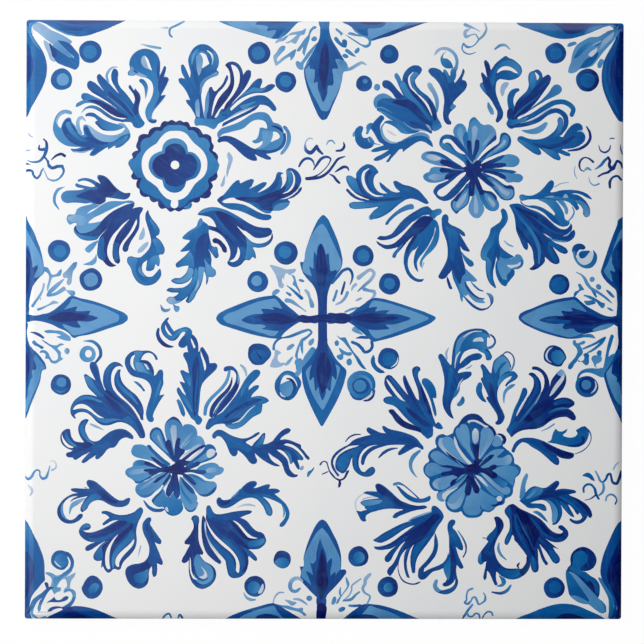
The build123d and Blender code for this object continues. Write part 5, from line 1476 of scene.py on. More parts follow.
# Long waved leaf, left of the bottom right rosette
draw("""
royal indigo 423.2,447 423,449.2 421.6,449.4 419.6,448 416,446.9 412,448.6 407,451.4 402,454 399,455
  397.6,454 398.4,451.4 401,448.4 404.6,444.8! 400,444.6 394,444.6 388,445 382,446.6 376,448.6 371,451.4
  367,455.4 364.8,460 363.4,464.4 362,465 360.8,463.4 360.8,459.6 362,455 365,451.4 369,447.8 374,445.4
  378,444.8! 373,445 368,446.4 364,449 361,452.6 359,457 358.4,461.6 358.8,466 360.4,469.6 362.8,471.6
  364.4,471.4 367,469 370,467 372.4,466.4 374.4,468 375,470.6 373.6,473.4 370.6,475.8 366.6,476.6 362.4,476
  358,473.8 354.4,470.4 352.4,466 351.8,461 352,457! 350.6,460 349.6,463.6! 348.6,466 347,469 344.4,472.4
  342,473.2 339.4,472 336,469.4 334.9,466 335.2,461.6 336.6,457.6 339,454.4 342.6,451.8 347,449.4 352,447.6
  356,446.4 359,445.2! 354,445.3 349.4,445.8 344.6,448.4 340,451.6 336,455.4 333.4,459.6 332.8,463!
  334.4,467.4 336.6,471.6 339,475.2 338,476.2 335.4,473.6 332.6,469.6 330.8,465 330.6,460.6 332,456.4
  335,452.4 339,449.2 343.4,446.6 347.6,444.6 349.2,443.4 352,440.6 356,438.4 361,436.8 366,435.4
  370.4,434.6! 368,432.6 366.2,430.2 366.4,428.2 368,427 371,428 375,430 380,432.2 385.4,433! 383.4,430.4
  382,427.4 382,425.8 384,425.7 387,427.6 391,429.2 396,430.2 402,431.6 408,433.6 413.4,436 417.4,439.2
  420.4,443
cobalt royal 337.4,459 341,455 346,452 352,449.4 358,447 363,446 360,450 357,456 356.6,463 358.6,470
  363,473.6 368,472.4 372,469 373,471.6 369,474.6 363,475 357.6,472 354,467 353,460 351.6,455 349,461
  346,466.6 343,471 340,470.4 337,467 336,463
royal indigo 372,436 380,435.6 390,434 400,435 409,437.4 415,441 419,446 412,446.4 406,448.4 400,452.6
  402,448 407,443 398,442 388,442.4 378,444 368,443.6 358,443 366,439.6
indigo navy 1 1.6 1.6 1 345.2,441.4 349,437 354.6,434.4 360.4,434.2
indigo royal 1.4 3 2.6 1 378.4,457.4 384,452 390,449 397.4,447.8
azure sky 2.4 4.2 4.2 3.4 2.4 0.8 419.4,450.6 413.4,456 410.4,462 410.8,468.6 413.6,473.6 416.6,477
""")

# Curled line between the two lower rosettes
draw("""
navy indigo 348.8,470 347.4,474 345.6,477.4 343,479.8 340.8,480.6 341,483.4 339.4,487 338,487.4 337.8,484.6
  338.2,481 335,478.8 331,475 328.4,470.6 327,466 326,463 324.4,461.6 322,462.6 320.4,465.2 319.2,464.8
  321,461.6 324.2,460.4 327,461.8 328.2,465.4 329.6,469.8 332.4,473.6 336,477.4 339.6,478.8 343,477.4
  345,473.6 346.6,470.4
indigo 1 1.4 1 321.8,474 325,472.6 328,471.2
azure cobalt 1.8 3.4 2 1 307.6,476 309,472.6 312,470 313.6,467.4
""")

# Leaf of arched plumes, right and below the bottom right rosette
draw("""
azure sky 519.8,498.6 519.6,492 520.4,486 521.8,480 524,475.4 526.4,472.8 527.6,474 527.6,476.6 526,481.6
  525,487 525.2,492 523.6,496.4 521.4,499.4
royal indigo 519,500 520.4,501.6 524,504.6 528,507.6 532,508 537,507.8 541,509.6 544,510.6 545.9,510.2
  545.8,507 544,504.4 540.6,503.2 536,503 530,502.8! 534,501 538,500 542,499.6 546,501! 549,504 551,509
  551.6,514 551.4,519 552.4,522.4! 551.6,524 554.6,524.4 557.4,522.6 560,519 561.8,514 561.8,509
  560.4,504.6! 563,508 567,512.6 570.4,515.8 573.8,516.8 572.4,513 569.8,508.4 567.8,504! 570,505.6
  573.6,509.6 576.4,513.8 577.6,514.6 578.6,513 580,511.8 581.6,512.8 582.2,515.4 580.6,518.6 577,520
  573,519.6 570,518 569,518.6 569.6,520.4 572.6,522.6 576.6,523.8 580.6,523 584.4,520.4 586.8,517
  587.4,515.4! 588.4,517 590,517.6 591.6,516 591.4,512 589.6,508 586,503.8 581,500.4 576,497.6 571,495.6
  568.4,494.4! 572,493.2 575,492.6 575.8,491.4 574,489.8 570,489 564,488.2 558,488.8 554.8,489.9! 557,487
  558.9,483.6 558.6,481 556.4,480.2 553,482 549,485 545.6,487.2 543,487.6 539,486.8 534,485.8 530.6,487
  527.6,489.4 525,492.4! 524.4,494.6 523,497 521,499
cobalt azure 524,496 527,492 531,488.6 535,487 539,487.4 542.6,488.6 541,493 536,496 530,498.6 524.6,500.2
  521.6,499.8
sky azure 525.6,498 530,493.6 534,488.6 537,487.6 536,491 532,495 528,498
azure sky 545,499.6 549,500 553,503 556.4,508 557.4,513.4 556.6,518.4 554.4,522.4 552,522 551.6,517
  552,511.6 550.6,506 547.4,501.8
navy indigo 541,494 546,490 551,486.4 556,482.4 558,482.6 556,486.6 554,490 558,490.6 565,490.4 572,490.8
  575,491.8 570,493.4 563,494.6 558,496 563,500 569,504 565,503.6 558,499.6 552,497.4 545,498 538,499
night navy 570,495.8 576,498 582,501.6 587,506 590.6,511 591.2,516 589.4,517 586.6,512 582,506 576,500.4
cobalt royal 1 2.8 3 2.4 1.4 560,496.6 568,501 575,507 581,513 583,518
cobalt royal 1 2.6 2.4 1 560,501 565,507 569,512 572.6,516
cobalt royal 1 2.6 2.6 1 555,499.6 559,506 559.6,513 557,520
royal cobalt 2 3.6 3.6 2 528,505.4 534,505.4 540,506.4 544.4,508.6
azure cobalt 532.4,511.4 536,510.4 540,512 543.6,515.4 546.4,519.6 547.8,521.8 545,520.6 541,517.4 536.6,514
""")

# Pale rosette with separate petals, in the bottom left quarter
draw("""
azure sky 131,451.6 132,447.6 134,445 138,444.2 142.4,444.4 146,446! 148.4,444.4 150.6,446 153,449 158,454
  164,459 169,463.6 170.6,466 165,466.4 158,464 152,461 146,459.4 140,458.2 135,456.6 132,454.4
royal cobalt 147.6,445 149.6,444.8 152,447.6 157,452.6 163,458 170,464.6 167,465 160,460 153,453.4
  148.6,448.4
azure sky 125,473 125.6,470 128.4,467.8 132,466.4 133,462.8 136,460.2 140,459.6 145,460.4 151,462.6
  156,465.6 160,467.6 158,473 152,476.6 146,479.4 140,482.4 136.4,483.4 134,481 131,478.6 127.6,476.6
cobalt royal 134,480.6 138,481.4 143,479.6 149,476.4 154,474 151,477.6 145,480.4 139,483.4 135.6,483
azure cobalt 133.4,465 135.6,461.4 140,460 146,461.4 148,464 143,465.4 138,465.4
sky mist 128,471.6 133,469.4 139,468.8 145,469 147,471 141,473 134,474.4 129.4,474
azure sky 135,489.4 136,485.4 140,482.8 146,480.6 152,477.4 158,474 165,471.6 170,472 167,477.6 163.6,483
  160,487.6 155,491.6 150,496 145,497.6 140.4,496.4 136.6,493.6
azure cobalt 135.4,490.6 138,493 143,494.8 149.4,494 155,490.4 150.4,495.8 145.4,497.6 140.2,496.6
sky mist 1.4 3 2 0.8 140,489 146,485.4 151,481.6 155,478.4
cobalt royal 143.2,499.8 145.4,501.4 148.6,505 153,507.6 158,508.6 162.4,508.2 164.6,509 162.6,511 158,512
  152.6,511.4 148,508.6 144.8,504.4
azure cobalt 164.6,491 166.4,496 169,497 171.6,494 173.4,491 175.6,496 178,498.6 180.6,498 182,503 183,508
  180.4,512.4 176,515.2 171,515.4 167,513.4 164.6,509.6! 163,507 158.6,507 155,505.4 152.6,503 151.4,500.4
  153.6,497 158,492.8 163,488.8
royal cobalt 164,509 167,511.6 171,514 176,513.8 180,510.6 182.6,505 182.8,509 180,513 175.6,515.4
  170.6,515.4 166.6,513
royal cobalt 151.6,500.4 154,496.6 158.6,492.4 164,488.4 161,493 157,497 154,500.6 153.4,503
haze 165,508 166.6,506.6 167.8,508.8 168.2,511.6 166.2,510.8
azure sky 180,476 184,482 188.4,486.6 192,491 195.6,494 197.2,498 196.6,501! 197.8,502 197,506 195,510
  191,511.8 187.4,511 184.6,508 182.6,503.6 180.4,499 179.8,490 179,482
cobalt azure 180.4,484 183,490 187,495.4 191,500 192.6,503 190.4,504 187,501 183.4,495.4 181,490
indigo royal 181,477 186,481.6 190.4,486 194,490.4 194.8,493.4 191.4,493.2 187,489 183,483.4
royal cobalt 0.8 1.6 1.6 0.8 184.6,507 188,510.6 192.4,510.8 195.6,507.4
azure sky 190,473.6 196,474.8 201,477.4 205.6,480.4 210,481 214,481.4 216.6,484.4 216.4,488 214,492 210,495
  205,496.4 200,495.2 196.4,492 193,487.6 188,482.4 182.4,476.4
cobalt royal 197.6,493 201,494 206,493.8 210,491.4 213.6,487.8 216,486 214.8,491 210.6,494.8 205.6,496.6
  200.6,495.6
cobalt azure 1 2.4 2 1 190,474.6 197,477 203,480.6 208,482
azure sky 199,466.4 203,464.4 208,462.9 213,462.4 217,463.8 219.6,466.4 222.4,467 223.8,469.4 222.4,472.4
  219,474.6 215.4,475.6 213,478 209.6,479.2 206,478 202.6,475.4 199.4,473.8 196,470
mist sky 206,469.6 210,467.4 215,467.6 217.6,469.4 215.6,471.4 211,472.4 206.6,471.8
azure sky 182,427 184.4,424.4 188,423.8 192.4,425 195.6,428 197.2,432 197,435.4 192.4,438 187.6,442
  182,448.6 179.6,451 180,444 181.6,436
azure sky 181,450 184,446.4 188.4,441.6 193,437.2 198,435.4 201.6,437 204,440.4 204.6,444.4 200.6,445.4
  195,447.6 190,449 186,450.4
sky mist 1.4 3 2.4 1 192,433 187.6,437.6 183.4,443 180.6,448
mist haze 196.6,444.6 200,443.8 201.4,445.4 197.6,448.2 192,451.4 186,454.8 181,458.4 183.6,454.4 189,450
royal cobalt 186,461.4 190,458.6 195,454 200,449.4 204.4,445.6 208,443.9 212,444.6 215,447.4 215.8,450.2
  214.8,451.8 216.6,452 217,454 215,457 211,459.4 206,461.4 201,463 196,465.6 190,467.6 186,467
haze 188,460.6 192,456.8 197,452.2 201.6,448.6 204.8,446.9 203,450 199,453.8 194,457.8 190,460.6
azure sky 193,462.6 198,458.4 203,454.6 207,452 209.4,456.6 205,459.6 200,461.8 195,464.4
haze 206.4,452 208.4,449.4 211.6,448.6 214.4,450 214.6,453.6 211.6,456.6 208,457.6 206.4,455
royal cobalt 149.4,436 150.4,431 153,428 157,427 160.4,428.6 163,433 165,438.6 167.4,445 171,453 174,462
  169,457.4 163,451.6 157,446 152,441 149.8,438.4
azure sky 151,436.6 152.6,432 155.6,429.6 159,430.4 161,434.4 162.6,440 165,446.6 168.4,453.4 163,449.6
  157.6,444.6 153,440
mist sky 157.6,434.4 159.6,437.4 161.4,442 163.6,447.6 166,451.6 162.6,448 159.4,442.6 157.4,437.6
azure sky 164.6,425 166,421.6 169,418.6 173,416.4 177,418 180.4,421.6 182.6,426 183,432 182,440 179.6,448
  177,456 175,463 172.6,456 170,448 167,441 165,434 164.4,429
royal navy 165.4,423.6 168,419.6 171,417.2 173.4,416.4 177,417.8 180,421 182,425.4 179.4,422.4 175.6,419.8
  171,419.4 167.6,421.6
mist haze 172,425 175.6,425.4 176.4,431 176.2,438 175,444 173.6,449 172.6,444 171,436 170.4,429
navy indigo 165.4,443 167,439.8 169.4,439.6 171,442.6 172,447.6 174,455 175.6,462 173,461 170,456 167.6,450
  165.4,446.4
navy indigo 176,440 178,437.4 179.8,438 180,442 179.4,447 182,448.8 184.6,449.6 184.4,452.4 181.6,455.6
  178.4,460 176.4,463 174.6,458 174.4,450 175,444
navy indigo 205.6,444.4 203.6,446.6 199,449.6 193,453.8 188,458 183,462 178.6,465 180,460.6 184.6,456.4
  190,452.4 196,448.4 201,445.4
navy indigo 182,467 189,466.4 193,463.4 197,461.4 200,461.9 199.4,464.4 195.4,467 190,469 196,469.2
  201,469.8 205,470.4 206,472.4 203.4,474 198,473.8 192,472.2 182,471.6
navy indigo 178,471 184,472.8 190,476.4 194,480.4 196,484.2 194.4,485 190,482 186,478.4 182,475 178,474
navy indigo 173.4,472 176.4,473 178,478 179,484 179.8,491 179.4,496 177.4,498.4 174.8,496.4 173,491
  171.4,494 168.4,497 166,495 165.8,490 167.4,485 170,480 171.4,475
sky mist 0.8 2.2 1.8 0.8 161,489.6 165,484.6 168.6,480 171,476
navy indigo 162.4,484.4 164,481 167,477 170,473 171,475.6 169,479 166,483 163.4,485.4
navy indigo 153,482.6 155.4,479.6 159,476.8 164,474 169,471 166,475 160,479.6 156,482.4
navy indigo 144,463.6 145,461.4 149,462 154,464.6 160,467.4 166,466.6 168,468.6 164,471.6 159,472.6
  154,474.4 149.6,474.6 148,472 150.6,471.6 144,471 143,470 147,468.8 153,468.4 157,468 151,466.6 146,465.2
navy indigo 150.4,456.4 153,457 157,459.4 162,463 168,466 163,467.4 157,464 153,460
night navy 164,468 170,465.8 174.6,463 178,459.6 182,459 186,460.4 190,461 188,463.6 184,466.4 187,469.6
  185,472.6 180,472.4 178,474.4 175,474.4 172,473.6 168,472.6 163,471.6
""")

# Leaf with a broad curled head, above the bottom left rosette
draw("""
royal cobalt 124.6,362 125.4,358 128,354.4 132,351.4 137,350.2 142,350.6 147,350.4 151,351.2 154.6,353.6
  157,356.8 157.6,359.4 156,360 154.4,357 152,354 148.6,352.8 145,353.6 142.6,356 140.8,359.6! 143,359.8
  147,360.4 150.4,363 152.6,366.6 153.8,371 154,375.6! 155.6,374.6 157.6,371.6 159.4,369.6 162,369.8
  163.2,373 163,379 163.4,383 161.8,388 160,392.4 159.6,395! 162,394.6 164.4,394.2 162.6,396.8 160,400.6
  157,406 154,412 152.8,416 153.8,419.4 152.6,421.6 149.4,421.8 146.8,418.6 145.8,414 146.6,408 148.4,402
  150.4,396 151.2,390 150.2,385.4 147.4,381.4 143,378.8 137.6,377.4 132.6,376 128.6,372.6 126,367.6
azure cobalt 134,352.4 139,351.2 143,352.4 140.8,356 139.6,360.2 143,361.6 145,364.6 146.6,368.4 149,371.6
  153,376 149,374.4 143,372.6 137,371.4 134.2,368 133.6,362 134.6,356.6
sky azure 136,362.4 140,362.8 143,365.6 145.6,370 149.6,373.6 144,372 138,371 135.6,367
white 134.6,354.8 133.4,359.4 133.2,364 134.6,368.6 135.4,370.4 132.6,368 130.6,364.4 130.4,360 132,356.4
indigo navy 139,361.4 142,360.2 146.4,360.4 150.4,363 152.6,366.8 153.8,371 153.8,375 151,371.4 149,367
  145.6,363.4 142,362.4
haze 144,363.6 146,364 148,366.8 149,369.6 147.6,369.4 145.6,366.6
azure cobalt 1 3 2.6 1 160.6,381 158,389 155.4,397 152,406
azure cobalt 133.6,381.2 136.6,381.4 140,383.6 143,387.4 144.8,391 144,391.4 141,388.4 137.4,385
""")

# Tall toothed leaf, above the bottom left rosette
draw("""
royal cobalt 192,334 195,336.6 197.4,341 198.4,346.6 198.2,352! 199.4,351 200.2,348.4 202,346.6 203.6,348
  206,351.6 208.4,356 209.2,361 209.6,363! 212,362.9 215.6,363 217.2,365 216.4,368.6 213.4,372 209,376
  205,380 202.4,383.4 200.8,388 200,394 199.4,402 198.6,410 198.4,415 200.8,417 202.2,419.4 200.8,423
  198.2,424.8 196,423.6 194.4,420.6 191.6,418.6 188.6,414 185,407.6 181.8,401.6 179,396 176.8,391.6
  176.8,388.6 178.4,387 180.2,389 182.6,392.6 185.8,395.6! 184.4,392 182.4,388 180.6,384 179.4,381.4
  181.4,381.6 184.8,382.9! 182.8,378.4 181,374 180.2,370.6 181.6,369.9 184.6,370.8 187,372.6 188.9,374!
  188,369 187,363.6 184.6,358.6 183,355 183.8,352.6 186,351.9 188,352! 187.2,348.6 187,345.4! 184,347.6
  181.4,347.8 178.4,345.6 178.4,342.6 181,338.4 184,335 187,333
indigo navy 197,356 199,362 199,370 198.6,380 198.4,390 197.4,400 196.4,410 194.6,416.4 193,408 192.4,398
  192.6,388 192.2,378 192,368 194,360
royal cobalt 0.8 2 2 1 197.4,366 197,380 195.4,395 195,412
cobalt azure 188,372.6 184.6,371.4 181.6,370.8 183,375 186.4,381 190,386 191,381 190.6,376
cobalt azure 177.4,389 179,388.4 182,392.6 186.4,398 190.4,405 192,412 188.6,408 184,401.6 179.6,394.8
indigo royal 201,348.6 203,349 206,353.6 208.4,359 208.6,364 212,364 216,364.8 214,369 209,374 204,379.6
  202,382.6 203.4,378 205,373 206.4,367 205.4,360 203,354
indigo royal 191,334.6 194.6,337 197,341 198,346.6 197.8,352.6 196,351 195.4,346 194,341.6 192,338
white 190.9,338 192.4,340.4 194,344 195,347.6 194,348 192.4,344.6 191,341
white 200.4,351 202.4,355.6 204.4,360.4 205.8,365 205.6,369 204.8,370.4 203.6,366 202,359.6 200.6,354.6
azure cobalt 176.8,399.6 178.4,399 180.4,400.8 182.6,404.8 184.4,410 185,414.4 183.8,416.6 181.6,414.8
  179.6,410 177.8,404.6
""")

# Fan of streaming fingers, above and right of the bottom left rosette
draw("""
azure sky 3.4 3.8 3.6 3.4 3.4 3.4 3.2 2.8 204.8,414 206,406.4 209.6,400 215,394.4 221,388.6 226,382
  228.4,375.6 229.2,370.4
royal indigo 223.4,369.4 224.4,367 228,365.8 232.4,366.2 236.2,369.6 238.6,374.4 239.6,380 238.4,387 235,394
  230.4,400.6 225,406.8 220.8,411.4 217,414.6 213.4,418.4 213,414.6 216,408.4 220.6,402 226,395.4
  230.6,389.6 234,384 236,378 235.6,373.4 233.6,370.8 230,369.9 226.6,371 224.6,371.4
navy indigo 231.8,376.4 232.4,380 231.6,385 229.4,390 225.6,394.6 220.6,400 216.4,406 213.4,412 212,418
  209.6,416.4 209.4,411 211.2,405.6 214.6,400.6 219,395.6 224,391 228.4,385.6 230.6,380.6
navy indigo 236.4,382 238,380 238.4,385 235.6,392 230.6,399.4 224.6,406 219.4,411.4 218,410 221.6,403.6
  227,396.6 232,390
sky 0.4 1 1 0.4 229.4,391 224,397.6 218.6,405 214.6,414
sky mist 0.4 1.4 0.6 237.4,372.6 238.4,378 237.6,384
mist 2 3 2.6 1.4 240.6,365 243.6,367.6 245.6,371.6 246.2,376
royal cobalt 205.4,427 206.6,423 209.4,418.4 213,417.6 217,414.8 221,412.6 226,407.4 231,401 236,394.4
  240.6,387 244,380.6 247,376.4 250.6,372.4 254,369.8 257.4,369.4 260.2,371.4 259.4,375 256.4,378.6
  252.6,382.4 249,386.6 248.4,389.8! 251,387.6 255,385.2 258.9,385.4 258.2,388 255,391.4 252,394.6
  250.8,397.2! 254,396.2 259,395.6 264,396.6 267.4,398.6 268.8,400.6 266.4,402.6 262.4,404! 262,407
  261.8,410 260.4,413 256.6,415 252,417.6 248.6,420.6 245,424 240.6,427 235,429 230,428.6 226,426 224.4,424
  219.4,423.8 215,424.6 211.4,427 208.4,429.4 206,429.2
cobalt azure 246,381 250,375 255,370.8 258.6,371.6 257.6,375 252.6,380 247.4,386.4 243,392 240.6,396
  241.6,389
cobalt royal 212,421 218,416 226,410.6 234,404 242,397.4 248,393.4 246.4,398 240,404 231,411 222,417.4
  214,424 208.6,428.6 206.6,426.6
azure cobalt 252,397 258,396 264,397.2 267.8,400.4 262,403.2 258,402.6 262,399.6 257,398
indigo royal 243,403 250,400.4 257,398.4 261.4,399 257,402 250,405 243,409 236,414.6 229,419.6 235,412.6
navy indigo 224.4,417.4 228,413 234,408.6 241,404.4 247,402 243,406.4 236,410.6 230,415 225.4,417.8
indigo navy 222,422.6 228,420.4 234,418.4 240,417.8 237.6,420.6 231,422.4 225,423.6
azure cobalt 225,425.4 230,424.4 235,424 240,421.4 244.6,417 249,411.6 254,407 259,404.4 262,404.6
  261.4,409.6 260,413 255,415.4 250,418.6 246,422.6 240.6,426.6 235,428.8 229.6,428.2
haze 0.5 1.6 1.6 1.2 0.5 232,423.2 238.4,421 243.4,416.4 248.4,410.4 254.8,405.4
""")

# Leaf of short rounded fingers, left of the bottom left rosette
draw("""
royal indigo 133.4,437.6 132.6,439 130,438.6 126.4,437.4 122.6,438.2 119,441 116.6,445 113.6,447.4 109.6,448
  106.6,450 104,453.6 100.6,457 97.4,459.2 95.6,458.8 95,456.8 96,454.8! 93,457 89,459.6 85.4,462.2 82.6,463
  81.4,461.8 83,459 86.6,455 90,451.4! 87,453.4 82.6,455.4 79,457.8 76,459.6 73.8,459.4 72.8,457.4! 70,457.4
  67,456.6 65.8,454.6 67,452.4 70,451.8 72.4,450.2! 68.6,449 65,447 61.8,443.6 60.2,439 60.6,434.4 63,430.8
  66.4,428.8 69.6,428.9 70.4,432 71.6,437 74.6,440.8 78,441.8 84,442.2! 81,438 78.8,433.6 78,428.4
  79.4,423.4 82.4,420 86,418.8 88.6,419.8 87.4,422.4 85.4,426 85.2,430.4 87,435 90.4,439.8 93.6,441.2
  98,440.6 102.6,437 107,433.4 112,430.4 117.6,428.8 123,428.8 128,431 131.6,434
royal indigo 92,444 99,441.4 106,436 113,431 120,430 127,432 131,436 126,435.4 120,437.4 115,443 108,446.6
  102,452 97,457.6 96.6,453 94,452.6 86,459.4 83,461.6 88,454 92,449
indigo navy 74,441.4 80,442.4 88,442 94,443.4 88,448 80,451 74,455 68,456 66.6,454 72,451.4 78,448 76,444.4
cobalt azure 1.6 4 3.6 2 1 85,422 81.6,428 83.4,434 88,440 94,444
cobalt azure 1.4 3.4 3 1.4 65.4,431 66.6,437 70.6,442.6 76,446
white 61.8,433.6 62.8,437.2 65.2,441 68.4,444.4 73.4,447.2 70.4,447.8 66.6,446.2 63.4,442.6 61.8,438
mist 2 2.6 1 90.4,424 96,426.4 103,429.6
""")

# Curl on top of the tall leaf, with a crescent beside it, and two commas over it
draw("""
azure sky 160.4,304 162,306.4 164.4,308.6 167.6,308.8 170.4,308.4 170,310 167,312 163.6,312 161.4,310.4
  160.6,307.6
azure sky 173,303.6 176,305.6 178.8,306 179.6,308.4 178.6,311.2 176.4,312 174.4,310.6 173.6,307.4
royal cobalt 161,330 161.2,325 163.4,321.4 166.6,318 168.4,317 168.8,318.6 167.4,320.8 169.2,324 171.2,327.4
  174,331.2! 177,329.4 181,327.8 186,326.8 189.4,328 192,331 192,334 190.6,337 188,340! 184,333.6! 185.4,333
  184.6,331.8 182.6,332 180,334.6 177.4,338.4 174,340.6 170.4,340.6 166.6,338.4 163,334.6
cobalt azure 1 2.6 3.2 3 3.2 3 1.4 163.4,324 163.4,330 167.4,336 172,338 176,334.6 181,330.6 187,329.6
white 165.2,325 165.4,329 167.2,332.6 169.6,335 171.8,335.8 170,333 167.8,330 166.4,327.4
indigo navy 158.2,327.6 159.2,328 159.2,332.4 160.4,337 163.4,341 167.4,344 171.4,345.6 174,346.4
  171.4,347.6 168,347.6 163.4,346.2 159.4,342.8 156.6,338 155.8,333.4 156.6,330
""")

# Broad fan of swept fingers, above and left of the bottom left rosette
draw("""
royal indigo 84,374.6 84.4,378 86,383 88.6,388 92.4,392 97,396.6! 92,395 87,394.4 82,395 77.4,397.6
  73.4,401.4 71.2,405.4 70.2,410 70.8,414 73,417.2 75.4,418.6 75.8,417.6 74.6,415.6 77,413 81,412 86,412.6
  90,415 94,419 97.6,422.6 101,424.6 106,425.4 111,424.6 116,422.6 120,422 125,423 130,425.6 134.6,430
  138,435 139.6,437.6 142,438.2 144.6,437.4 145,434 143.6,429 141.4,423.6 138.6,418.6 135,412.4 130.6,406.4
  126,401.8 120.6,397.6 116.4,393.4 113,388.6 111.4,383.4 111,378 111.8,373 113.6,369 117,366.4 120,366
  123,367 121,364 118,362.2 114,361.8 110,363.6 106.4,367.4 104,371.6 103,377 103,383 104.6,388 108,393.2!
  105,390 102.6,385 100.6,379 99.4,373 98,367 95.6,362.8 93,361.4 90.4,362.4 89.6,366 90.4,370 92.6,374.6
  95.4,380! 92,378 88,375.2 85.4,373.9
azure cobalt 85,376 88,376.4 92,380 95,385 99,391 104,396 100,396.6 94,391.6 89,386.4 86,381
indigo royal 91,363.4 94,363.4 97,369 99,376 101,383 104,389 100,386.4 96,380 92.6,373 90.6,368
cobalt royal 1 2.6 3.6 3.4 1.4 118,363.6 111.4,366 107.4,373 107,381 110,389
cobalt azure 72,406 75.6,400.6 81,396.6 88,396 95,398 102,402 97,402 90,399.4 83,399.6 77.4,402.4 73.4,406.4
  72.4,411 74,415.4 71.8,412
indigo royal 84,400 92,399.6 99,402.6 106,407 113,411.6 120,416 114,415 106,411.4 98,407 90,402.6
cobalt azure 74,412 79,410.4 85,411 90,413.6 95,418 100,421.6 106,423 112,421.4 118,420 124,420.6 117,418.6
  108,418.4 101,418 95,415.6 90,412.4 84,409.6 78,409.6
navy indigo 104,394 110,398 116,402.4 122,408 128,413 132,417.6 127,416.4 120,413 113,407.6 107,401.6
navy indigo 105,390 109,391 114,395.6 120,400 127,405.4 132.6,411.6 136,417 130,412 123,405.6 116,400
  109,395.6
cobalt royal 128,416 133,420.4 137,426 140,432 142.4,437 140,436.4 136,430 131,425 125,421.6 120,420 124,418
white 73,409.6 74.6,406.6 78,404.4 82,403.8 86,405 90,407.6 94,411.4 98,414.8 104,418! 99,417.4 94.6,414.6
  90.4,411.4 86,409 81.4,408.2 77,408.8
royal indigo 120.4,369.4 118.6,369.2 116.6,371.4 114.6,375.6 114,380 114.6,385 117,390 121,394.6 126,399.6
  131,404.4 135.6,409.4 139,415 141.6,420 142.6,420.2 143.2,416 143.6,411 142.6,406 140,400.4 136,395
  130.6,390.6 126,386.6 122.6,382.6 120.6,377.6 120,373
navy indigo 120,392 126,396.4 132,402 137,408 140.6,415 142,419.4 138,413.6 133,406 127,400
cobalt azure 1 3 3 1 118,372 117.4,381 123,389 131,396 137.6,404
""")

# Leaf with long fingers that reach right from the bottom left rosette
draw("""
sky mist 299.6,469.4 300.6,466.4 303,465.4 303.6,467.6 301.6,470
royal indigo 212.2,437.4 212,434.6 214,431.8 217.6,429.6 221.6,429.8 226,432.2 231,435 236.4,437 242,438.2
  247.4,437.6 252,435.4 256.4,432.4 258.6,431.8 259.6,432.6 256.6,435.6 251.6,438.6 247,440.8 245.4,442!
  247.6,443.8 251.6,446! 254,442.4 257.6,439 260.6,435.4 262.6,433.2 264.8,432.8 265,436 264.2,440 263,444!
  266,443.6 270,442 272.4,440.6 275.6,436.4 279.4,432.2 284,428.8 288,427.8 290.6,429.6 289.4,432
  285.4,434.4 281.6,437 280,439.2 284.6,439 290,440 295.6,442.4 300.8,445.2 301,447.4 303.6,450.4
  306.6,454.4 309.4,458.4 308.6,459.6 305.8,458.2 303,454 299,449.4 295,446 290,443.8 284.8,443.6
  283.6,444.6! 287,445.6 292,447.4 297,450.8 300.6,454.6 303.2,458.4 302.4,460 299.4,459.8 297.6,459.8
  298.4,463 299.4,467 298.8,469.6 297,468.4 294.6,464.4 292.8,461.4! 291.6,463.4 290,463.6 289,460 287,455.6
  284,452 280,449.6 276.6,449.6! 278,451 281.6,453.6 285,456.6 287.4,460 288.4,464 289.4,468.4 292,472
  295,474.2 297.6,474.4 297.2,476 295,477 291,477 287,475 284.4,471.4 283,467 281.4,463 278.6,460 275,457.6
  271,455 268,452.4! 269,455.6 271,459.4 274.4,462.4 278,464.4 280,465.8 277.6,466.2 273,465.4 268,463
  263,460 258.6,456.6 254.6,453! 255.4,456.4 257,460 256,463 253,464 249.6,462.4 247,459 244.6,456 241,452.6
  237.6,450! 237.4,453 235.4,455.8 232.6,456 230,453.4 228,449 226,444 223.4,439.6 220.6,436.8 217.6,435.9
  216,437 214.6,438.6
indigo navy 268,444 274,441.6 280,441 287,441.4 294,443.6 299,446 294,444.4 288,443 283,444 278,446 283,448
  288,452 292,458 290,459 286,453.6 280,449 272,449 264,450.4 258,449.4 262,446.4
royal cobalt 216,433.4 220,431.6 226,434 233,437.6 240,440 246,444.4 252,449 248,452 241,449 235,446 230,448
  226,441 221.6,435.6
cobalt azure 254.4,446 257,442.4 260.6,438 263.6,434.4 264,437.4 262.6,443 259,445 256,447
cobalt royal 300,455 302.6,458.6 299,459.4 297,456 293,451 288,448 283,446.4 288,447 294,450
cobalt azure 1 3 3 1.6 283.6,449.6 288,453.4 290,458 290.6,462.4
""")

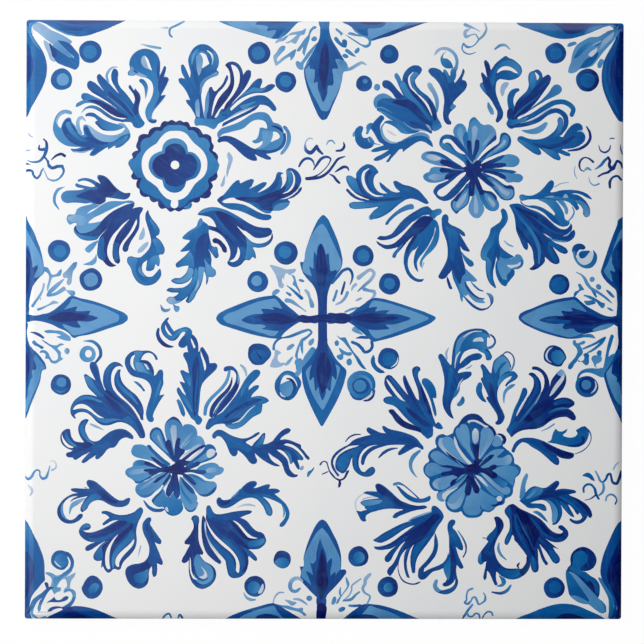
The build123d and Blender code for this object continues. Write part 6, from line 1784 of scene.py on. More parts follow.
# Crested leaf that arches right of the bottom left rosette
draw("""
haze mist 0.6 2 2.2 1 236.6,507.4 243,505 249,504.4 255,505.8
royal cobalt 216.2,502 216.6,499 218.4,497 220.4,497.6 222.4,499.6 225,499.8 229,499 233,496.4 237,492.4
  241,488 244.6,484.4 248.6,481.6 252.6,480.6 256,481.4 256.8,483.4 255.6,485.6 253.4,487.8! 258,487 263,485
  267,484 269.6,484.2 269.8,486 268.4,488.4! 272,488.2 276,488.4 278.6,489.4 279.8,490.8 278.4,492.2
  274.4,493.8! 278,496.6 282,500 285.6,503.6 288,508 289.4,513 288.6,518 286.4,522 283.4,525.8 281,526.8
  279.2,525.8 279.6,523.8 282.4,520.4 284.6,517 285.4,512.6 284.2,508.6 281.4,504.6 277.4,502 272,499.6
  266.6,497.6 262.6,496.6! 266,499.4 269.4,503.6 271.6,508 272.4,512 271.4,515 269,515.8 266.6,514.4 265,511
  263,506.4 260,502.4 256.4,499 252,497.6 247,497.8 242,499.4 237,502.4 232,505.8 227,507.8 222,508
  218.4,506.2
indigo royal 243,488 248,483.6 254,482.4 256,483.4 252.6,486.8 253,489 260,487.2 267,485.4 269,486
  267.6,489.6 274,489.4 279,490.8 273,492.6 278,497 274,497 266,493.6 258,493.6 250,493.6 244,491.4
cobalt azure 252,495 258,495 262,497.6 266.6,502.4 270,508 271,513.4 268.6,514.6 265.6,509 262,503 257,498.4
indigo navy 217,499.4 218.6,498 221,500 226,501 231,500 227,504 221,505.4 218,503
sky azure 230.4,497.8 235,493.4 240,488.6 238,492.6 234,496.4
azure sky 0.6 2 2 0.8 281.6,505 283.6,508.6 284,513 283,517
""")

# Leaf with a long scythe-like finger, left of the bottom left rosette
draw("""
mist 1 1.4 84,487 86.6,487.8
royal indigo 129.8,501 130,498.6 128.8,497.6 126.4,498.2 123,500 119,500 114.6,497.6 110,494 105,489.4
  100,485 95.6,481.6 91.4,480 88,479.8 86.2,482 87,485 89.4,488.4! 85,488.4 79,488.2 73.6,488 70.6,489
  71.4,490.6 74.6,492 77.6,492.9! 73,493.6 68.4,495.6 63.6,499 60,503 57.4,508 57,513 58.8,518 62.4,521.6
  67,523.4 72,523.4 76.6,521.8 80.6,519 82.8,515.6 82.4,514 79.4,513.8 77.4,515.4 75,518 72,519.6 68.6,519.6
  65.4,516.8 63.4,512.6 62.8,508 63.6,503.4 66.4,499.6 70.6,497 75,496 78,495.8! 74,497.6 71.4,499.6 70,502
  73,500 77,498.4 82,497.2 87.4,496! 84.6,499 82.4,503 80.6,507 80.4,510.4 81.8,512 84.4,510.8 87,508.4
  89,504.6 91.6,502 95,500.4 99,500 103,501 107,503.4 112,505.8 118,507 124,506.4 128,504.2
indigo navy 88,481.4 92,482 97,485.4 102,490 107,494.6 112,499 118,501.6 113,503.4 106,500.6 100,495.6
  95,490.6 90.6,486
cobalt azure 96,493.6 101,497.4 98,499 93.6,500 89.6,502.6 86.4,507 83,510 81.6,508 84,502.6 88,497.6
  91.6,494.4
sky azure 63,502 61,506.6 60.6,511 61.8,515.6 65,518.8 68,520.4 65,516.4 63.2,511.6 63,506.6
sky mist 71,503.4 75.4,500.4 81,498.4 85.4,497.6 82.4,501 77,505 72,508.4 70.4,512.4 69.4,514.4 69,510
  69.8,506
""")

# Fan of hooked and clawed fingers, below and left of the bottom left rosette
draw("""
sky haze 0.8 1.6 1 140.6,545.4 139.4,550.4 138,556
azure cobalt 101.8,560.4 103,563.4 102,567 101.2,567.6 101,564
royal indigo 143,511 142.4,508.4 140.4,507 138,508.2 134.6,511.2 130,513.4 124,514.6 118,514.6 113,513.2
  108.6,511.2 104.6,510.6 101.4,511.6 101.4,513.2 104.6,514 108,516.2 109.4,517.6! 106.6,519.4 103.6,522
  102.2,524 103,525.2 106,524 110,521.6 114,520.2 118,520! 113,522.4 108,525.4 102,528.6 97,530.6 91,532.2
  86,532 82.6,530.2! 86,530.2 89.4,529 90.8,526.6 89.6,524 86.4,523 83,524.2 80,527.4 78.6,531 79.6,534.8
  82.4,538 86.4,540.6 91,542 95,542! 91,543.4 87,545.4 85,548 85.4,550.2 87.6,550.8 91,549.6 95,547
  100,543.6 105.6,540.4! 101.6,543.6 98,547.6 95.2,551.4 93.2,555.4 93.6,558.8 96,560.6 99.4,560.8
  101.8,560.2! 102,563.4 103.2,567 105.4,570.8 108,572.6 110.6,571.6 112.6,569.4 115,568.8 118,569.8
  120.4,568.6 121.2,566 123.4,561.6 127.4,557.4 131.6,553 134.6,548.6 136.2,543.6 136.6,538 136,532
  136.8,526 138.8,520.4 141.4,515.4
cobalt royal 136,512.4 140,509 142.4,511 139,517 136.4,522 133,524 127,521 119,519.6 112,520 108,519.6
  111,517.2 106,513 110,513 116,516 124,517 131,515.4
indigo navy 84,533 92,534 100,531.4 107,528 114,524 121,520.6 127,522 122,527 113,532 104,535.4 94,537
  87,536
cobalt royal 88,538 96,538.6 104,536.6 112,533 118,529 114,533.6 107,538.4 99,541.6 92,541.4
cobalt azure 95,553 99,547.6 104,542.6 108,540.6 105,546 102.6,552 101.6,559 98,560 95,558
navy indigo 102,546 107,541.6 112,538.6 109,544 106,550 104.6,557 104.6,563 103,560 102.4,553
navy indigo 117,537 122,531.6 128,527 132,522.6 133,526 129,532 122,538.6 116,545 112.4,551 111,558 111,564
  109.8,556 110.8,548 113.4,542
cobalt azure 131,530 134,533 134,538 129,542.6 123,548 118,553 115,558 114.4,564 113,568.4 111.4,563
  112.4,555 116,548 122,541.6 128,536
azure cobalt 2 3.6 2.6 89,526 85,525.6 81,529.6
white 118.2,534 116,537 113.4,541 111,546 109.6,551.6 109,558 109.2,564 109.6,568.6 107.8,569 106,566.6
  105,562 105,556 106,550.4 108.4,545.4 111.6,540.6 115,536.6
white 133.8,539 133.6,542.4 131.8,546 128.4,550 124.4,554 121,558.4 119,562.6 118.4,566.8 116.4,566
  115.2,563 115.6,558.8 118,554.6 122,550.4 126.6,546.4 130.8,542.6
""")

# Leaf that ends in a round bulb, below the bottom left rosette
draw("""
royal indigo 142.6,523 144.6,519.8 148,517.2 150.6,517.4 151.2,520 149.8,523 152,527.4 155.4,532.4 158.8,537
  161.2,541 160.2,544 157.6,543.6 154.4,542! 156.4,546.4 158.8,552 161,558 162.6,562 161.8,564.8 159.2,564.2
  156.8,563! 157,567.4 156.8,572 155.4,576 153.6,576.8 151.8,573 151.8,568.4 151.4,566! 149.4,569 148.6,573
  148.6,579 147,584 143,587.4 138.6,588.6 133.6,587 129,583 126,577.4 125,571 126.4,567.4 130,565 135,563.6
  140.6,562.8 145,560.4 147.8,556.4 149,551 148.6,545.6 146.6,540 143.8,534.6 142.2,529
indigo navy 126,571 129,567 135,565 141,564 147,561.4 150,566.6 146,569.4 139,572 133,575 131,580 129,582
  126.6,577
cobalt azure 134,576 138,573 143,571.4 147.6,569 147.8,575 146,580 142,583 137.6,582.6 134.4,580
indigo royal 147,523 149,528 152.6,534 154,541 156,549 158.6,556 156.4,562 153,565 150,561 151,553 150.6,545
  148,538 145.4,531
cobalt royal 1 2.6 1.4 151.6,530 155.6,536 159,541.6
cobalt royal 1 2.4 1.6 154.4,566 154.6,571 154,575
""")

# Leaf that ends in a spiral, below the bottom left rosette
draw("""
navy indigo 191,519 192,516.4 195,515 198,516.2 199,519 198.2,525 198.2,532 198.2,538 199.4,544 201.6,549
  203,553 202.2,554.4 199.4,554.4! 201.4,557.6 204.4,561 208,563 212,565.4 214.8,569 216,573.6 215,579
  212,583.6 207.6,587 202.4,588.8 197,587.4 192.6,583.4 189.8,578 188.6,572 188.4,566 188.6,560! 186.4,562
  183.6,563 181.4,561.4 182,558.4 184.6,554 187,549.4 189.6,544.6! 187,544.2 184.4,543.6 184.4,541.4
  186.6,538.4 189.4,535 191.8,531 193.4,527 193,523 192,520.6
royal cobalt 1 2 2.6 2.4 2 1 191,577 194,583 199,586.4 205,586 211,581.6 214.4,574.6
cobalt royal 192,519 193.4,516.8 196,516 198,518 197.6,523 196,526 194.4,523.6
azure sky 195,556 198,553.8 200.6,558 204.6,562 209,564.6 212.4,569 213.2,574 211.4,579.6 207,583.2
  202,584.2 197.4,582 194.4,578.4 193.6,572 193.6,564 194,558.6
indigo cobalt 1 2 2.4 2 1.2 194,566 194.8,573 198,578 203,580 207.4,578
haze 200.8,566.4 203.4,568.6 206,572 206.8,576 205.2,578.2 201.4,578.2 198.8,576.4 202,575.8 204,573.4
  203.4,570.4
white 189.8,557 190.6,561 190.8,567 192,573 194.4,577 197,579.4 193.4,578.6 190.8,574.6 189.6,569 189.4,563
""")

# Fan of flowing fingers, below and right of the bottom left rosette
draw("""
navy indigo 202,517 202.6,515.2 204,516.4 205.2,519.4 204.6,524 205,531 207,539 210,546 214,552 218,557.4
  221,562 220.2,563.6 216,562 211,558 207,554 204,548 202,540 201.2,532 201.2,524
indigo royal 206,512 206,508 207,505.6 208.6,505 210.4,506.4 211.6,509 213,511.6 215,513.4 219,514 224,513.4
  230,512 237,510.8 244,510.2 250,510.2 251.8,511 251,512.6 247,514.4 243,516 240,517.4! 244,519 248,522
  251,526 254,529 257,531 261,532 264,534.4 265,537 266,540 265,543.4 262,546.6 258,548.8 253,549.2
  250,549.2 248.4,549.6! 251,551 254,554 256.6,557.6 257,559.6 255.8,560.8 253,559.6 250.6,557.4
  248.2,555.8! 248,560 247.8,565 246.4,570 243.4,574.4 239.6,577 235,578 231,577.4 228.4,575 227,571 226,566
  225,560.6 222,556.6 218,552.6 213,548 209.6,543.6 207.4,538 206,532 205.4,526 205.4,519
cobalt royal 206.6,514 206.8,508.6 208.6,506 210.6,507.6 212.6,512 216,515.6 212,518 208,517.4
royal indigo 214,517 222,515.4 232,514 242,512.4 250,511.4 246,514 239,516.4 240,519 246,522.4 250,527.4
  255,531 261,533.6 264.4,537 258,537 252,534 247,529 242,524 236,520.6 228,519.6 220,519.6
indigo navy 208,519 214,520.6 221,523 228,527 233,531.4 238,536 243,541 247,545.6 250,548.6 246,548 240,545
  234,541.4 227,537 220,532 214,526.6 210,522.4
navy night 1 4 4.4 4 1.6 229,520.4 236,526 241.2,532.4 247,537.6 255,539
cobalt azure 247,543 252,540.6 258,539.6 264,538.6 264.4,540.6 261.6,544 257,545.8 251,546
cobalt royal 222,538.6 228,540.6 234,546 240,552 243.6,558 244.6,564 243,570 239.6,573 239.4,566 239,560
  236.4,554 231,548.4 226,543.6
cobalt royal 242,547 247,549.8 252,553 255.6,558 252,557.4 247.4,554.4
indigo navy 1 2.6 3 2.4 236,543 242,549 246,556 246.6,564 243,571
royal cobalt 206.4,528 209,535 213,541 219,546.4 225,551 230.6,556 234,563 234.8,570 232,575 229.4,572
  228,565 226,559 221.6,554.6 215.6,549.6 210.8,543.6 208,536
navy indigo 1 2.4 2.6 2.6 1.2 205.8,521 209.4,531 217,540.4 227,549.4 233.6,557 235,566
white 206,519.4 208.6,525.6 211.4,530 216,535.8 221,540.4 227,545.6 232.6,551 236.6,556.6 238.8,562
  239.2,568 238,572.6 236,571 236,566 235.4,560 232.8,555 228.6,550.6 223,546.2 218,541.6 213,536.2
  209.4,530.4 207,525
white 232.8,520.2 236,521.4 240,524.4 244,529 248,533.4 252,536.2 257,538 252,538.2 248,537 244.4,533.4
  241,529 237.4,524.6
sky white 0.5 1 1.6 2 1.6 203.8,521 205,531 208.6,541 214.4,549.4 222,558.6
""")

# Curled line cut by the bottom edge, below the bottom left rosette
draw("""
azure cobalt 2 2 2 1.6 162.6,618.4 165.4,614.6 168.6,613.4 171,617.6
azure indigo 1.4 2.2 2 177.6,618.4 179.4,614.4 182.4,618.4
""")

# Curled line cut by the left edge, with a pale crescent under it
draw("""
sky azure 1 1.4 1.8 2.8 2.6 2 1.6 1.4 23.6,468 24.6,476 28.4,479 31.6,476.4 34,472 37,469.8 39.4,470.8
  39.6,475
azure sky 1.6 2.8 2.6 1.6 1.2 39.8,475.2 42.2,478.4 45.4,477.8 48,472.4 49.8,466
haze mist 1 1.4 1.6 1.6 2 50.4,461.6 53,460.6 56,464 55.4,468 51.6,470
haze mist 1.2 2.6 2.4 1.4 27.6,485 30.6,487.6 32,491 30,495.4
""")

# Quarter flower and scrolls in the bottom left corner
draw("""
cobalt royal 23.6,517.6! 27,522 30.6,528.6 34,535.6 37.4,542 40.4,549.4 43,556.6 44.2,563 44.4,570 44.6,576
  44.8,580 42,583 38,588 34,592.6 31.4,597 30,602 29.4,608 29.8,613 32,619.4! 23.6,619.4!
azure cobalt 24.2,519.4! 27.4,525 30.6,531 33,538 34.4,546 33,552 30,548 27,542 24.2,537!
cobalt indigo 23.6,541! 27,543 31,547 34.4,554 36.4,562 36.6,570 35,578 33,586 31,594 29,601 27,608
  23.6,611!
indigo navy 23.6,551! 27.6,552 31,557 33.6,564 34,572 32.4,580 29.6,588 26.8,596 23.6,601!
indigo royal 23.6,600! 26.6,603 28.4,609 29.6,614 32,619.4! 23.6,619.4!
sky mist 45,572.6 48,572 52,573 56,575.2 60,574.6 64,572 67,570 70,568 72,570 69,574 66,577.2! 70,575
  75.4,572.6 74.4,576 71.4,580 70,584 70.4,588.6 73.6,590 75.6,593.4 75,596.6 72.6,598 72,594 69.4,591
  66.6,591.8 63.4,592.6 64,589 66.6,586 66.4,582 64.6,578.8 62,579.4 58.4,583.6 57,586.8 60.4,587.2
  60.8,590.6 57,592 54,594.4! 52.6,591.6 51.4,589.6 50,587.4 51,583.6 51.6,580 50,576.6 47,574.6
azure sky 54,577 59,576.6 63,574.6 61,579 57.4,583.6 56,587 60,588 58,591 54.4,592.6 52.6,589 53.4,584
royal sky 53.6,587.6 50,589.8 46,595 43.4,600.4 41,606 40,610.6 38.4,611.6 37.2,609 38,605 40,600
  42.4,597.4! 38,600.6 35,605 33.4,609 33,613 35.4,617.6 31.6,616.4 29.6,611 29.8,605 32,600 36,596.4 41,593
  46,588.6 50,586.4
sky azure 2 2 2.2 33,615 38,618.6 45,617
azure royal 3 3.4 3.4 4 3 72,590.6 74,595 72.6,600.6 69,605 63,608
azure sky 63.6,592.4 65,589.4 69,588.4 73.4,589.6 75.8,593 75.4,596 73,597 71.6,593 69,591 66,591.4
indigo royal 47.4,611.4 49.4,608 53,606.4 58,606 63,607 68,606.4 72,606.6 66,608.8 60,608 54,609.2 50,611.4
indigo royal 46.6,602.6 49,600.4 52.6,598 53.6,596.6 56,599.6 60,599.6 64,596.6 67,595.8 68.4,597.6
  66.6,599.8 62,601.6 56,602.2 50,602
indigo royal 44.4,582.4 46.6,582 48.4,584.6 48.2,587.6 46.6,588.6 45,585.6
royal indigo 43,619.4! 49,616 56,612.6 63,609.2 69,606.8 74,605.8 80,606 88,607.2 96,609.4 104,612.6
  112,616.2 119,619.4!
indigo navy 43,619.4! 50,615.6 57,612.2 64,608.8 70,607 74,610 80,613 88,615.4 96,619.4!
navy night 58,619.4! 62,615.6 68,612.6 74,612.4 80,614.4 86,616.6 90,619.4!
""")

# Dots round the bottom left rosette, two of them rolled up
draw("""
indigo royal 249,347 252.6,344 257,343.2 261,343.6 266,345.4 269.6,349 271.2,353 270,357 266.4,361
  262.4,364.4 258,365 253.6,364.4 250,361 248,357 247.8,352
cobalt royal 251.2,353 254,350 258,350.6 259.6,354.6 261.4,358.2 264.8,358.4 262,361.6 257,362.6 253,360.6
  250.8,357
cobalt royal 259,349.6 263,350 266,352.6 268.8,351 269,354 266,357.4 263,357 261,357.6 259.6,355 257.6,352
indigo navy 0.8 1.6 1.2 255.6,351 258.4,355 261,359
cobalt royal 287,370.4 291,371 295.6,373.6 299,377.4 301,382 300.8,385.6 298.4,389.6 296.4,394 293,398
  288.6,400.2 284,399.8 279.4,397 276,392.6 274.4,387 275,381.4 277.8,376.6 281.6,372.6 284.6,370.8
azure cobalt 279.4,378 283,374.4 287.4,372.4 292,373.8 296,376.6 298.6,381 297.6,386 296,380 292,376
  287,374.6 283,376.4
white 280.6,384.6 281.2,380 283.2,376.6 286.6,374.8 290.4,375.8 294,378.6 296.4,382.6 297,387 295.6,383.4
  293,380 289,380.2 284.4,382.2
azure sky 279.4,385.4 283,382.6 287.6,380.8 290,381 292.6,385 292.8,390 290.4,394.6 287,396.4 283,395.4
  280.4,391.6
night royal 1.2 2.4 3 3 2.4 286.4,378.4 290.6,379.2 293.8,383.2 294.4,388 292.2,393.6
haze 0.6 1.6 0.8 279.8,392 281.6,395.2 284.8,396.8
royal azure 2 4 4.2 4 4 3 61,551.8 67.6,554 71.6,560.6 70.8,567.6 66.6,572 60,577
royal cobalt oval 60.6,559.8 9.8,9.9
cobalt azure oval 61.2,560.2 6.8,7
white 0.6 1.8 2.4 2.2 67.4,556.6 69.4,561.4 68.4,566.4 64,570.8
haze 0.6 1.6 0.8 54.2,560.8 56.8,564.2 60.6,567
indigo royal 91,575.4 95.6,576 99.4,579 102,583.4 102.6,588 101,592.6 97.6,596.6 93,598.6 88,598 84.4,595
  82,591 81.4,587.4 83,584.4 84.6,581 87.4,577.4
azure cobalt 95,582.8 98,584 99,586.6 97.4,589.6 94.6,592.4 91.4,593.2 88.6,591.6 88.2,589 89.8,586.6 92,584
indigo navy oval 282,559.1 8.8,9
azure cobalt 274.4,562 277,558.8 281,557.4 285,557.8 288,560 289.2,563 287.6,566.4 283,568 279,567.2 276,565
royal indigo oval 254.6,586 10.6,10.6
indigo navy 246,583 248,578.8 252.6,576 257,576.4 261,578.6 264,582.4 262.4,584.4 258.6,583.6 255,581.2
  251,581.6 248,584
azure cobalt oval 253.4,587.2 6.2,6.2
haze 262.6,583.4 263.4,586 263,589.6 261,592.6 258.4,593.4 258,591.8 259.6,589 260.8,586
mist sky 1 2.6 3 1.6 243.4,592.4 246,597 250.4,599.4 255,599.4
""")

# Half of a star cut by the bottom edge
draw("""
royal indigo 224,619.4! 232,615 240,611.6 250,608.4 260,605.6 268,603.4 273,602.6! 279,605.4 286,609.6
  294,614.4 302.6,619.4!
sky azure 237,619.4! 244,614.6 252,611.4 261,608.4 269,606.2 273.6,605.6 276.4,610 280,614.6 284,619.4!
indigo navy 254,619.4! 257,615.6 262,613.8 268,613.6 274,614.8 279,617 281,619.4!
indigo royal 342,619.4! 350,612.6 357,607.4 361,604.6 366,603.4 372,603.8 380,604.8 390,607.4 400,610.8
  410,615 420,619.4!
sky azure 362,614 366,609.4 368.8,605.8 376,607.6 385,610.2 394,613.6 404,619.4! 378,619.4! 374,616
  368,614.4
navy indigo 344,619.4! 351,616 358,614.2 366,614 374,615.4 381,619.4!
indigo royal 316,619.4! 316,611 317.2,604 316.8,597.6 313,594 307,587.6 301.6,581.4 300,577.4 300.6,572
  299.4,566.2! 303,566 303.2,558 305,550 308,541 312,531.6 316.4,523.6 319,520.6 321.8,519.2 324.8,520.4
  328.4,525 332.4,532.6 336.6,541 339.6,549.6 340.8,556 341,563 340.6,569.4! 343,569 345.6,569.8 346,572
  343,576.8 338,583 332,589.4 326.6,595.4 325,599.4! 325,608 325.2,619.4!
sky azure 321.8,527.4! 326,532 331,539.6 335.6,548.6 339,556 340.4,562 340.2,569! 337,572.6 333,578
  327.6,585! 322,592 318,590 309.6,583.8! 305,580 301,576 301,570 303.6,566! 303.6,559 305.2,552.6
  308.8,545.6 313,537.6 317.4,531
royal indigo 319.8,538! 322.4,545.6 325.2,552.6 326.4,558 326.6,562.8! 329,559.6 331.2,557.8 331.4,564
  330,571 330.2,575.6! 332.6,573.4 335,571.6 335,576 332,580.6 328,585! 324.6,592 321,597 316.6,593 311,585!
  308.6,578 306.2,571 309,572 312.8,575! 311.4,569 309.4,561.6! 312,563.4 315.2,560.6 316,553 317.6,545.6
navy night 321.6,549 324.6,556 326.2,563 326.6,571 328,579 327,587 324,594 321,599.6 317.6,592.6 316.2,584
  316.2,574 317.4,566 319.4,557
night ink 321.4,553 323.6,560 324.6,568 325.6,577 324.6,586 322,594 319.6,589 318,580 318,570 319.4,561
indigo royal 316.8,597 321,601 325.2,597.4 325,605.4 321,604 317.2,605.4
night ink 317.2,604 321,602.6 325,604.6 325.2,619.4! 316,619.4! 316.4,611
""")

# Pale scrolls and seeds on both sides of the bottom star, and dots right of it
draw("""
mist sky 2 3.4 4 4.2 4 3.6 3.2 2.2 302,580.8 298,578 293.4,578.8 290.4,582.4 289.8,587 291.8,590.4 295.6,591
  299.6,588.2
mist 1.4 2 1.6 1.2 283.4,592.2 279,592.4 275,596 272.8,602.4
mist sky 284.4,599.4 288,599.6 293,601.4 296.4,602.2 294.4,604.4 291.6,605.6 288.6,603.4
mist sky 2 2.6 2.2 1 293.6,598.8 298,599 303,601.4 307,604.6
azure sky 276,603.8 282,605 288,605.4 294,607.4 299,608 301.4,607.2 302.8,608.4 302.6,611 305.4,613.4
  306,615.4 304,615.8 301,613 296,611 289,609.4 283,607.4
sky azure oval 309,598 3,2.8
mist sky 3.4 3.8 3.2 2.8 2 2 1.6 369.6,574.2 365.2,579 364.6,583.4 362.4,588.4 364,592 369.6,596 366.8,603.4
mist sky 1.8 2 1.6 1.4 1 360.4,578.6 355,582.4 351.6,585.4 351.2,590 348,596 343,600
sky azure 345.4,576.2 348,580 349.2,583.4 348,587.4 344.4,592 340.4,597.6 337,603.4 336,603.8 337,599.6
  340.6,595 344.4,590 346.6,586 345.6,581
sky azure 1.8 2.6 2.8 1.2 359.2,591.6 355.4,594.4 351.4,598.6 342.4,600.6
sky azure 1 2 2.2 1 340.2,587 339.6,592 340.2,596
azure sky 334.6,596 336,598 335.4,602 333.4,604.4 331.2,604 331.4,600.6 333,597
azure cobalt 338,609 340,607.2 343,606.4 345,607.6 344.2,609.8 341.6,611.4 338.8,611.6
azure royal 2.4 2.8 2.4 349,605.4 354,605.6 360,605
navy royal oval 358,556.2 10.3,10.3
azure cobalt oval 358.4,557.2 6,6
cobalt royal 1 3 1.4 350,559 354,563.6 360,564.4
navy royal oval 387.6,586.6 10.4,10.4
cobalt azure oval 388,587.2 4.8,4.8
""")

# Oval ring and a crescent, below and right of the centre star
draw("""
cobalt azure oval 361,384.8 14.2,14.6
azure sky 1 2.4 2.4 1.4 357,375.6 364,376.4 369.6,381 371.6,387.6
royal indigo oval 360.6,386 8.6,8
azure oval 359.6,385.6 6.2,6
royal indigo 1 2 2 1 349.6,393 354,398 361,399 367,396.6
haze 0.6 1.6 1.8 0.8 371.8,390.4 370.4,394.6 366.6,397.6 362.4,399.4
indigo navy 1 2.4 2.6 1.4 374.6,390 372.6,396 368.6,399.6 363.6,400.6
cobalt royal 373.2,354.6 374.6,357.6 375,362 376.6,365.6 380,368.6 384,371.2 384.6,372.4 382.4,373
  378.6,372.6 374.4,369.6 371.2,365 370.4,360.6 371.4,357
""")

# Half star against the top edge, with the loose curls beside its stem
draw("""
azure royal 217,20 260,18 303,19 302,21.5 298.5,22.5 294,26.5 289,32 283,37 278.5,38.9 271.5,38.8 265,36.8
  255,33.8 245,31 233,27.3 222,23
sky sky 226,21 256,20 262,21 270,24 276,30 275,34 273,38.3 265,36.2 253,32.6 240,29 231,25.8
royal cobalt 256,24 258,21 300,19 297,23 291,28 286,33 281,37 276,38.7 272,38 275,34 277,30.6 272,30.4
  267,31 268,27 263,25.4
cobalt azure 291,28.5 287,33.5 283,37 278.5,38.4 281,34.5 285,30 290,25.5 296,22.6
navy 0.6 4 4.4 4.4 2 0.4 254,20.6 262,20.4 275,20.6 286,20.4 295,20.6 301,21
azure royal 429,22 385,19 341,19 343,22.5 348,25 352,28 355,32 361,35.5 367,38.8 370.5,40.8 378,39.3 388,36
  400,32 412,27.8 421,24.4
sky 384,22 410,21.5 404,25 393,31 381,36 372,39.5 367.5,36 367.8,29 376,28.5 383,26.5
royal cobalt 345,22 352,25 357,29.5 362,33.5 367.6,36 367.8,29.3 376,28.6 384,25.6 387,20
navy 0.8 5 5.6 5 1 357,21.6 362,21.6 370,22 378,22 385,21.6
royal navy 0.6 4 3 1 371,39.7 388,34.6 405,28.3 424,22.8
sky azure 353,27.5 357,31.5 362,35.2 367.5,36.5 370.8,38 371.2,42 370,46 366,48 361.5,46.2 355,42 348.5,37.8
  342.6,34 341.5,36 339,33.2 335.6,30 335.5,28.2 338.5,29.5 342,32.6 349,36.6 356,40.8 362.5,44.6 366.5,45
  368.5,43 368,40 364.5,37.4 358,36.6 352,35.6 347.5,33.8 349,32.4 353,32.8 358,34.4 355.5,31.6
azure cobalt 334,38.2 335.8,36.8 338,38.5 340,41.5 341.8,43 342,40.6 344.2,39.3 346.8,41 347,44.5 346,47.6
  342.6,47.4 338.5,44.6 335.2,41.4
azure 344.8,50.8 346.2,48.8 348.5,49.6 352,52.6 355.8,57 352.5,56.4 348,53.8
azure 354.2,52.3 355.6,49.3 359,47.7 359.6,50 357.8,53 355.2,53.6
azure 342.2,55.6 343.6,54 347,54.6 348.6,57.2 346,58.4 343.4,57.6
cobalt royal 318.8,19 329,19 329.2,30 330.4,36 333,42 337.5,49 342.5,57.5 346,63.5 348,67.5 346,70
  343.5,72.5 342,80 340,88 336.6,97 332.6,106 329,114.5 325.5,119.6 322,120 319,117 315,109 310.5,98
  306.4,86 304.2,76 303.8,70 306,63.5 311,55 316,46 319.5,37.5 320,29
sky 305,66.5 311,60 316,62 324,64 333,60 340,59.5 344.5,64.5 347.6,67.8 344.5,70.6 342.6,75 341.4,82
  337.6,92 332,103 327,111.2 322,110.6 318,104 312.5,94 307.5,82 305.3,74
royal indigo 310.5,60.6 315,50 320,41 329.5,40 336,50 340.5,58.4 335.8,59 337.6,68.6 332.6,69 333.2,76
  332,85.5 328.6,85.6 327,94 323,102 320,95 317.6,88 317.2,82 314.3,83 314.6,76 314,69.4 310.5,69
navy 325.4,42.5 328.3,50 329.2,60 328.4,71 326.4,81 323.8,90.5 321,83 318.6,73 319.4,62 321.6,50
royal 1 2.6 4 305,69 309,64 315,55
azure sky 317.6,42.6 313,51 308,58.5 303.6,64.6 303,69.8 299.6,69.8 296.6,66.8 295.6,62.6 297.4,60.8
  300.2,62.4 303,59.4 306.6,54 312,47.8
azure sky 316.8,27.6 313,30 310.4,34 309.6,39 307.6,45 305.8,51 304.2,56 302.4,53 303,47.4 298.6,51.8
  297,51.4 300.4,45 304.5,39.2 308.2,35 309.6,30.6 312.4,27.2 315.4,26
azure sky 311.2,40 312.8,37.2 315.4,36.4 317.2,39 316,40.9 312,41
sky mist 306,28.6 305.4,32 304,34.8 301,35.4 298,40 295.6,43.8 293,43.4 291.2,42.4 287.6,43.6 285.6,43
  290,40.8 294,37.6 296.6,35 292,35.2 287.6,36 290.2,33.4 296,31.8 302,30.6
mist sky 2 3.4 3 1.4 276,42.6 279,40.4 283,39.6 287.6,36
mist azure 276,65.8 273.8,60.5 273.4,56 276,53 280,47.2 282.6,45.8 285.2,46.4 284.8,49.6 281,54 277,59.8
  277.2,61.2 282.4,57.6 288,54 293,50.6 296,49.2 295.4,53.4 293,58.6 290.6,60.6 290,57 286.4,58.4 281,62.6
azure sky 344,60.6 347.6,66.6 344.6,70.8 340.6,67 338.4,61.4
sky mist 2.6 3.4 3.4 3.2 1.2 345,70.4 351,68.6 357,65 362,62.8 366,65
""")

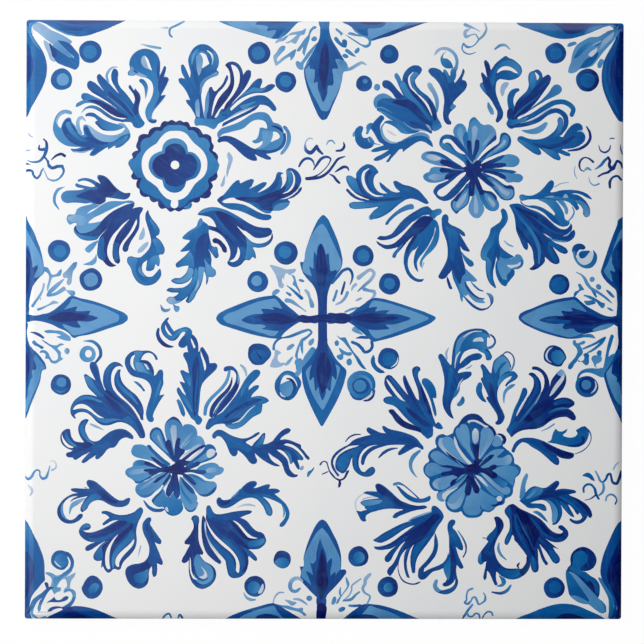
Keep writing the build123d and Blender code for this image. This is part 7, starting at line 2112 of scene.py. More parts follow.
# Half star against the left edge, with the loose curls beside its stem
draw("""
cobalt azure 26.2,216 28,221 31,226.5 34,232 37,240 39.8,247 41.8,254 43.2,261 44.2,268 44.2,272.6 40,277
  36,281.6 32.6,287 31,293 29.4,302 28.8,310 29,314.6 22,316 22,230 23.6,220
sky sky 26,229 28.4,233 32,240 36.4,247.6 40,255 42.6,262.6 43.6,269 43,273 38.6,276.4 34.8,277.6 36.8,270.6
  38.2,264.4 33,268.4 31.8,262 30.8,254 28,246 23,243
indigo royal 23,246 27.4,248.6 30.6,255 32.2,262 33,267.6 36.6,265.8 37.6,266.8 35,274 34,278 38,277.4
  43.6,273.2 38,279 33,286 30.8,293 29.2,304 28.6,312 22,314
navy 23,254 27.4,258 29.4,268 29,280 27.4,292 22,302
royal cobalt 22,321.4 27,322.4 26.8,333 28,340 30,345.6 33.6,349.6 38,353.8 42,358.6 45.6,364.4 46,369
  42.6,370.2 41.2,374 40.4,380 37.2,389 33.6,398 30.4,406 27.6,414 25,419 21,419
azure sky 35.4,354.6 39.4,359.6 43,364 44.8,368.6 41.6,369.6 40.4,374 39.2,380 36,388 32,396 28.6,404.6
  26.6,412 24,404 26,394 29.6,383 31.4,378 32,370 35.4,369.8 34.6,364 33.4,359
indigo royal 23,341 27.6,346 31.4,352 33.6,359 35.6,369.2 32.4,370 32,378 29.6,379 27.8,388 26,399 22,404
navy 23,350 26.6,353 28.6,360 29,369 27,380 22,388
royal cobalt 24,313.6 29,314.4 33.6,315.4 38,315.2 43,313.8 48.6,312.8 54,309.8 59.6,305.4 65,300.6 70,296.2
  73.4,295.8 79,297.8 88,299.6 98,302.4 108,306 118,310 125,313.4 127.8,316.6 127.6,319.6 124,323 116,326
  107,329 97,332.4 87,335 78,336.6 74.4,338 72,337 69.6,334 65,330.6 59,328.2 53,325 46,322.6 40,321.2
  33,320.8 28,322 22,322
sky 72,298.6 76,299.2 84,302 94,304.4 104,307.6 112,311.4 119,316 118.6,320 110,324 100,327.6 90,331.6
  80,334.4 72.6,335 68,330.6 63.6,326.6 62,322 62,312 66.4,307 70,302.4
royal indigo 42,318 48,314 56,311.6 62.6,310 70,308 77.4,307 75.6,310.4 82,311.2 90.4,311.6 88.6,314.4
  93,315.6 98,318 93.6,320.2 88,321.6 77.2,321.6 80.6,327 74,327.4 68,325.4 62,323.6 54,321.8
navy 48,318 55,314.2 62,312 70,312 80,313.8 88,316.6 84,319.6 74,321 64,322 55,320.6
azure mist 44.2,267 47.6,267.6 50,271 52,274.6 56,274 59.8,270 61.4,269 61.8,272 60.4,275.6 56,276.8
  52.4,277.6 51,281 49.6,286 47.6,291.4 46.8,288 48.4,281.6 49,276 47,272.6 44.6,271.4
mist azure 2.4 2 2.6 2.4 3 44,284 43,289 39.6,296 36,301 32.6,306
mist 1.4 1 40,297 40.6,300
mist azure 62.6,274.6 66,271 70.4,266 74,262.4 77,262 76.6,266 73,272 72,278 70.8,284 68.4,285.4 66.6,283
  67.4,278 64,278
mist azure 64.6,278.6 61,284 55.6,289.6 51.4,293.4 56,291.8 60.4,288.6 64,286.4 66.2,289.4 63,291.8 58,294.6
  53,296.2 46.6,296 47.6,292 52,287 58,282
mist azure 66,290.2 70,290.2 74.6,291.2 75.2,294.4 72,296.4 69,294
azure mist 37,309.4 42,307 49,303.8 53.4,300.6 56,301 58.8,303 54,304 47,306.6 41,309.8 37.4,310.6
indigo royal 0.6 2.4 3 2.4 30.2,332 35,333 39.4,335 43.2,337.6
azure sky 44,331 47,330 56,330.4 60,330.6 66,333.6 70.6,337.6 70.8,340 64,340.2 60,338.6 56.4,336.6 61,335.2
  57,333.6 51,333 46.6,333
azure cobalt 31.8,342 34,340.2 37,343 41,345.4 43.8,347.4 42.4,349 38,346.6 33.6,344.6
azure sky 41,339.2 46,341.6 51,344.6 56.6,345.2 61,343.2 64,344.4 59.6,346.2 57.6,348 60.8,352 61.2,357
  63,358.6 60,361 55,363.6 51,362.6 48.6,359 45.4,358.6 45.4,354 42.6,352.6 39.8,352.8 40.6,350.6 44,350
  48,352.4 50.2,357 53,360.6 57.2,359.4 57.6,354 54.6,350 49.6,346 45,343
azure mist oval 67,351 2.7,3.2
""")

# Round dots beside the left star
draw("""
sky azure oval 87.6,354 8.3,8.3
white oval 88.4,353.6 3.4,3.8
azure indigo 0.8 3 3.4 3.2 2.4 83.6,341 93,341.6 99.6,348 100.6,355 95.4,362.6
indigo royal oval 61,384.4 10.4,10.4
royal oval 59.4,385 6.6,6.6
azure oval 61.4,382 5,4.8
azure cobalt 0.4 2 0.4 55,389.6 61,392 67,389.4
""")

# Round dots beside the top star
draw("""
royal indigo oval 389.2,54.4 9.5,9.6
cobalt oval 388.2,53.2 4.4,4.2
royal indigo oval 364,83.6 8.2,8.1
azure oval 365,81.4 2.6,2.4
azure sky oval 376.9,87.3 3.2,3.5
""")

# Loose curls between the petals of the centre star
draw("""
mist 269.8,265.2 278,266.5 286,269.3 295.8,269.6 294.8,272 292,273.5 290,275.2 286.5,273 284.5,275.5
  283.8,280! 282.5,277.5 282,282 284,285 282.5,288 279.5,287.5 277.5,281 275,274 272,269
sky azure 291.5,274.5 294,275.5 295.8,280 297.5,285.5 299.8,290.5 300.2,294.5! 297.5,290 295,286.5
  292.5,284.5 293.5,280
azure cobalt 0.8 2.2 3 3.6 286.5,285.3 292,289.5 297.5,294.5 301.5,298
azure 2.2 3 2.4 299.5,280 301.3,280.4 303,281
azure 2 3 286.5,292.5 290,294.8
sky mist 4.5 3.6 1.8 1.2 286.5,300.3 290,300.8 297,305 305.8,311.3
mist sky 3 3.4 2.4 4 4.6 305.5,290.3 307.5,292.5 309.3,297 311,302 312,305.6
sky 272,292.5 274,290 278,289 279.8,290.5 277.5,293.5 275,294.8 272.3,295.3
cobalt royal 2.6 3.2 3.2 3 2.4 1 332,283 338,275.8 343.5,270 348.5,268.8 352,273.5 351.8,279.5 349.8,284.3
mist azure 4.5 3.4 3.2 3.4 3 1.2 358.5,277.5 364,273.3 370.5,269.7 373.8,272.5 371,279 364.5,285 357.5,291.2
indigo 2 2.6 2 344.5,282 343,288 341.2,294
azure 2.4 2.6 2.6 336.7,290.5 335,296 333.3,300.3
sky mist 3 3 2.6 2 347.3,292.3 345.5,296.5 341.5,301.5 336,304.3
mist 3 2.6 1 355.5,284.3 353,286.5 351.3,290.5
sky mist 4 3 3.6 3 2 364,289 369.5,290.6 374.2,291.8 373.8,296 371,299
mist 1 2.6 2 355.5,300.6 359,299 361,298
sky 1.8 2.6 1.6 345,311.8 350,309.5 358,307.5
cobalt azure 1.2 3 3 2.2 2.6 281,337.8 289,336.5 297,333.5 304,330.8 309,329.8 311.3,332 308.5,335.5
  303.5,339.5
azure sky 306,336.5 303.5,340.5 303,346 303,351.5 302.5,354.8! 300.5,350 300,346 298,352 296.8,358.8 295,357
  296,350.5 298.5,343.5 301.5,338.5
royal azure 2 2.4 2.4 3 281.5,337.5 276.5,340.5 273.8,345 273.5,349
mist 275.5,349.5 278.5,350.5 281,352.5 278,355 277.5,359 280,362.5 284,362.5 283.5,364.5 279,367 274,367.5
  270,366.5 271,362 274,356
mist 1.4 3.2 2.6 292.5,356.8 289,361 285.5,364.5
sky 286.5,349.8 287,347 290,344.5 293,343.5 294.3,345 292,348 289,350
sky 308.3,344.5 308.5,341.5 311,339 313.3,338 314,340.5 312.5,344 310,345.5
sky azure 313.5,347 315.5,349 313.5,354 309,359 304,364 300,369 296.5,370 295.5,364.5 295.5,359.5 298,358
  301,358.5 302,360 305.5,355 309,349.5 311.5,347
sky 351.5,330 353,327 355.5,326 359,330 363,334.8 359,333.8 354,332
royal 1 3 2.8 356,338 361,337 367,337.5
azure oval 336.6,343 2.3,3
azure cobalt 336,334.8! 340,337.3 345,337.2 347.5,341.5 350.5,347 354.5,353 358.5,357.5 362.5,364
  365.8,369.3 363,368.5 358,363.5 355,357.5 352.5,353.5 347.5,347 342.5,341 338.5,338
cobalt royal 3 3.4 3 3.2 352,342 357,344 361.5,348 364.5,351.8 369,350.8 372,346.5 371.5,341.5
azure 339,347.5 342.5,349.8 347,352 351.5,352.3 351.5,354.5 347.5,355.6 343.5,354.5 342.8,358.5 340.5,360
  337.5,358.5 336.3,355.8 339.5,354.2 341,353.5 339.5,351
azure oval 349,361.8 2.8,3.6
""")

# Pale strokes between the lower left of the centre star and the oval ring
draw("""
azure sky 312,347 315.4,349 314,353.4 310,359.4 305.4,364.6 302.4,369.4 298.6,375.6 296,376.4 294.6,373.6
  297,369 297.4,366 294.6,364 294.6,361 297,358.2 300,358.4 301.6,360 304.6,355.4 308.4,350.4
sky mist 2 2.8 2.6 1.4 291.6,357.6 289,361.4 286.6,364 282.6,363.4
sky azure 1.4 2.2 2.2 1 300,342 298,348 296.8,353 296,358
""")

# Four-petal lance star in the middle of the tile
draw("""
cobalt royal 323,214.8 327,217.8 331.3,226 334.5,233 337.3,240 339.8,247.5 341.6,255 342.5,261 341.3,267.3
  337.5,273.3 333.5,279 330,286 327.6,294 326.9,303 327,322! 318,322! 317.8,304 316.8,295 314.5,288
  310.5,281.8 305.5,276.3 302.3,271.5 300.5,266 300.2,262 303.2,261.8 304.8,254 306.5,247 308.8,240
  311.5,233 314.5,226 318.8,218.5
sky 321.7,223.8 324.5,226 327.5,231 331,238.5 335,247 338.8,255.5 341.3,262 340.5,267.5 336.5,271.5 330,275
  322,279 312,276.3 303,271 302.3,266 303.5,262 305.5,253 308,243.5 311.2,235.5 314.8,229.8 318.3,225.8
royal indigo 320.7,243.3 323,246 324.8,251 326,254.5 327.8,253.2 329,260 329.6,266 330.6,271 336.3,269.8
  335.5,275.5 332.5,280.5 328.5,287.5 326.5,296 318.5,296 316.5,290.5 312,284 306,277.5 302.5,272 307,274.6
  311,277 309.6,266.3 312.4,268.5 313.2,259.5 314.6,251.3 316.2,255.5 317,249.5 318.5,245
navy 320.7,243.8 323.2,247.5 324.8,254 326.3,262 327.5,270 326.2,279 324,287.5 321.8,292.8 319.3,288
  316.8,280.5 315.3,271 316.6,261.5 317.4,252.5 318.6,246.8
cobalt royal 216,318.3 218,314.2 223,310.8 232,306.8 242,302.8 252,299.2 262,296.6 270,295.6 275.6,295.2
  278,296.8 283,301.5 289,307 295,311.7 298.2,314.6 310,315.8 318,315.5 318,321.8 300,321.8 296.5,323.5
  290,328 284,333 279,338.3 274,338.4 262,336.6 250,333.8 238,330.2 227,326.7 219.5,323.5
sky 223,318 225.5,315 235,311 246,306 258,301.5 268,299.3 275,298.8 279,303 282,309 283,318 280,328
  274.5,335.5 262,333 248,329 235,325 225.5,321.5
royal indigo 241.3,320 246,316.6 254,314 263,312.6 261,309.4 268,308.8 274,309.2 272,307 278,307.8 284,309.5
  291,313 298,316.5 298,320.5 291,325.5 283,330 276,330.8 268,329.8 262,328.4 266,326.3 263,324.7 254,324.3
  246,322.6
navy 252,317.6 260,315.2 268,313.4 277,312.8 286,315 293,318 297.5,320 290,322.6 281,324.6 272,323.8
  263,321.3 262,319.6
cobalt royal 435.6,318 431,322.5 424,326 412,330.5 400,334.6 390,337.8 380,340.3 372.5,341.4 369,339 364,334
  358,329 353,325 348,322 327,322 327,314.3 348,314 352,312 358,307.5 364,303.5 369,299.5 373,297.8 380,298
  392,301 404,304.8 416,308.8 427,312.8
sky 428.5,318.3 420,322.6 408,327.3 396,332 384,336 375,338 370,333 367.5,325 367,317 368.5,308 372.5,301
  382,301.6 394,304.6 406,308.6 418,313
royal indigo 410.5,318.3 402,322 393,324.3 385.5,325 389,328 380,329.6 370,329.4 361,326 352,321 352,315
  361,310.5 369,307.6 377,307.3 375,310.6 383,310 389,310.6 386,313 394,313.6 402,315
navy 398,318 388,320.8 378,323 368,322.6 358,320.5 350,318 358,315 368,313.3 378,313.4 388,315
cobalt royal 321.6,426 317,419 312.5,410 308.5,401 304.6,391 302,380 301.6,371 302.5,367 305.5,363.4 310,358
  314,352 317,346 318.6,338 327,338 327.4,343 331,350 335.3,358 341,364.5 346,370 344.6,380 341,391 336,402
  330.5,412 326,420
sky 322.2,409.4 318.6,404.8 314.2,397.8 310.2,389 307.4,380 305.8,371.5 309,366.5 316,363 324,361.6 332,363
  339.6,367.4 338.4,374 335.2,383.6 331,393.6 326.6,402.8
royal indigo 322.3,400 319.5,394 317.8,387 315.5,391 314,384 313,377 310,380.5 309.5,372 312,363.5 316,354.5
  319,347 326,347 330,354.5 334.5,362.5 336.6,371 335.5,379.5 332.3,376 331,384 329.5,391 326.6,388 325,395
navy 322,346 325,352.5 329,360 331,367.5 329.5,377 326,386.5 322.5,393.5 319,386 316.6,377 316,367.5
  317.6,360 320,353
indigo 319.8,286 325.2,286 326.8,297! 327,345! 325.6,352 319.4,352 317.8,345! 317.8,297!
navy 317.7,314.5 327.2,314.3 348,314.3 352,318 348,322 327.2,322 317.7,322 300,321.6 296,318.6 300,315
  310,315.8
""")

# Sizes of the tile, in millimetres

tile_half = 76.2  # from the middle to the widest outline
tile_thickness = 7.0
corner_radius = 0.7  # of the outline at the lip
cushion_width = 2.2
cushion_drop = 0.9
flat_corner_radius = 1.5  # of the flat of the face, inside the cushion
lip_radius = 0.3
draft_inset = 0.45  # how much smaller the back is on each side
foot_break = 0.35
key_border = 7.0
key_rib = 3.2
key_count = 7
key_depth = 0.9
key_inset = 0.48  # how far a pocket's wall leans in
key_corner_radius = 1.6
MM = 0.001

lip_height = tile_thickness - cushion_drop
cushion_radius = (cushion_width**2 + cushion_drop**2) / (2 * cushion_drop)
cushion_centre = tile_thickness - cushion_radius
draft = draft_inset / lip_height
key_pitch = (2 * (tile_half - draft_inset - key_border) + key_rib) / key_count
key_half = (key_pitch - key_rib) / 2


def lip_centre():
    """Inset and height of the middle of the small arc that rounds the lip."""
    low, high = lip_height - 1, lip_height
    for step in range(40):
        height = (low + high) / 2
        inset = lip_radius * math.hypot(1, draft) + draft * (lip_height - height)
        gap = math.hypot(cushion_width - inset, height - cushion_centre)
        if gap < cushion_radius - lip_radius:
            low = height
        else:
            high = height
    return inset, height


lip_inset, lip_middle = lip_centre()
lip_end = lip_inset + lip_radius / (cushion_radius - lip_radius) * (lip_inset - cushion_width)
sheet_inset = lip_inset - lip_radius

# Where the tile is seen, in pixels of the photograph's frame, clockwise from its top left corner
seen_corners = ((26.8, 20.0), (623.8, 23.1), (621.1, 619.0), (24.4, 618.7))


def square_on_to(reach):
    """The view's map from its pixels to the plan of the tile, from the four corners."""
    rows = []
    sides = []
    corners = ((-reach, reach), (reach, reach), (reach, -reach), (-reach, -reach))
    for (x, y), (across, up) in zip(seen_corners, corners):
        rows.append((x, y, 1, 0, 0, 0, -across * x, -across * y))
        rows.append((0, 0, 0, x, y, 1, -up * x, -up * y))
        sides += [across, up]
    return np.append(np.linalg.solve(np.array(rows), np.array(sides)), 1).reshape(3, 3)


to_plan = square_on_to(tile_half - sheet_inset)


def on_tile(line):
    """Points drawn in the view, laid on the plan of the tile in millimetres."""
    flat = np.column_stack((np.array(line), np.ones(len(line)))) @ to_plan.T
    return flat[:, :2] / flat[:, 2:]


# The painted sheet of glaze

ring_insets = (0.02, 0.05, lip_end, 0.3, 0.6, 1.0, 1.5)  # of the rings that carry the cushion's bend
loose_reach = 72.8  # the flat of the face is filled with loose points, this far from its middle
loose_step = 1.4
loose_stray = 0.3
loose_seed = 11


def rounded_square(reach, radius, steps=6, x=0.0, y=0.0):
    """Points round a square with rounded corners, anticlockwise."""
    points = []
    for turn, (right, top) in enumerate(((1, 1), (-1, 1), (-1, -1), (1, -1))):
        for k in range(steps + 1):
            angle = math.pi / 2 * (turn + k / steps)
            points.append(
                (
                    x + right * (reach - radius) + radius * math.cos(angle),
                    y + top * (reach - radius) + radius * math.sin(angle),
                )
            )
    return points


def inset_of(plan):
    """How far each point lies in from the widest outline, as far as the cushion's width."""
    spread = (flat_corner_radius - corner_radius) / cushion_width
    high = np.abs(plan).max(axis=1)
    low = np.abs(plan).min(axis=1)
    straight = tile_half - high
    a = high - tile_half + corner_radius
    b = low - tile_half + corner_radius
    m = 1 + spread
    p = 2 * m * m - spread * spread
    q = 2 * m * (a + b) - 2 * spread * corner_radius
    r = a * a + b * b - corner_radius**2
    root = (-q - np.sqrt(np.maximum(q * q - 4 * p * r, 0))) / (2 * p)
    round_corner = low > tile_half - straight - (corner_radius + spread * straight)
    inset = np.where(round_corner, root, straight)
    return np.clip(inset, sheet_inset, cushion_width)


def joined_lines(groups, faces, loose, edges=()):
    """Meets all outlines in one net of triangles. Returns points, triangles and covering faces."""
    points = []
    lines = []
    covers = []
    for group in groups:
        first = len(points)
        points += [Vector(p) for p in group]
        count = len(group)
        lines += [(first + k, first + (k + 1) % count) for k in range(count)]
        covers.append(list(range(first, first + count)))
    points += [Vector(p) for p in loose]
    net = delaunay_2d_cdt(points, lines, [covers[k] for k in faces], 1, 1e-6, True)
    return net[0], net[2], net[5]


def anticlockwise(line):
    """The same closed line, turned if it runs clockwise."""
    x, y = line[:, 0], line[:, 1]
    area = np.dot(x, np.roll(y, -1)) - np.dot(np.roll(x, -1), y)
    return line if area > 0 else line[::-1]


def linear(paint):
    """A paint out of 255, as the light it gives back."""
    part = np.array(paint, dtype=float) / 255
    return np.where(part <= 0.04045, part / 12.92, ((part + 0.055) / 1.055) ** 2.4)


def painted_sheet():
    """The glazed face as one flat net, split along every edge of the painting."""
    spread = (flat_corner_radius - corner_radius) / cushion_width
    rings = [
        rounded_square(tile_half - inset, corner_radius + spread * max(inset - sheet_inset, 0))
        for inset in (sheet_inset, *ring_insets, cushion_width)
    ]
    drawn = [anticlockwise(on_tile(mark["outline"])) for mark in marks]
    chance = np.random.RandomState(loose_seed)
    grid = np.arange(-loose_reach, loose_reach + 0.1, loose_step)
    across, up = np.meshgrid(grid, grid)
    moves = chance.uniform(-loose_stray, loose_stray, (grid.size**2, 2))
    loose = np.column_stack((across.ravel(), up.ravel())) + moves
    groups = rings + [line.tolist() for line in drawn]
    faces = [0] + list(range(len(rings), len(groups)))
    points, triangles, covers = joined_lines(groups, faces, loose.tolist())
    plan = np.array([tuple(p) for p in points])
    kept = [k for k, cover in enumerate(covers) if 0 in cover]
    triangles = [list(triangles[k]) for k in kept]
    tops = [max(covers[k]) - 1 for k in kept]
    used = np.unique(np.concatenate([np.array(t) for t in triangles]))
    place = np.full(len(plan), -1)
    place[used] = np.arange(len(used))
    plan = plan[used]
    triangles = [[int(place[v]) for v in t] for t in triangles]
    sheet = bpy.data.meshes.new("painted_sheet")
    sheet.from_pydata([(x * MM, y * MM, 0) for x, y in plan], [], triangles)
    sheet.attributes.new("inset", "FLOAT", "POINT").data.foreach_set("value", inset_of(plan))
    colours, strokes = brushed_colours(plan, triangles, tops)
    sheet.attributes.new("paint", "FLOAT_COLOR", "CORNER").data.foreach_set("color", colours.ravel())
    sheet.attributes.new("stroke", "FLOAT_VECTOR", "CORNER").data.foreach_set("vector", strokes.ravel())
    return sheet


def brushed_colours(plan, triangles, tops):
    """Colour and brush direction at each corner of each triangle, from the mark on top there."""
    colours = np.ones((len(triangles) * 3, 4))
    strokes = np.zeros((len(triangles) * 3, 3))
    ends = [on_tile((mark["start"], mark["end"])) for mark in marks]
    for k, (corners, top) in enumerate(zip(triangles, tops)):
        rows = slice(k * 3, k * 3 + 3)
        if top < 0:
            colours[rows, :3] = linear(paints["white"])
            strokes[rows] = (1, 0, 0)
            continue
        start, end = ends[top]
        run = end - start
        reach = max(float(run @ run), 1e-9)
        share = np.clip((plan[corners] - start) @ run / reach, 0, 1)[:, None]
        first = np.array(marks[top]["from"])
        last = np.array(marks[top]["to"])
        colours[rows, :3] = linear(first + (last - first) * share)
        strokes[rows, :2] = run / math.sqrt(reach)
    return colours, strokes


# Geometry node trees


def new_tree(name, sizes):
    """An empty geometry tree with a geometry socket, sizes and a glaze or clay to set."""
    tree = bpy.data.node_groups.new(name, "GeometryNodeTree")
    tree.interface.new_socket("Geometry", in_out="INPUT", socket_type="NodeSocketGeometry")
    for size, value in sizes.items():
        kind = "NodeSocketInt" if isinstance(value, int) else "NodeSocketFloat"
        socket = tree.interface.new_socket(size, in_out="INPUT", socket_type=kind)
        socket.default_value = value
    tree.interface.new_socket("Material", in_out="INPUT", socket_type="NodeSocketMaterial")
    tree.interface.new_socket("Geometry", in_out="OUTPUT", socket_type="NodeSocketGeometry")
    return tree, tree.nodes.new("NodeGroupInput"), tree.nodes.new("NodeGroupOutput")


def calculated(tree, operation, *values):
    """A Math node on numbers or sockets. Returns its result."""
    node = tree.nodes.new("ShaderNodeMath")
    node.operation = operation
    for socket, value in zip(node.inputs, values):
        if isinstance(value, (int, float)):
            socket.default_value = value
        else:
            tree.links.new(value, socket)
    return node.outputs[0]


def finish_tree(tree, shape, material, exit_node):
    """Ends a tree in Realize Instances and Set Material."""
    realize = tree.nodes.new("GeometryNodeRealizeInstances")
    coat = tree.nodes.new("GeometryNodeSetMaterial")
    tree.links.new(shape, realize.inputs["Geometry"])
    tree.links.new(realize.outputs["Geometry"], coat.inputs["Geometry"])
    tree.links.new(material, coat.inputs["Material"])
    tree.links.new(coat.outputs["Geometry"], exit_node.inputs["Geometry"])


def cushion_tree():
    """Lifts a flat sheet to the tile's face: flat inside, rolled down on an arc to the lip."""
    tree, entry, exit_node = new_tree(
        "cushion_edge",
        {
            "Thickness": tile_thickness * MM,
            "Cushion width": cushion_width * MM,
            "Cushion drop": cushion_drop * MM,
            "Lip radius": lip_radius * MM,
            "Lip inset": lip_inset * MM,
            "Lip middle": lip_middle * MM,
            "Lip end": lip_end * MM,
        },
    )
    size = entry.outputs
    named = tree.nodes.new("GeometryNodeInputNamedAttribute")
    named.data_type = "FLOAT"
    named.inputs["Name"].default_value = "inset"
    inset = calculated(tree, "MULTIPLY", named.outputs["Attribute"], MM)
    width_squared = calculated(tree, "POWER", size["Cushion width"], 2.0)
    drop_squared = calculated(tree, "POWER", size["Cushion drop"], 2.0)
    twice_drop = calculated(tree, "MULTIPLY", size["Cushion drop"], 2.0)
    radius = calculated(tree, "DIVIDE", calculated(tree, "ADD", width_squared, drop_squared), twice_drop)
    run = calculated(tree, "SUBTRACT", size["Cushion width"], inset)
    run = calculated(tree, "MAXIMUM", run, 0.0)
    square = calculated(
        tree, "SUBTRACT", calculated(tree, "POWER", radius, 2.0), calculated(tree, "POWER", run, 2.0)
    )
    rise = calculated(tree, "SUBTRACT", calculated(tree, "SQRT", square), radius)
    arc = calculated(tree, "ADD", size["Thickness"], rise)
    lip_run = calculated(tree, "SUBTRACT", inset, size["Lip inset"])
    lip_square = calculated(
        tree,
        "SUBTRACT",
        calculated(tree, "POWER", size["Lip radius"], 2.0),
        calculated(tree, "POWER", calculated(tree, "ABSOLUTE", lip_run), 2.0),
    )
    lip_rise = calculated(tree, "SQRT", calculated(tree, "MAXIMUM", lip_square, 0.0))
    lip = calculated(tree, "ADD", size["Lip middle"], lip_rise)
    on_lip = calculated(tree, "LESS_THAN", inset, size["Lip end"])
    choose = tree.nodes.new("ShaderNodeMix")
    tree.links.new(on_lip, choose.inputs[0])
    tree.links.new(arc, choose.inputs[2])
    tree.links.new(lip, choose.inputs[3])
    lift = tree.nodes.new("ShaderNodeCombineXYZ")
    tree.links.new(choose.outputs[0], lift.inputs["Z"])
    move = tree.nodes.new("GeometryNodeSetPosition")
    tree.links.new(size["Geometry"], move.inputs["Geometry"])
    tree.links.new(lift.outputs[0], move.inputs["Offset"])
    finish_tree(tree, move.outputs["Geometry"], size["Material"], exit_node)
    return tree


def key_tree():
    """Repeats one pocket of the key relief in rows over the back."""
    tree, entry, exit_node = new_tree("key_relief", {"Pitch": key_pitch * MM, "Count": key_count})
    size = entry.outputs
    gaps = calculated(tree, "SUBTRACT", size["Count"], 1.0)
    reach = calculated(tree, "MULTIPLY", size["Pitch"], gaps)
    rows = tree.nodes.new("GeometryNodeMeshGrid")
    for name in ("Size X", "Size Y"):
        tree.links.new(reach, rows.inputs[name])
    for name in ("Vertices X", "Vertices Y"):
        tree.links.new(size["Count"], rows.inputs[name])
    spread = tree.nodes.new("GeometryNodeInstanceOnPoints")
    tree.links.new(rows.outputs["Mesh"], spread.inputs["Points"])
    tree.links.new(size["Geometry"], spread.inputs["Instance"])
    finish_tree(tree, spread.outputs["Instances"], size["Material"], exit_node)
    return tree


def worked_out(mesh, tree, sizes, material):
    """The mesh after a geometry tree, as a plain mesh."""
    carrier = bpy.data.objects.new("carrier", mesh)
    bpy.context.collection.objects.link(carrier)
    modifier = carrier.modifiers.new("tree", "NODES")
    modifier.node_group = tree
    sockets = {item.name: item.identifier for item in tree.interface.items_tree if item.in_out == "INPUT"}
    for name, value in sizes.items():
        modifier[sockets[name]] = value
    modifier[sockets["Material"]] = material
    bpy.context.view_layer.update()
    ready = carrier.evaluated_get(bpy.context.evaluated_depsgraph_get())
    plain = bpy.data.meshes.new_from_object(ready)
    carrier.modifiers.clear()
    bpy.data.objects.remove(carrier)
    return plain


# Materials

# Colours inside the materials, as light given back
thin_streak = (0.11, 0.40, 0.71, 1)
pale_wash = (0.07, 0.36, 0.69, 1)
thick_streak = (0.012, 0.035, 0.19, 1)
deep_wash = (0.012, 0.050, 0.23, 1)
cloudy_white = (0.80, 0.83, 0.86, 1)
side_glaze = (0.82, 0.83, 0.84, 1)
thin_side_glaze = (0.74, 0.66, 0.56, 1)
dark_buff = (0.52, 0.36, 0.235, 1)
light_buff = (0.70, 0.545, 0.40, 1)
sand = (0.80, 0.68, 0.54, 1)
pore_shade = (0.30, 0.19, 0.12, 1)
iron_speck = (0.16, 0.07, 0.04, 1)
slip_dust = (0.84, 0.76, 0.66, 1)
floor_grey = (0.86, 0.86, 0.86, 1)


def new_group(name, inputs, outputs):
    """An empty shader group with named sockets."""
    group = bpy.data.node_groups.new(name, "ShaderNodeTree")
    for title, (kind, value) in inputs.items():
        socket = group.interface.new_socket(title, in_out="INPUT", socket_type="NodeSocket" + kind)
        socket.default_value = value
    for title, kind in outputs.items():
        group.interface.new_socket(title, in_out="OUTPUT", socket_type="NodeSocket" + kind)
    return group, group.nodes.new("NodeGroupInput"), group.nodes.new("NodeGroupOutput")


def noise(tree, vector, scale, detail=3.0, roughness=0.5):
    """A noise texture on a vector. Returns its value socket."""
    node = tree.nodes.new("ShaderNodeTexNoise")
    node.inputs["Detail"].default_value = detail
    node.inputs["Roughness"].default_value = roughness
    tree.links.new(vector, node.inputs["Vector"])
    if isinstance(scale, (int, float)):
        node.inputs["Scale"].default_value = scale
    else:
        tree.links.new(scale, node.inputs["Scale"])
    return node.outputs["Fac"]


def ranged(tree, value, low, high, to_low=0.0, to_high=1.0, smooth=True):
    """A value taken from one range to another."""
    node = tree.nodes.new("ShaderNodeMapRange")
    node.interpolation_type = "SMOOTHSTEP" if smooth else "LINEAR"
    tree.links.new(value, node.inputs["Value"])
    for name, number in (("From Min", low), ("From Max", high), ("To Min", to_low), ("To Max", to_high)):
        if isinstance(number, (int, float)):
            node.inputs[name].default_value = number
        else:
            tree.links.new(number, node.inputs[name])
    return node.outputs["Result"]


def mixed(tree, share, first, second, blend="MIX"):
    """A colour mix of sockets or plain colours. Returns its colour."""
    node = tree.nodes.new("ShaderNodeMix")
    node.data_type = "RGBA"
    node.blend_type = blend
    node.clamp_factor = True
    if isinstance(share, (int, float)):
        node.inputs[0].default_value = share
    else:
        tree.links.new(share, node.inputs[0])
    for socket, value in ((node.inputs[6], first), (node.inputs[7], second)):
        if isinstance(value, tuple):
            socket.default_value = value
        else:
            tree.links.new(value, socket)
    return node.outputs[2]


def glaze_pool():
    """Tin glaze: its slow swell, fine orange peel, pinholes and the cloudiness of its white."""
    group, entry, out = new_group(
        "glaze_pool",
        {
            "Vector": ("Vector", (0, 0, 0)),
            "Swell": ("Float", 0.5),
            "Peel": ("Float", 0.25),
            "Pinholes": ("Float", 0.4),
        },
        {"Cloud": "Float", "Height": "Float", "Roughness": "Float"},
    )
    place = entry.outputs["Vector"]
    cloud = noise(group, place, scale=34.0, detail=4.0, roughness=0.6)
    swell = noise(group, place, scale=55.0, detail=2.0, roughness=0.4)
    peel = noise(group, place, scale=900.0, detail=2.0)
    holes = group.nodes.new("ShaderNodeTexVoronoi")
    holes.inputs["Scale"].default_value = 260.0
    group.links.new(place, holes.inputs["Vector"])
    pit = ranged(group, holes.outputs["Distance"], 0.0, 0.09, 1.0, 0.0)
    rare = ranged(group, noise(group, place, scale=120.0, detail=1.0), 0.62, 0.7)
    pit = calculated(group, "MULTIPLY", calculated(group, "MULTIPLY", pit, rare), entry.outputs["Pinholes"])
    height = calculated(group, "MULTIPLY", swell, entry.outputs["Swell"])
    height = calculated(group, "ADD", height, calculated(group, "MULTIPLY", peel, entry.outputs["Peel"]))
    height = calculated(group, "SUBTRACT", height, pit)
    rough = calculated(group, "ADD", 0.07, calculated(group, "MULTIPLY", cloud, 0.06))
    rough = calculated(group, "ADD", rough, calculated(group, "MULTIPLY", pit, 0.4))
    group.links.new(cloud, out.inputs["Cloud"])
    group.links.new(height, out.inputs["Height"])
    group.links.new(rough, out.inputs["Roughness"])
    return group


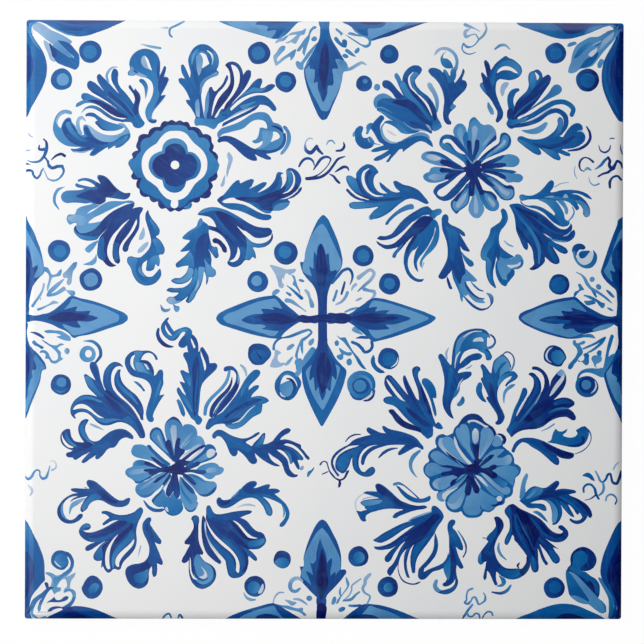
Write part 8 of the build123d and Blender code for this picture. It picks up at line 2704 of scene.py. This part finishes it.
def brush_streaks():
    """Streaks that a loaded brush leaves along its stroke."""
    group, entry, out = new_group(
        "brush_streaks",
        {"Vector": ("Vector", (0, 0, 0)), "Stroke": ("Vector", (1, 0, 0)), "Fineness": ("Float", 900.0)},
        {"Streak": "Float", "Wash": "Float"},
    )
    along = group.nodes.new("ShaderNodeVectorMath")
    along.operation = "DOT_PRODUCT"
    group.links.new(entry.outputs["Vector"], along.inputs[0])
    group.links.new(entry.outputs["Stroke"], along.inputs[1])
    crossing = group.nodes.new("ShaderNodeVectorMath")
    crossing.operation = "CROSS_PRODUCT"
    group.links.new(entry.outputs["Vector"], crossing.inputs[0])
    group.links.new(entry.outputs["Stroke"], crossing.inputs[1])
    side = group.nodes.new("ShaderNodeSeparateXYZ")
    group.links.new(crossing.outputs[0], side.inputs[0])
    coarse = calculated(group, "MULTIPLY", entry.outputs["Fineness"], 0.1)
    run = calculated(group, "MULTIPLY", along.outputs["Value"], coarse)
    across = calculated(group, "MULTIPLY", side.outputs["Z"], entry.outputs["Fineness"])
    sheet = group.nodes.new("ShaderNodeCombineXYZ")
    group.links.new(run, sheet.inputs["X"])
    group.links.new(across, sheet.inputs["Y"])
    streak = noise(group, sheet.outputs[0], scale=1.0, roughness=0.6)
    wash = noise(group, entry.outputs["Vector"], scale=150.0, roughness=0.55)
    group.links.new(streak, out.inputs["Streak"])
    group.links.new(wash, out.inputs["Wash"])
    return group


def fired_clay():
    """Pressed earthenware: sandy grain, small pores and iron specks."""
    group, entry, out = new_group(
        "fired_clay",
        {"Vector": ("Vector", (0, 0, 0)), "Grain": ("Float", 1400.0)},
        {"Color": "Color", "Height": "Float", "Roughness": "Float"},
    )
    place = entry.outputs["Vector"]
    grain = noise(group, place, entry.outputs["Grain"], detail=4.0, roughness=0.7)
    patchy = noise(group, place, scale=45.0, detail=4.0, roughness=0.6)
    pores = group.nodes.new("ShaderNodeTexVoronoi")
    pores.inputs["Scale"].default_value = 700.0
    group.links.new(place, pores.inputs["Vector"])
    pore = ranged(group, pores.outputs["Distance"], 0.05, 0.22, 1.0, 0.0)
    specks = ranged(group, noise(group, place, scale=1900.0, detail=1.0), 0.70, 0.76)
    body = mixed(group, ranged(group, patchy, 0.35, 0.68), dark_buff, light_buff)
    body = mixed(group, ranged(group, grain, 0.3, 0.75, 0.0, 0.45), body, sand)
    body = mixed(group, calculated(group, "MULTIPLY", pore, 0.5), body, pore_shade)
    body = mixed(group, calculated(group, "MULTIPLY", specks, 0.7), body, iron_speck)
    height = calculated(group, "SUBTRACT", grain, calculated(group, "MULTIPLY", pore, 0.8))
    group.links.new(body, out.inputs["Color"])
    group.links.new(height, out.inputs["Height"])
    group.links.new(ranged(group, grain, 0.2, 0.8, 0.72, 0.92), out.inputs["Roughness"])
    return group


def placed(tree, group, values, **links):
    """A shader group placed in a material, with its own values."""
    node = tree.nodes.new("ShaderNodeGroup")
    node.node_tree = group
    for name, value in values.items():
        node.inputs[name].default_value = value
    for name, socket in links.items():
        tree.links.new(socket, node.inputs[name])
    return node


def new_material(name):
    """An empty material. Returns it with its tree, its shader and Object coordinates."""
    material = bpy.data.materials.new(name)
    material.use_nodes = True
    tree = material.node_tree
    shader = tree.nodes["Principled BSDF"]
    place = tree.nodes.new("ShaderNodeTexCoord").outputs["Object"]
    return material, tree, shader, place


def bumped(tree, shader, height, distance):
    """Feeds a height to the shader's normal."""
    bump = tree.nodes.new("ShaderNodeBump")
    bump.inputs["Distance"].default_value = distance
    bump.inputs["Strength"].default_value = 1.0
    tree.links.new(height, bump.inputs["Height"])
    tree.links.new(bump.outputs["Normal"], shader.inputs["Normal"])


def painted_glaze(pool, streaks):
    """White tin glaze with the cobalt painting melted into it."""
    material, tree, shader, place = new_material("painted_glaze")
    paint = tree.nodes.new("ShaderNodeAttribute")
    paint.attribute_name = "paint"
    stroke = tree.nodes.new("ShaderNodeAttribute")
    stroke.attribute_name = "stroke"
    glaze = placed(tree, pool, {"Swell": 0.5, "Peel": 0.12, "Pinholes": 0.3}, Vector=place)
    brushed = placed(
        tree, streaks, {"Fineness": 1500.0}, Vector=place, Stroke=stroke.outputs["Vector"]
    )
    depth = tree.nodes.new("ShaderNodeSeparateColor")
    tree.links.new(paint.outputs["Color"], depth.inputs["Color"])
    blue = ranged(tree, depth.outputs["Red"], 0.45, 0.8, 1.0, 0.0)
    streak = brushed.outputs["Streak"]
    wash = brushed.outputs["Wash"]
    thin = calculated(tree, "MULTIPLY", ranged(tree, streak, 0.5, 0.8, 0.0, 0.13), blue)
    thick = calculated(tree, "MULTIPLY", ranged(tree, streak, 0.5, 0.25, 0.0, 0.12), blue)
    deep = calculated(tree, "MULTIPLY", ranged(tree, wash, 0.52, 0.36, 0.0, 0.14), blue)
    pale = calculated(tree, "MULTIPLY", ranged(tree, wash, 0.5, 0.7, 0.0, 0.10), blue)
    colour = mixed(tree, thin, paint.outputs["Color"], thin_streak)
    colour = mixed(tree, pale, colour, pale_wash)
    colour = mixed(tree, thick, colour, thick_streak)
    colour = mixed(tree, deep, colour, deep_wash)
    bare = calculated(tree, "SUBTRACT", 1.0, blue)
    cloud = ranged(tree, glaze.outputs["Cloud"], 0.35, 0.7, 0.0, 0.35)
    cloud = calculated(tree, "MULTIPLY", cloud, bare)
    colour = mixed(tree, cloud, colour, cloudy_white)
    tree.links.new(colour, shader.inputs["Base Color"])
    tree.links.new(glaze.outputs["Roughness"], shader.inputs["Roughness"])
    relief = calculated(tree, "ADD", glaze.outputs["Height"], calculated(tree, "MULTIPLY", blue, 0.10))
    bumped(tree, shader, relief, distance=0.00008)
    return material


def dipped_side(pool, clay):
    """The side: glaze that ran over the lip, then bare clay."""
    material, tree, shader, place = new_material("dipped_side")
    glaze = placed(tree, pool, {"Swell": 1.0, "Peel": 0.25, "Pinholes": 0.6}, Vector=place)
    body = placed(tree, clay, {"Grain": 1400.0}, Vector=place)
    split = tree.nodes.new("ShaderNodeSeparateXYZ")
    tree.links.new(place, split.inputs[0])
    runs = noise(tree, place, scale=70.0, detail=4.0, roughness=0.62)
    edge = calculated(tree, "ADD", 0.0010, calculated(tree, "MULTIPLY", runs, 0.0062))
    gap = calculated(tree, "SUBTRACT", split.outputs["Z"], edge)
    cover = ranged(tree, gap, -0.00012, 0.00022)
    thin = ranged(tree, gap, 0.0, 0.0011, 0.55, 0.0)
    coat = mixed(tree, thin, side_glaze, thin_side_glaze)
    colour = mixed(tree, cover, body.outputs["Color"], coat)
    tree.links.new(colour, shader.inputs["Base Color"])
    rough = ranged(tree, cover, 0, 1, body.outputs["Roughness"], glaze.outputs["Roughness"], False)
    tree.links.new(rough, shader.inputs["Roughness"])
    grain = calculated(tree, "MULTIPLY", body.outputs["Height"], 0.5)
    coating = calculated(tree, "ADD", glaze.outputs["Height"], 1.0)
    height = ranged(tree, cover, 0, 1, grain, coating, False)
    bumped(tree, shader, height, distance=0.00015)
    return material


def bare_back(clay):
    """The unglazed back, dusted with pale slip on its ribs."""
    material, tree, shader, place = new_material("bare_back")
    body = placed(tree, clay, {"Grain": 1100.0}, Vector=place)
    split = tree.nodes.new("ShaderNodeSeparateXYZ")
    tree.links.new(place, split.inputs[0])
    dust = noise(tree, place, scale=90.0, detail=5.0, roughness=0.7)
    ribs = ranged(tree, split.outputs["Z"], 0.00035, 0.00002, 0.0, 0.55)
    dust = calculated(tree, "MULTIPLY", ranged(tree, dust, 0.42, 0.66), ribs)
    colour = mixed(tree, dust, body.outputs["Color"], slip_dust)
    tree.links.new(colour, shader.inputs["Base Color"])
    tree.links.new(body.outputs["Roughness"], shader.inputs["Roughness"])
    bumped(tree, shader, body.outputs["Height"], distance=0.00022)
    return material


# The body under the glaze


def stepped_in(x, y, inset):
    """A point of the outline, moved in with the outline's corners kept round."""
    straight = tile_half - sheet_inset - corner_radius
    moved = []
    for value in (x, y):
        size = abs(value)
        if size <= straight:
            size *= (straight - inset) / straight
        else:
            size -= inset
        moved.append(math.copysign(size, value))
    return moved


def rim_of(shell):
    """The open edge of a sheet, as vertices in order round it."""
    open_edges = [edge for edge in shell.edges if edge.is_boundary]
    edge = open_edges[0]
    loop = edge.link_loops[0]
    start = loop.vert
    here = edge.other_vert(start)
    rim = [start, here]
    while True:
        edge = next(e for e in here.link_edges if e.is_boundary and e is not edge)
        here = edge.other_vert(here)
        if here is start:
            return rim
        rim.append(here)


def pocket_mesh():
    """One pocket of the key relief, open at the plane of the back."""
    pocket = bmesh.new()
    levels = (
        (0.0, 0.0),
        (key_depth - 0.2, key_inset * 0.78),
        (key_depth - 0.05, key_inset),
        (key_depth, key_inset + 0.25),
    )
    rings = []
    for height, inset in levels:
        outline = rounded_square(key_half - inset, key_corner_radius - inset, 5)
        rings.append([pocket.verts.new((x * MM, y * MM, height * MM)) for x, y in outline])
    for lower, upper in zip(rings, rings[1:]):
        for k in range(len(lower)):
            n = (k + 1) % len(lower)
            pocket.faces.new((lower[n], lower[k], upper[k], upper[n]))
    pocket.faces.new(rings[-1][::-1])
    mesh = bpy.data.meshes.new("key_pocket")
    pocket.to_mesh(mesh)
    pocket.free()
    return mesh


def closed_tile(face, pockets, side, back):
    """Joins the lifted sheet, the side walls, the back plate and its pockets into one closed body."""
    shell = bmesh.new()
    shell.from_mesh(face)
    rim = rim_of(shell)
    plan = [(v.co.x / MM, v.co.y / MM) for v in rim]
    lean = math.atan(draft)
    levels = (
        (lip_inset - lip_radius * math.cos(lean), lip_middle - lip_radius * math.sin(lean)),
        *((draft * (lip_height - height), height) for height in (4.0, 2.0, foot_break)),
        (draft_inset + foot_break, 0.0),
    )
    above = rim
    for inset, height in levels:
        ring = []
        for x, y in plan:
            px, py = stepped_in(x, y, inset - sheet_inset)
            ring.append(shell.verts.new((px * MM, py * MM, height * MM)))
        for k in range(len(ring)):
            n = (k + 1) % len(ring)
            wall = shell.faces.new((above[k], above[n], ring[n], ring[k]))
            wall.material_index = side
        above = ring
    back_plate(shell, above, back)
    start = len(shell.faces)
    shell.from_mesh(pockets)
    shell.faces.ensure_lookup_table()
    for patch_face in shell.faces[start:]:
        patch_face.material_index = back
    low = [v for v in shell.verts if v.co.z < 1e-6]
    bmesh.ops.remove_doubles(shell, verts=low, dist=2e-6)
    bmesh.ops.recalc_face_normals(shell, faces=shell.faces)
    return shell


def back_plate(shell, rim, back):
    """The plane of the back, with a hole for each pocket."""
    outline = [(v.co.x / MM, v.co.y / MM) for v in rim]
    holes = []
    for row in range(key_count):
        for column in range(key_count):
            x = (column - (key_count - 1) / 2) * key_pitch
            y = (row - (key_count - 1) / 2) * key_pitch
            holes.append(rounded_square(key_half, key_corner_radius, 5, x, y))
    groups = [anticlockwise(np.array(outline)).tolist()] + holes
    points, triangles, covers = joined_lines(groups, range(len(groups)), [])
    verts = [shell.verts.new((p[0] * MM, p[1] * MM, 0)) for p in points]
    for triangle, cover in zip(triangles, covers):
        if list(cover) == [0]:
            plate = shell.faces.new([verts[k] for k in triangle])
            plate.material_index = back


# Layout of the surface map, as shares of its sheet
sheet_margin = 0.004
face_foot = 0.18  # height of the strip under the face
back_share = 0.166
side_step = 0.204  # from one side to the next in the strip
side_run = 0.2
side_rise = 0.16


def unwrap(shell):
    """A surface map: the face fills the sheet, with the back and the sides in a strip below."""
    sheet = shell.loops.layers.uv.new("OFBake")
    reach = tile_half * MM
    face_run = 1 - 2 * sheet_margin
    face_rise = 1 - face_foot - sheet_margin
    for face in shell.faces:
        for loop in face.loops:
            x, y, z = loop.vert.co
            across = (x / reach + 1) / 2
            up = (y / reach + 1) / 2
            if face.material_index == 0:
                place = (sheet_margin + face_run * across, face_foot + face_rise * up)
            elif face.material_index == 2:
                place = (sheet_margin + back_share * across, sheet_margin + back_share * up)
            else:
                middle = face.calc_center_median()
                if abs(middle.x) > abs(middle.y):
                    part, run = (0, up) if middle.x > 0 else (1, up)
                else:
                    part, run = (2, across) if middle.y > 0 else (3, across)
                rise = side_rise * z / (tile_thickness * MM)
                place = (face_foot + side_step * part + side_run * run, sheet_margin + rise)
            loop[sheet].uv = place


pool = glaze_pool()
clay = fired_clay()
glaze_paint = painted_glaze(pool, brush_streaks())
side_coat = dipped_side(pool, clay)
back_clay = bare_back(clay)

lifted = worked_out(
    painted_sheet(),
    cushion_tree(),
    {
        "Thickness": tile_thickness * MM,
        "Cushion width": cushion_width * MM,
        "Cushion drop": cushion_drop * MM,
    },
    glaze_paint,
)
key_sizes = {"Pitch": key_pitch * MM, "Count": key_count}
relief = worked_out(pocket_mesh(), key_tree(), key_sizes, back_clay)
shell = closed_tile(lifted, relief, 1, 2)
unwrap(shell)
tile_mesh = bpy.data.meshes.new("glazed_tile")
shell.to_mesh(tile_mesh)
shell.free()
for material in (glaze_paint, side_coat, back_clay):
    tile_mesh.materials.append(material)
tile_mesh.polygons.foreach_set("use_smooth", [True] * len(tile_mesh.polygons))
tile_mesh.set_sharp_from_angle(angle=math.radians(32))
tile = bpy.data.objects.new("glazed_tile", tile_mesh)
bpy.context.collection.objects.link(tile)
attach(tile, "root")
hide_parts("tile")

# Floor, light and camera

floor_gap = 0.00005  # keeps the floor off the plane of the back's ribs
floor_whiteness = 0.98  # the rest shows the tile's shadow
room_light = 0.12  # what the room adds to the light on a surface
lit_side = (-0.94, 0.34, 0.0)  # towards the soft box that the glaze mirrors
glow_range = (-0.090, 0.034)  # where the box's glow starts and is full, as shares towards that side
box_range = (0.04, 0.075)  # where the box itself starts and is full
far_range = (0.5, 0.7)  # where it dims again


def seen_directly(tree):
    """One where the camera looks at it, straight or through something clear."""
    path = tree.nodes.new("ShaderNodeLightPath")
    return calculated(tree, "MAXIMUM", path.outputs["Is Camera Ray"], path.outputs["Is Transmission Ray"])


def mixed_value(tree, share, first, second):
    """A number between two, by a share."""
    rest = calculated(tree, "MULTIPLY", calculated(tree, "SUBTRACT", 1.0, share), first)
    return calculated(tree, "ADD", rest, calculated(tree, "MULTIPLY", share, second))


def pale_floor():
    """A pale floor that shows white, with a trace of the tile's shadow."""
    material, tree, shader, place = new_material("pale_floor")
    shader.inputs["Base Color"].default_value = floor_grey
    shader.inputs["Roughness"].default_value = 0.9
    glow = tree.nodes.new("ShaderNodeEmission")
    glow.inputs["Strength"].default_value = 1.0
    blend = tree.nodes.new("ShaderNodeMixShader")
    share = calculated(tree, "MULTIPLY", seen_directly(tree), floor_whiteness)
    tree.links.new(share, blend.inputs["Fac"])
    tree.links.new(shader.outputs[0], blend.inputs[1])
    tree.links.new(glow.outputs[0], blend.inputs[2])
    tree.links.new(blend.outputs[0], tree.nodes["Material Output"].inputs["Surface"])
    ground = bmesh.new()
    bmesh.ops.create_grid(ground, x_segments=1, y_segments=1, size=3.0)
    mesh = bpy.data.meshes.new("floor")
    ground.to_mesh(mesh)
    ground.free()
    mesh.materials.append(material)
    floor = bpy.data.objects.new("floor", mesh)
    floor.location = (0, 0, -floor_gap)
    bpy.context.collection.objects.link(floor)


def studio_sky():
    """A dim room with a soft box on the tile's left, whose glow the glaze mirrors and loses to the right."""
    world = bpy.data.worlds.new("studio")
    bpy.context.scene.world = world
    world.use_nodes = True
    tree = world.node_tree
    direction = tree.nodes.new("ShaderNodeTexCoord").outputs["Generated"]
    lean = tree.nodes.new("ShaderNodeVectorMath")
    lean.operation = "DOT_PRODUCT"
    lean.inputs[1].default_value = lit_side
    tree.links.new(direction, lean.inputs[0])
    towards = lean.outputs["Value"]
    glow = ranged(tree, towards, *glow_range, to_high=1.05, smooth=False)
    box = ranged(tree, towards, *box_range, to_high=0.5)
    level = calculated(tree, "ADD", glow, box)
    level = calculated(tree, "MULTIPLY", level, ranged(tree, towards, *far_range, 1.0, 0.25))
    path = tree.nodes.new("ShaderNodeLightPath")
    room = mixed_value(tree, path.outputs["Is Diffuse Ray"], level, room_light)
    strength = mixed_value(tree, path.outputs["Is Camera Ray"], room, 1.0)
    background = tree.nodes["Background"]
    background.inputs["Color"].default_value = (1, 1, 1, 1)
    tree.links.new(strength, background.inputs["Strength"])


def gridded_lamp(name, place, aim, size, watts, spread):
    """A square lamp with a grid before it, which fades off its aim. The glaze doesn't mirror it."""
    light = bpy.data.lights.new(name, "AREA")
    light.size = size
    light.energy = watts
    light.spread = math.radians(spread)
    stand = bpy.data.objects.new(name, light)
    stand.location = place
    stand.rotation_euler = (Vector(aim) - stand.location).to_track_quat("-Z", "Y").to_euler()
    stand.visible_glossy = False
    bpy.context.collection.objects.link(stand)


pale_floor()
studio_sky()
gridded_lamp("key", place=(-0.39, 0.197, 0.6), aim=(-0.055, 0.02, 0), size=0.25, watts=0.64, spread=60)

# The view of the photograph
view = bpy.data.cameras.new("view")
view.lens = 294.82
view.sensor_width = 36.0
view.clip_start = 0.05
view.clip_end = 20.0
camera = bpy.data.objects.new("view", view)
camera.location = (-0.05763, 0.01459, 1.35)
camera.rotation_euler = tuple(math.radians(a) for a in (-0.648, -2.423, 0.217))
bpy.context.collection.objects.link(camera)
bpy.context.scene.camera = camera
bpy.context.scene.view_settings.view_transform = "Standard"
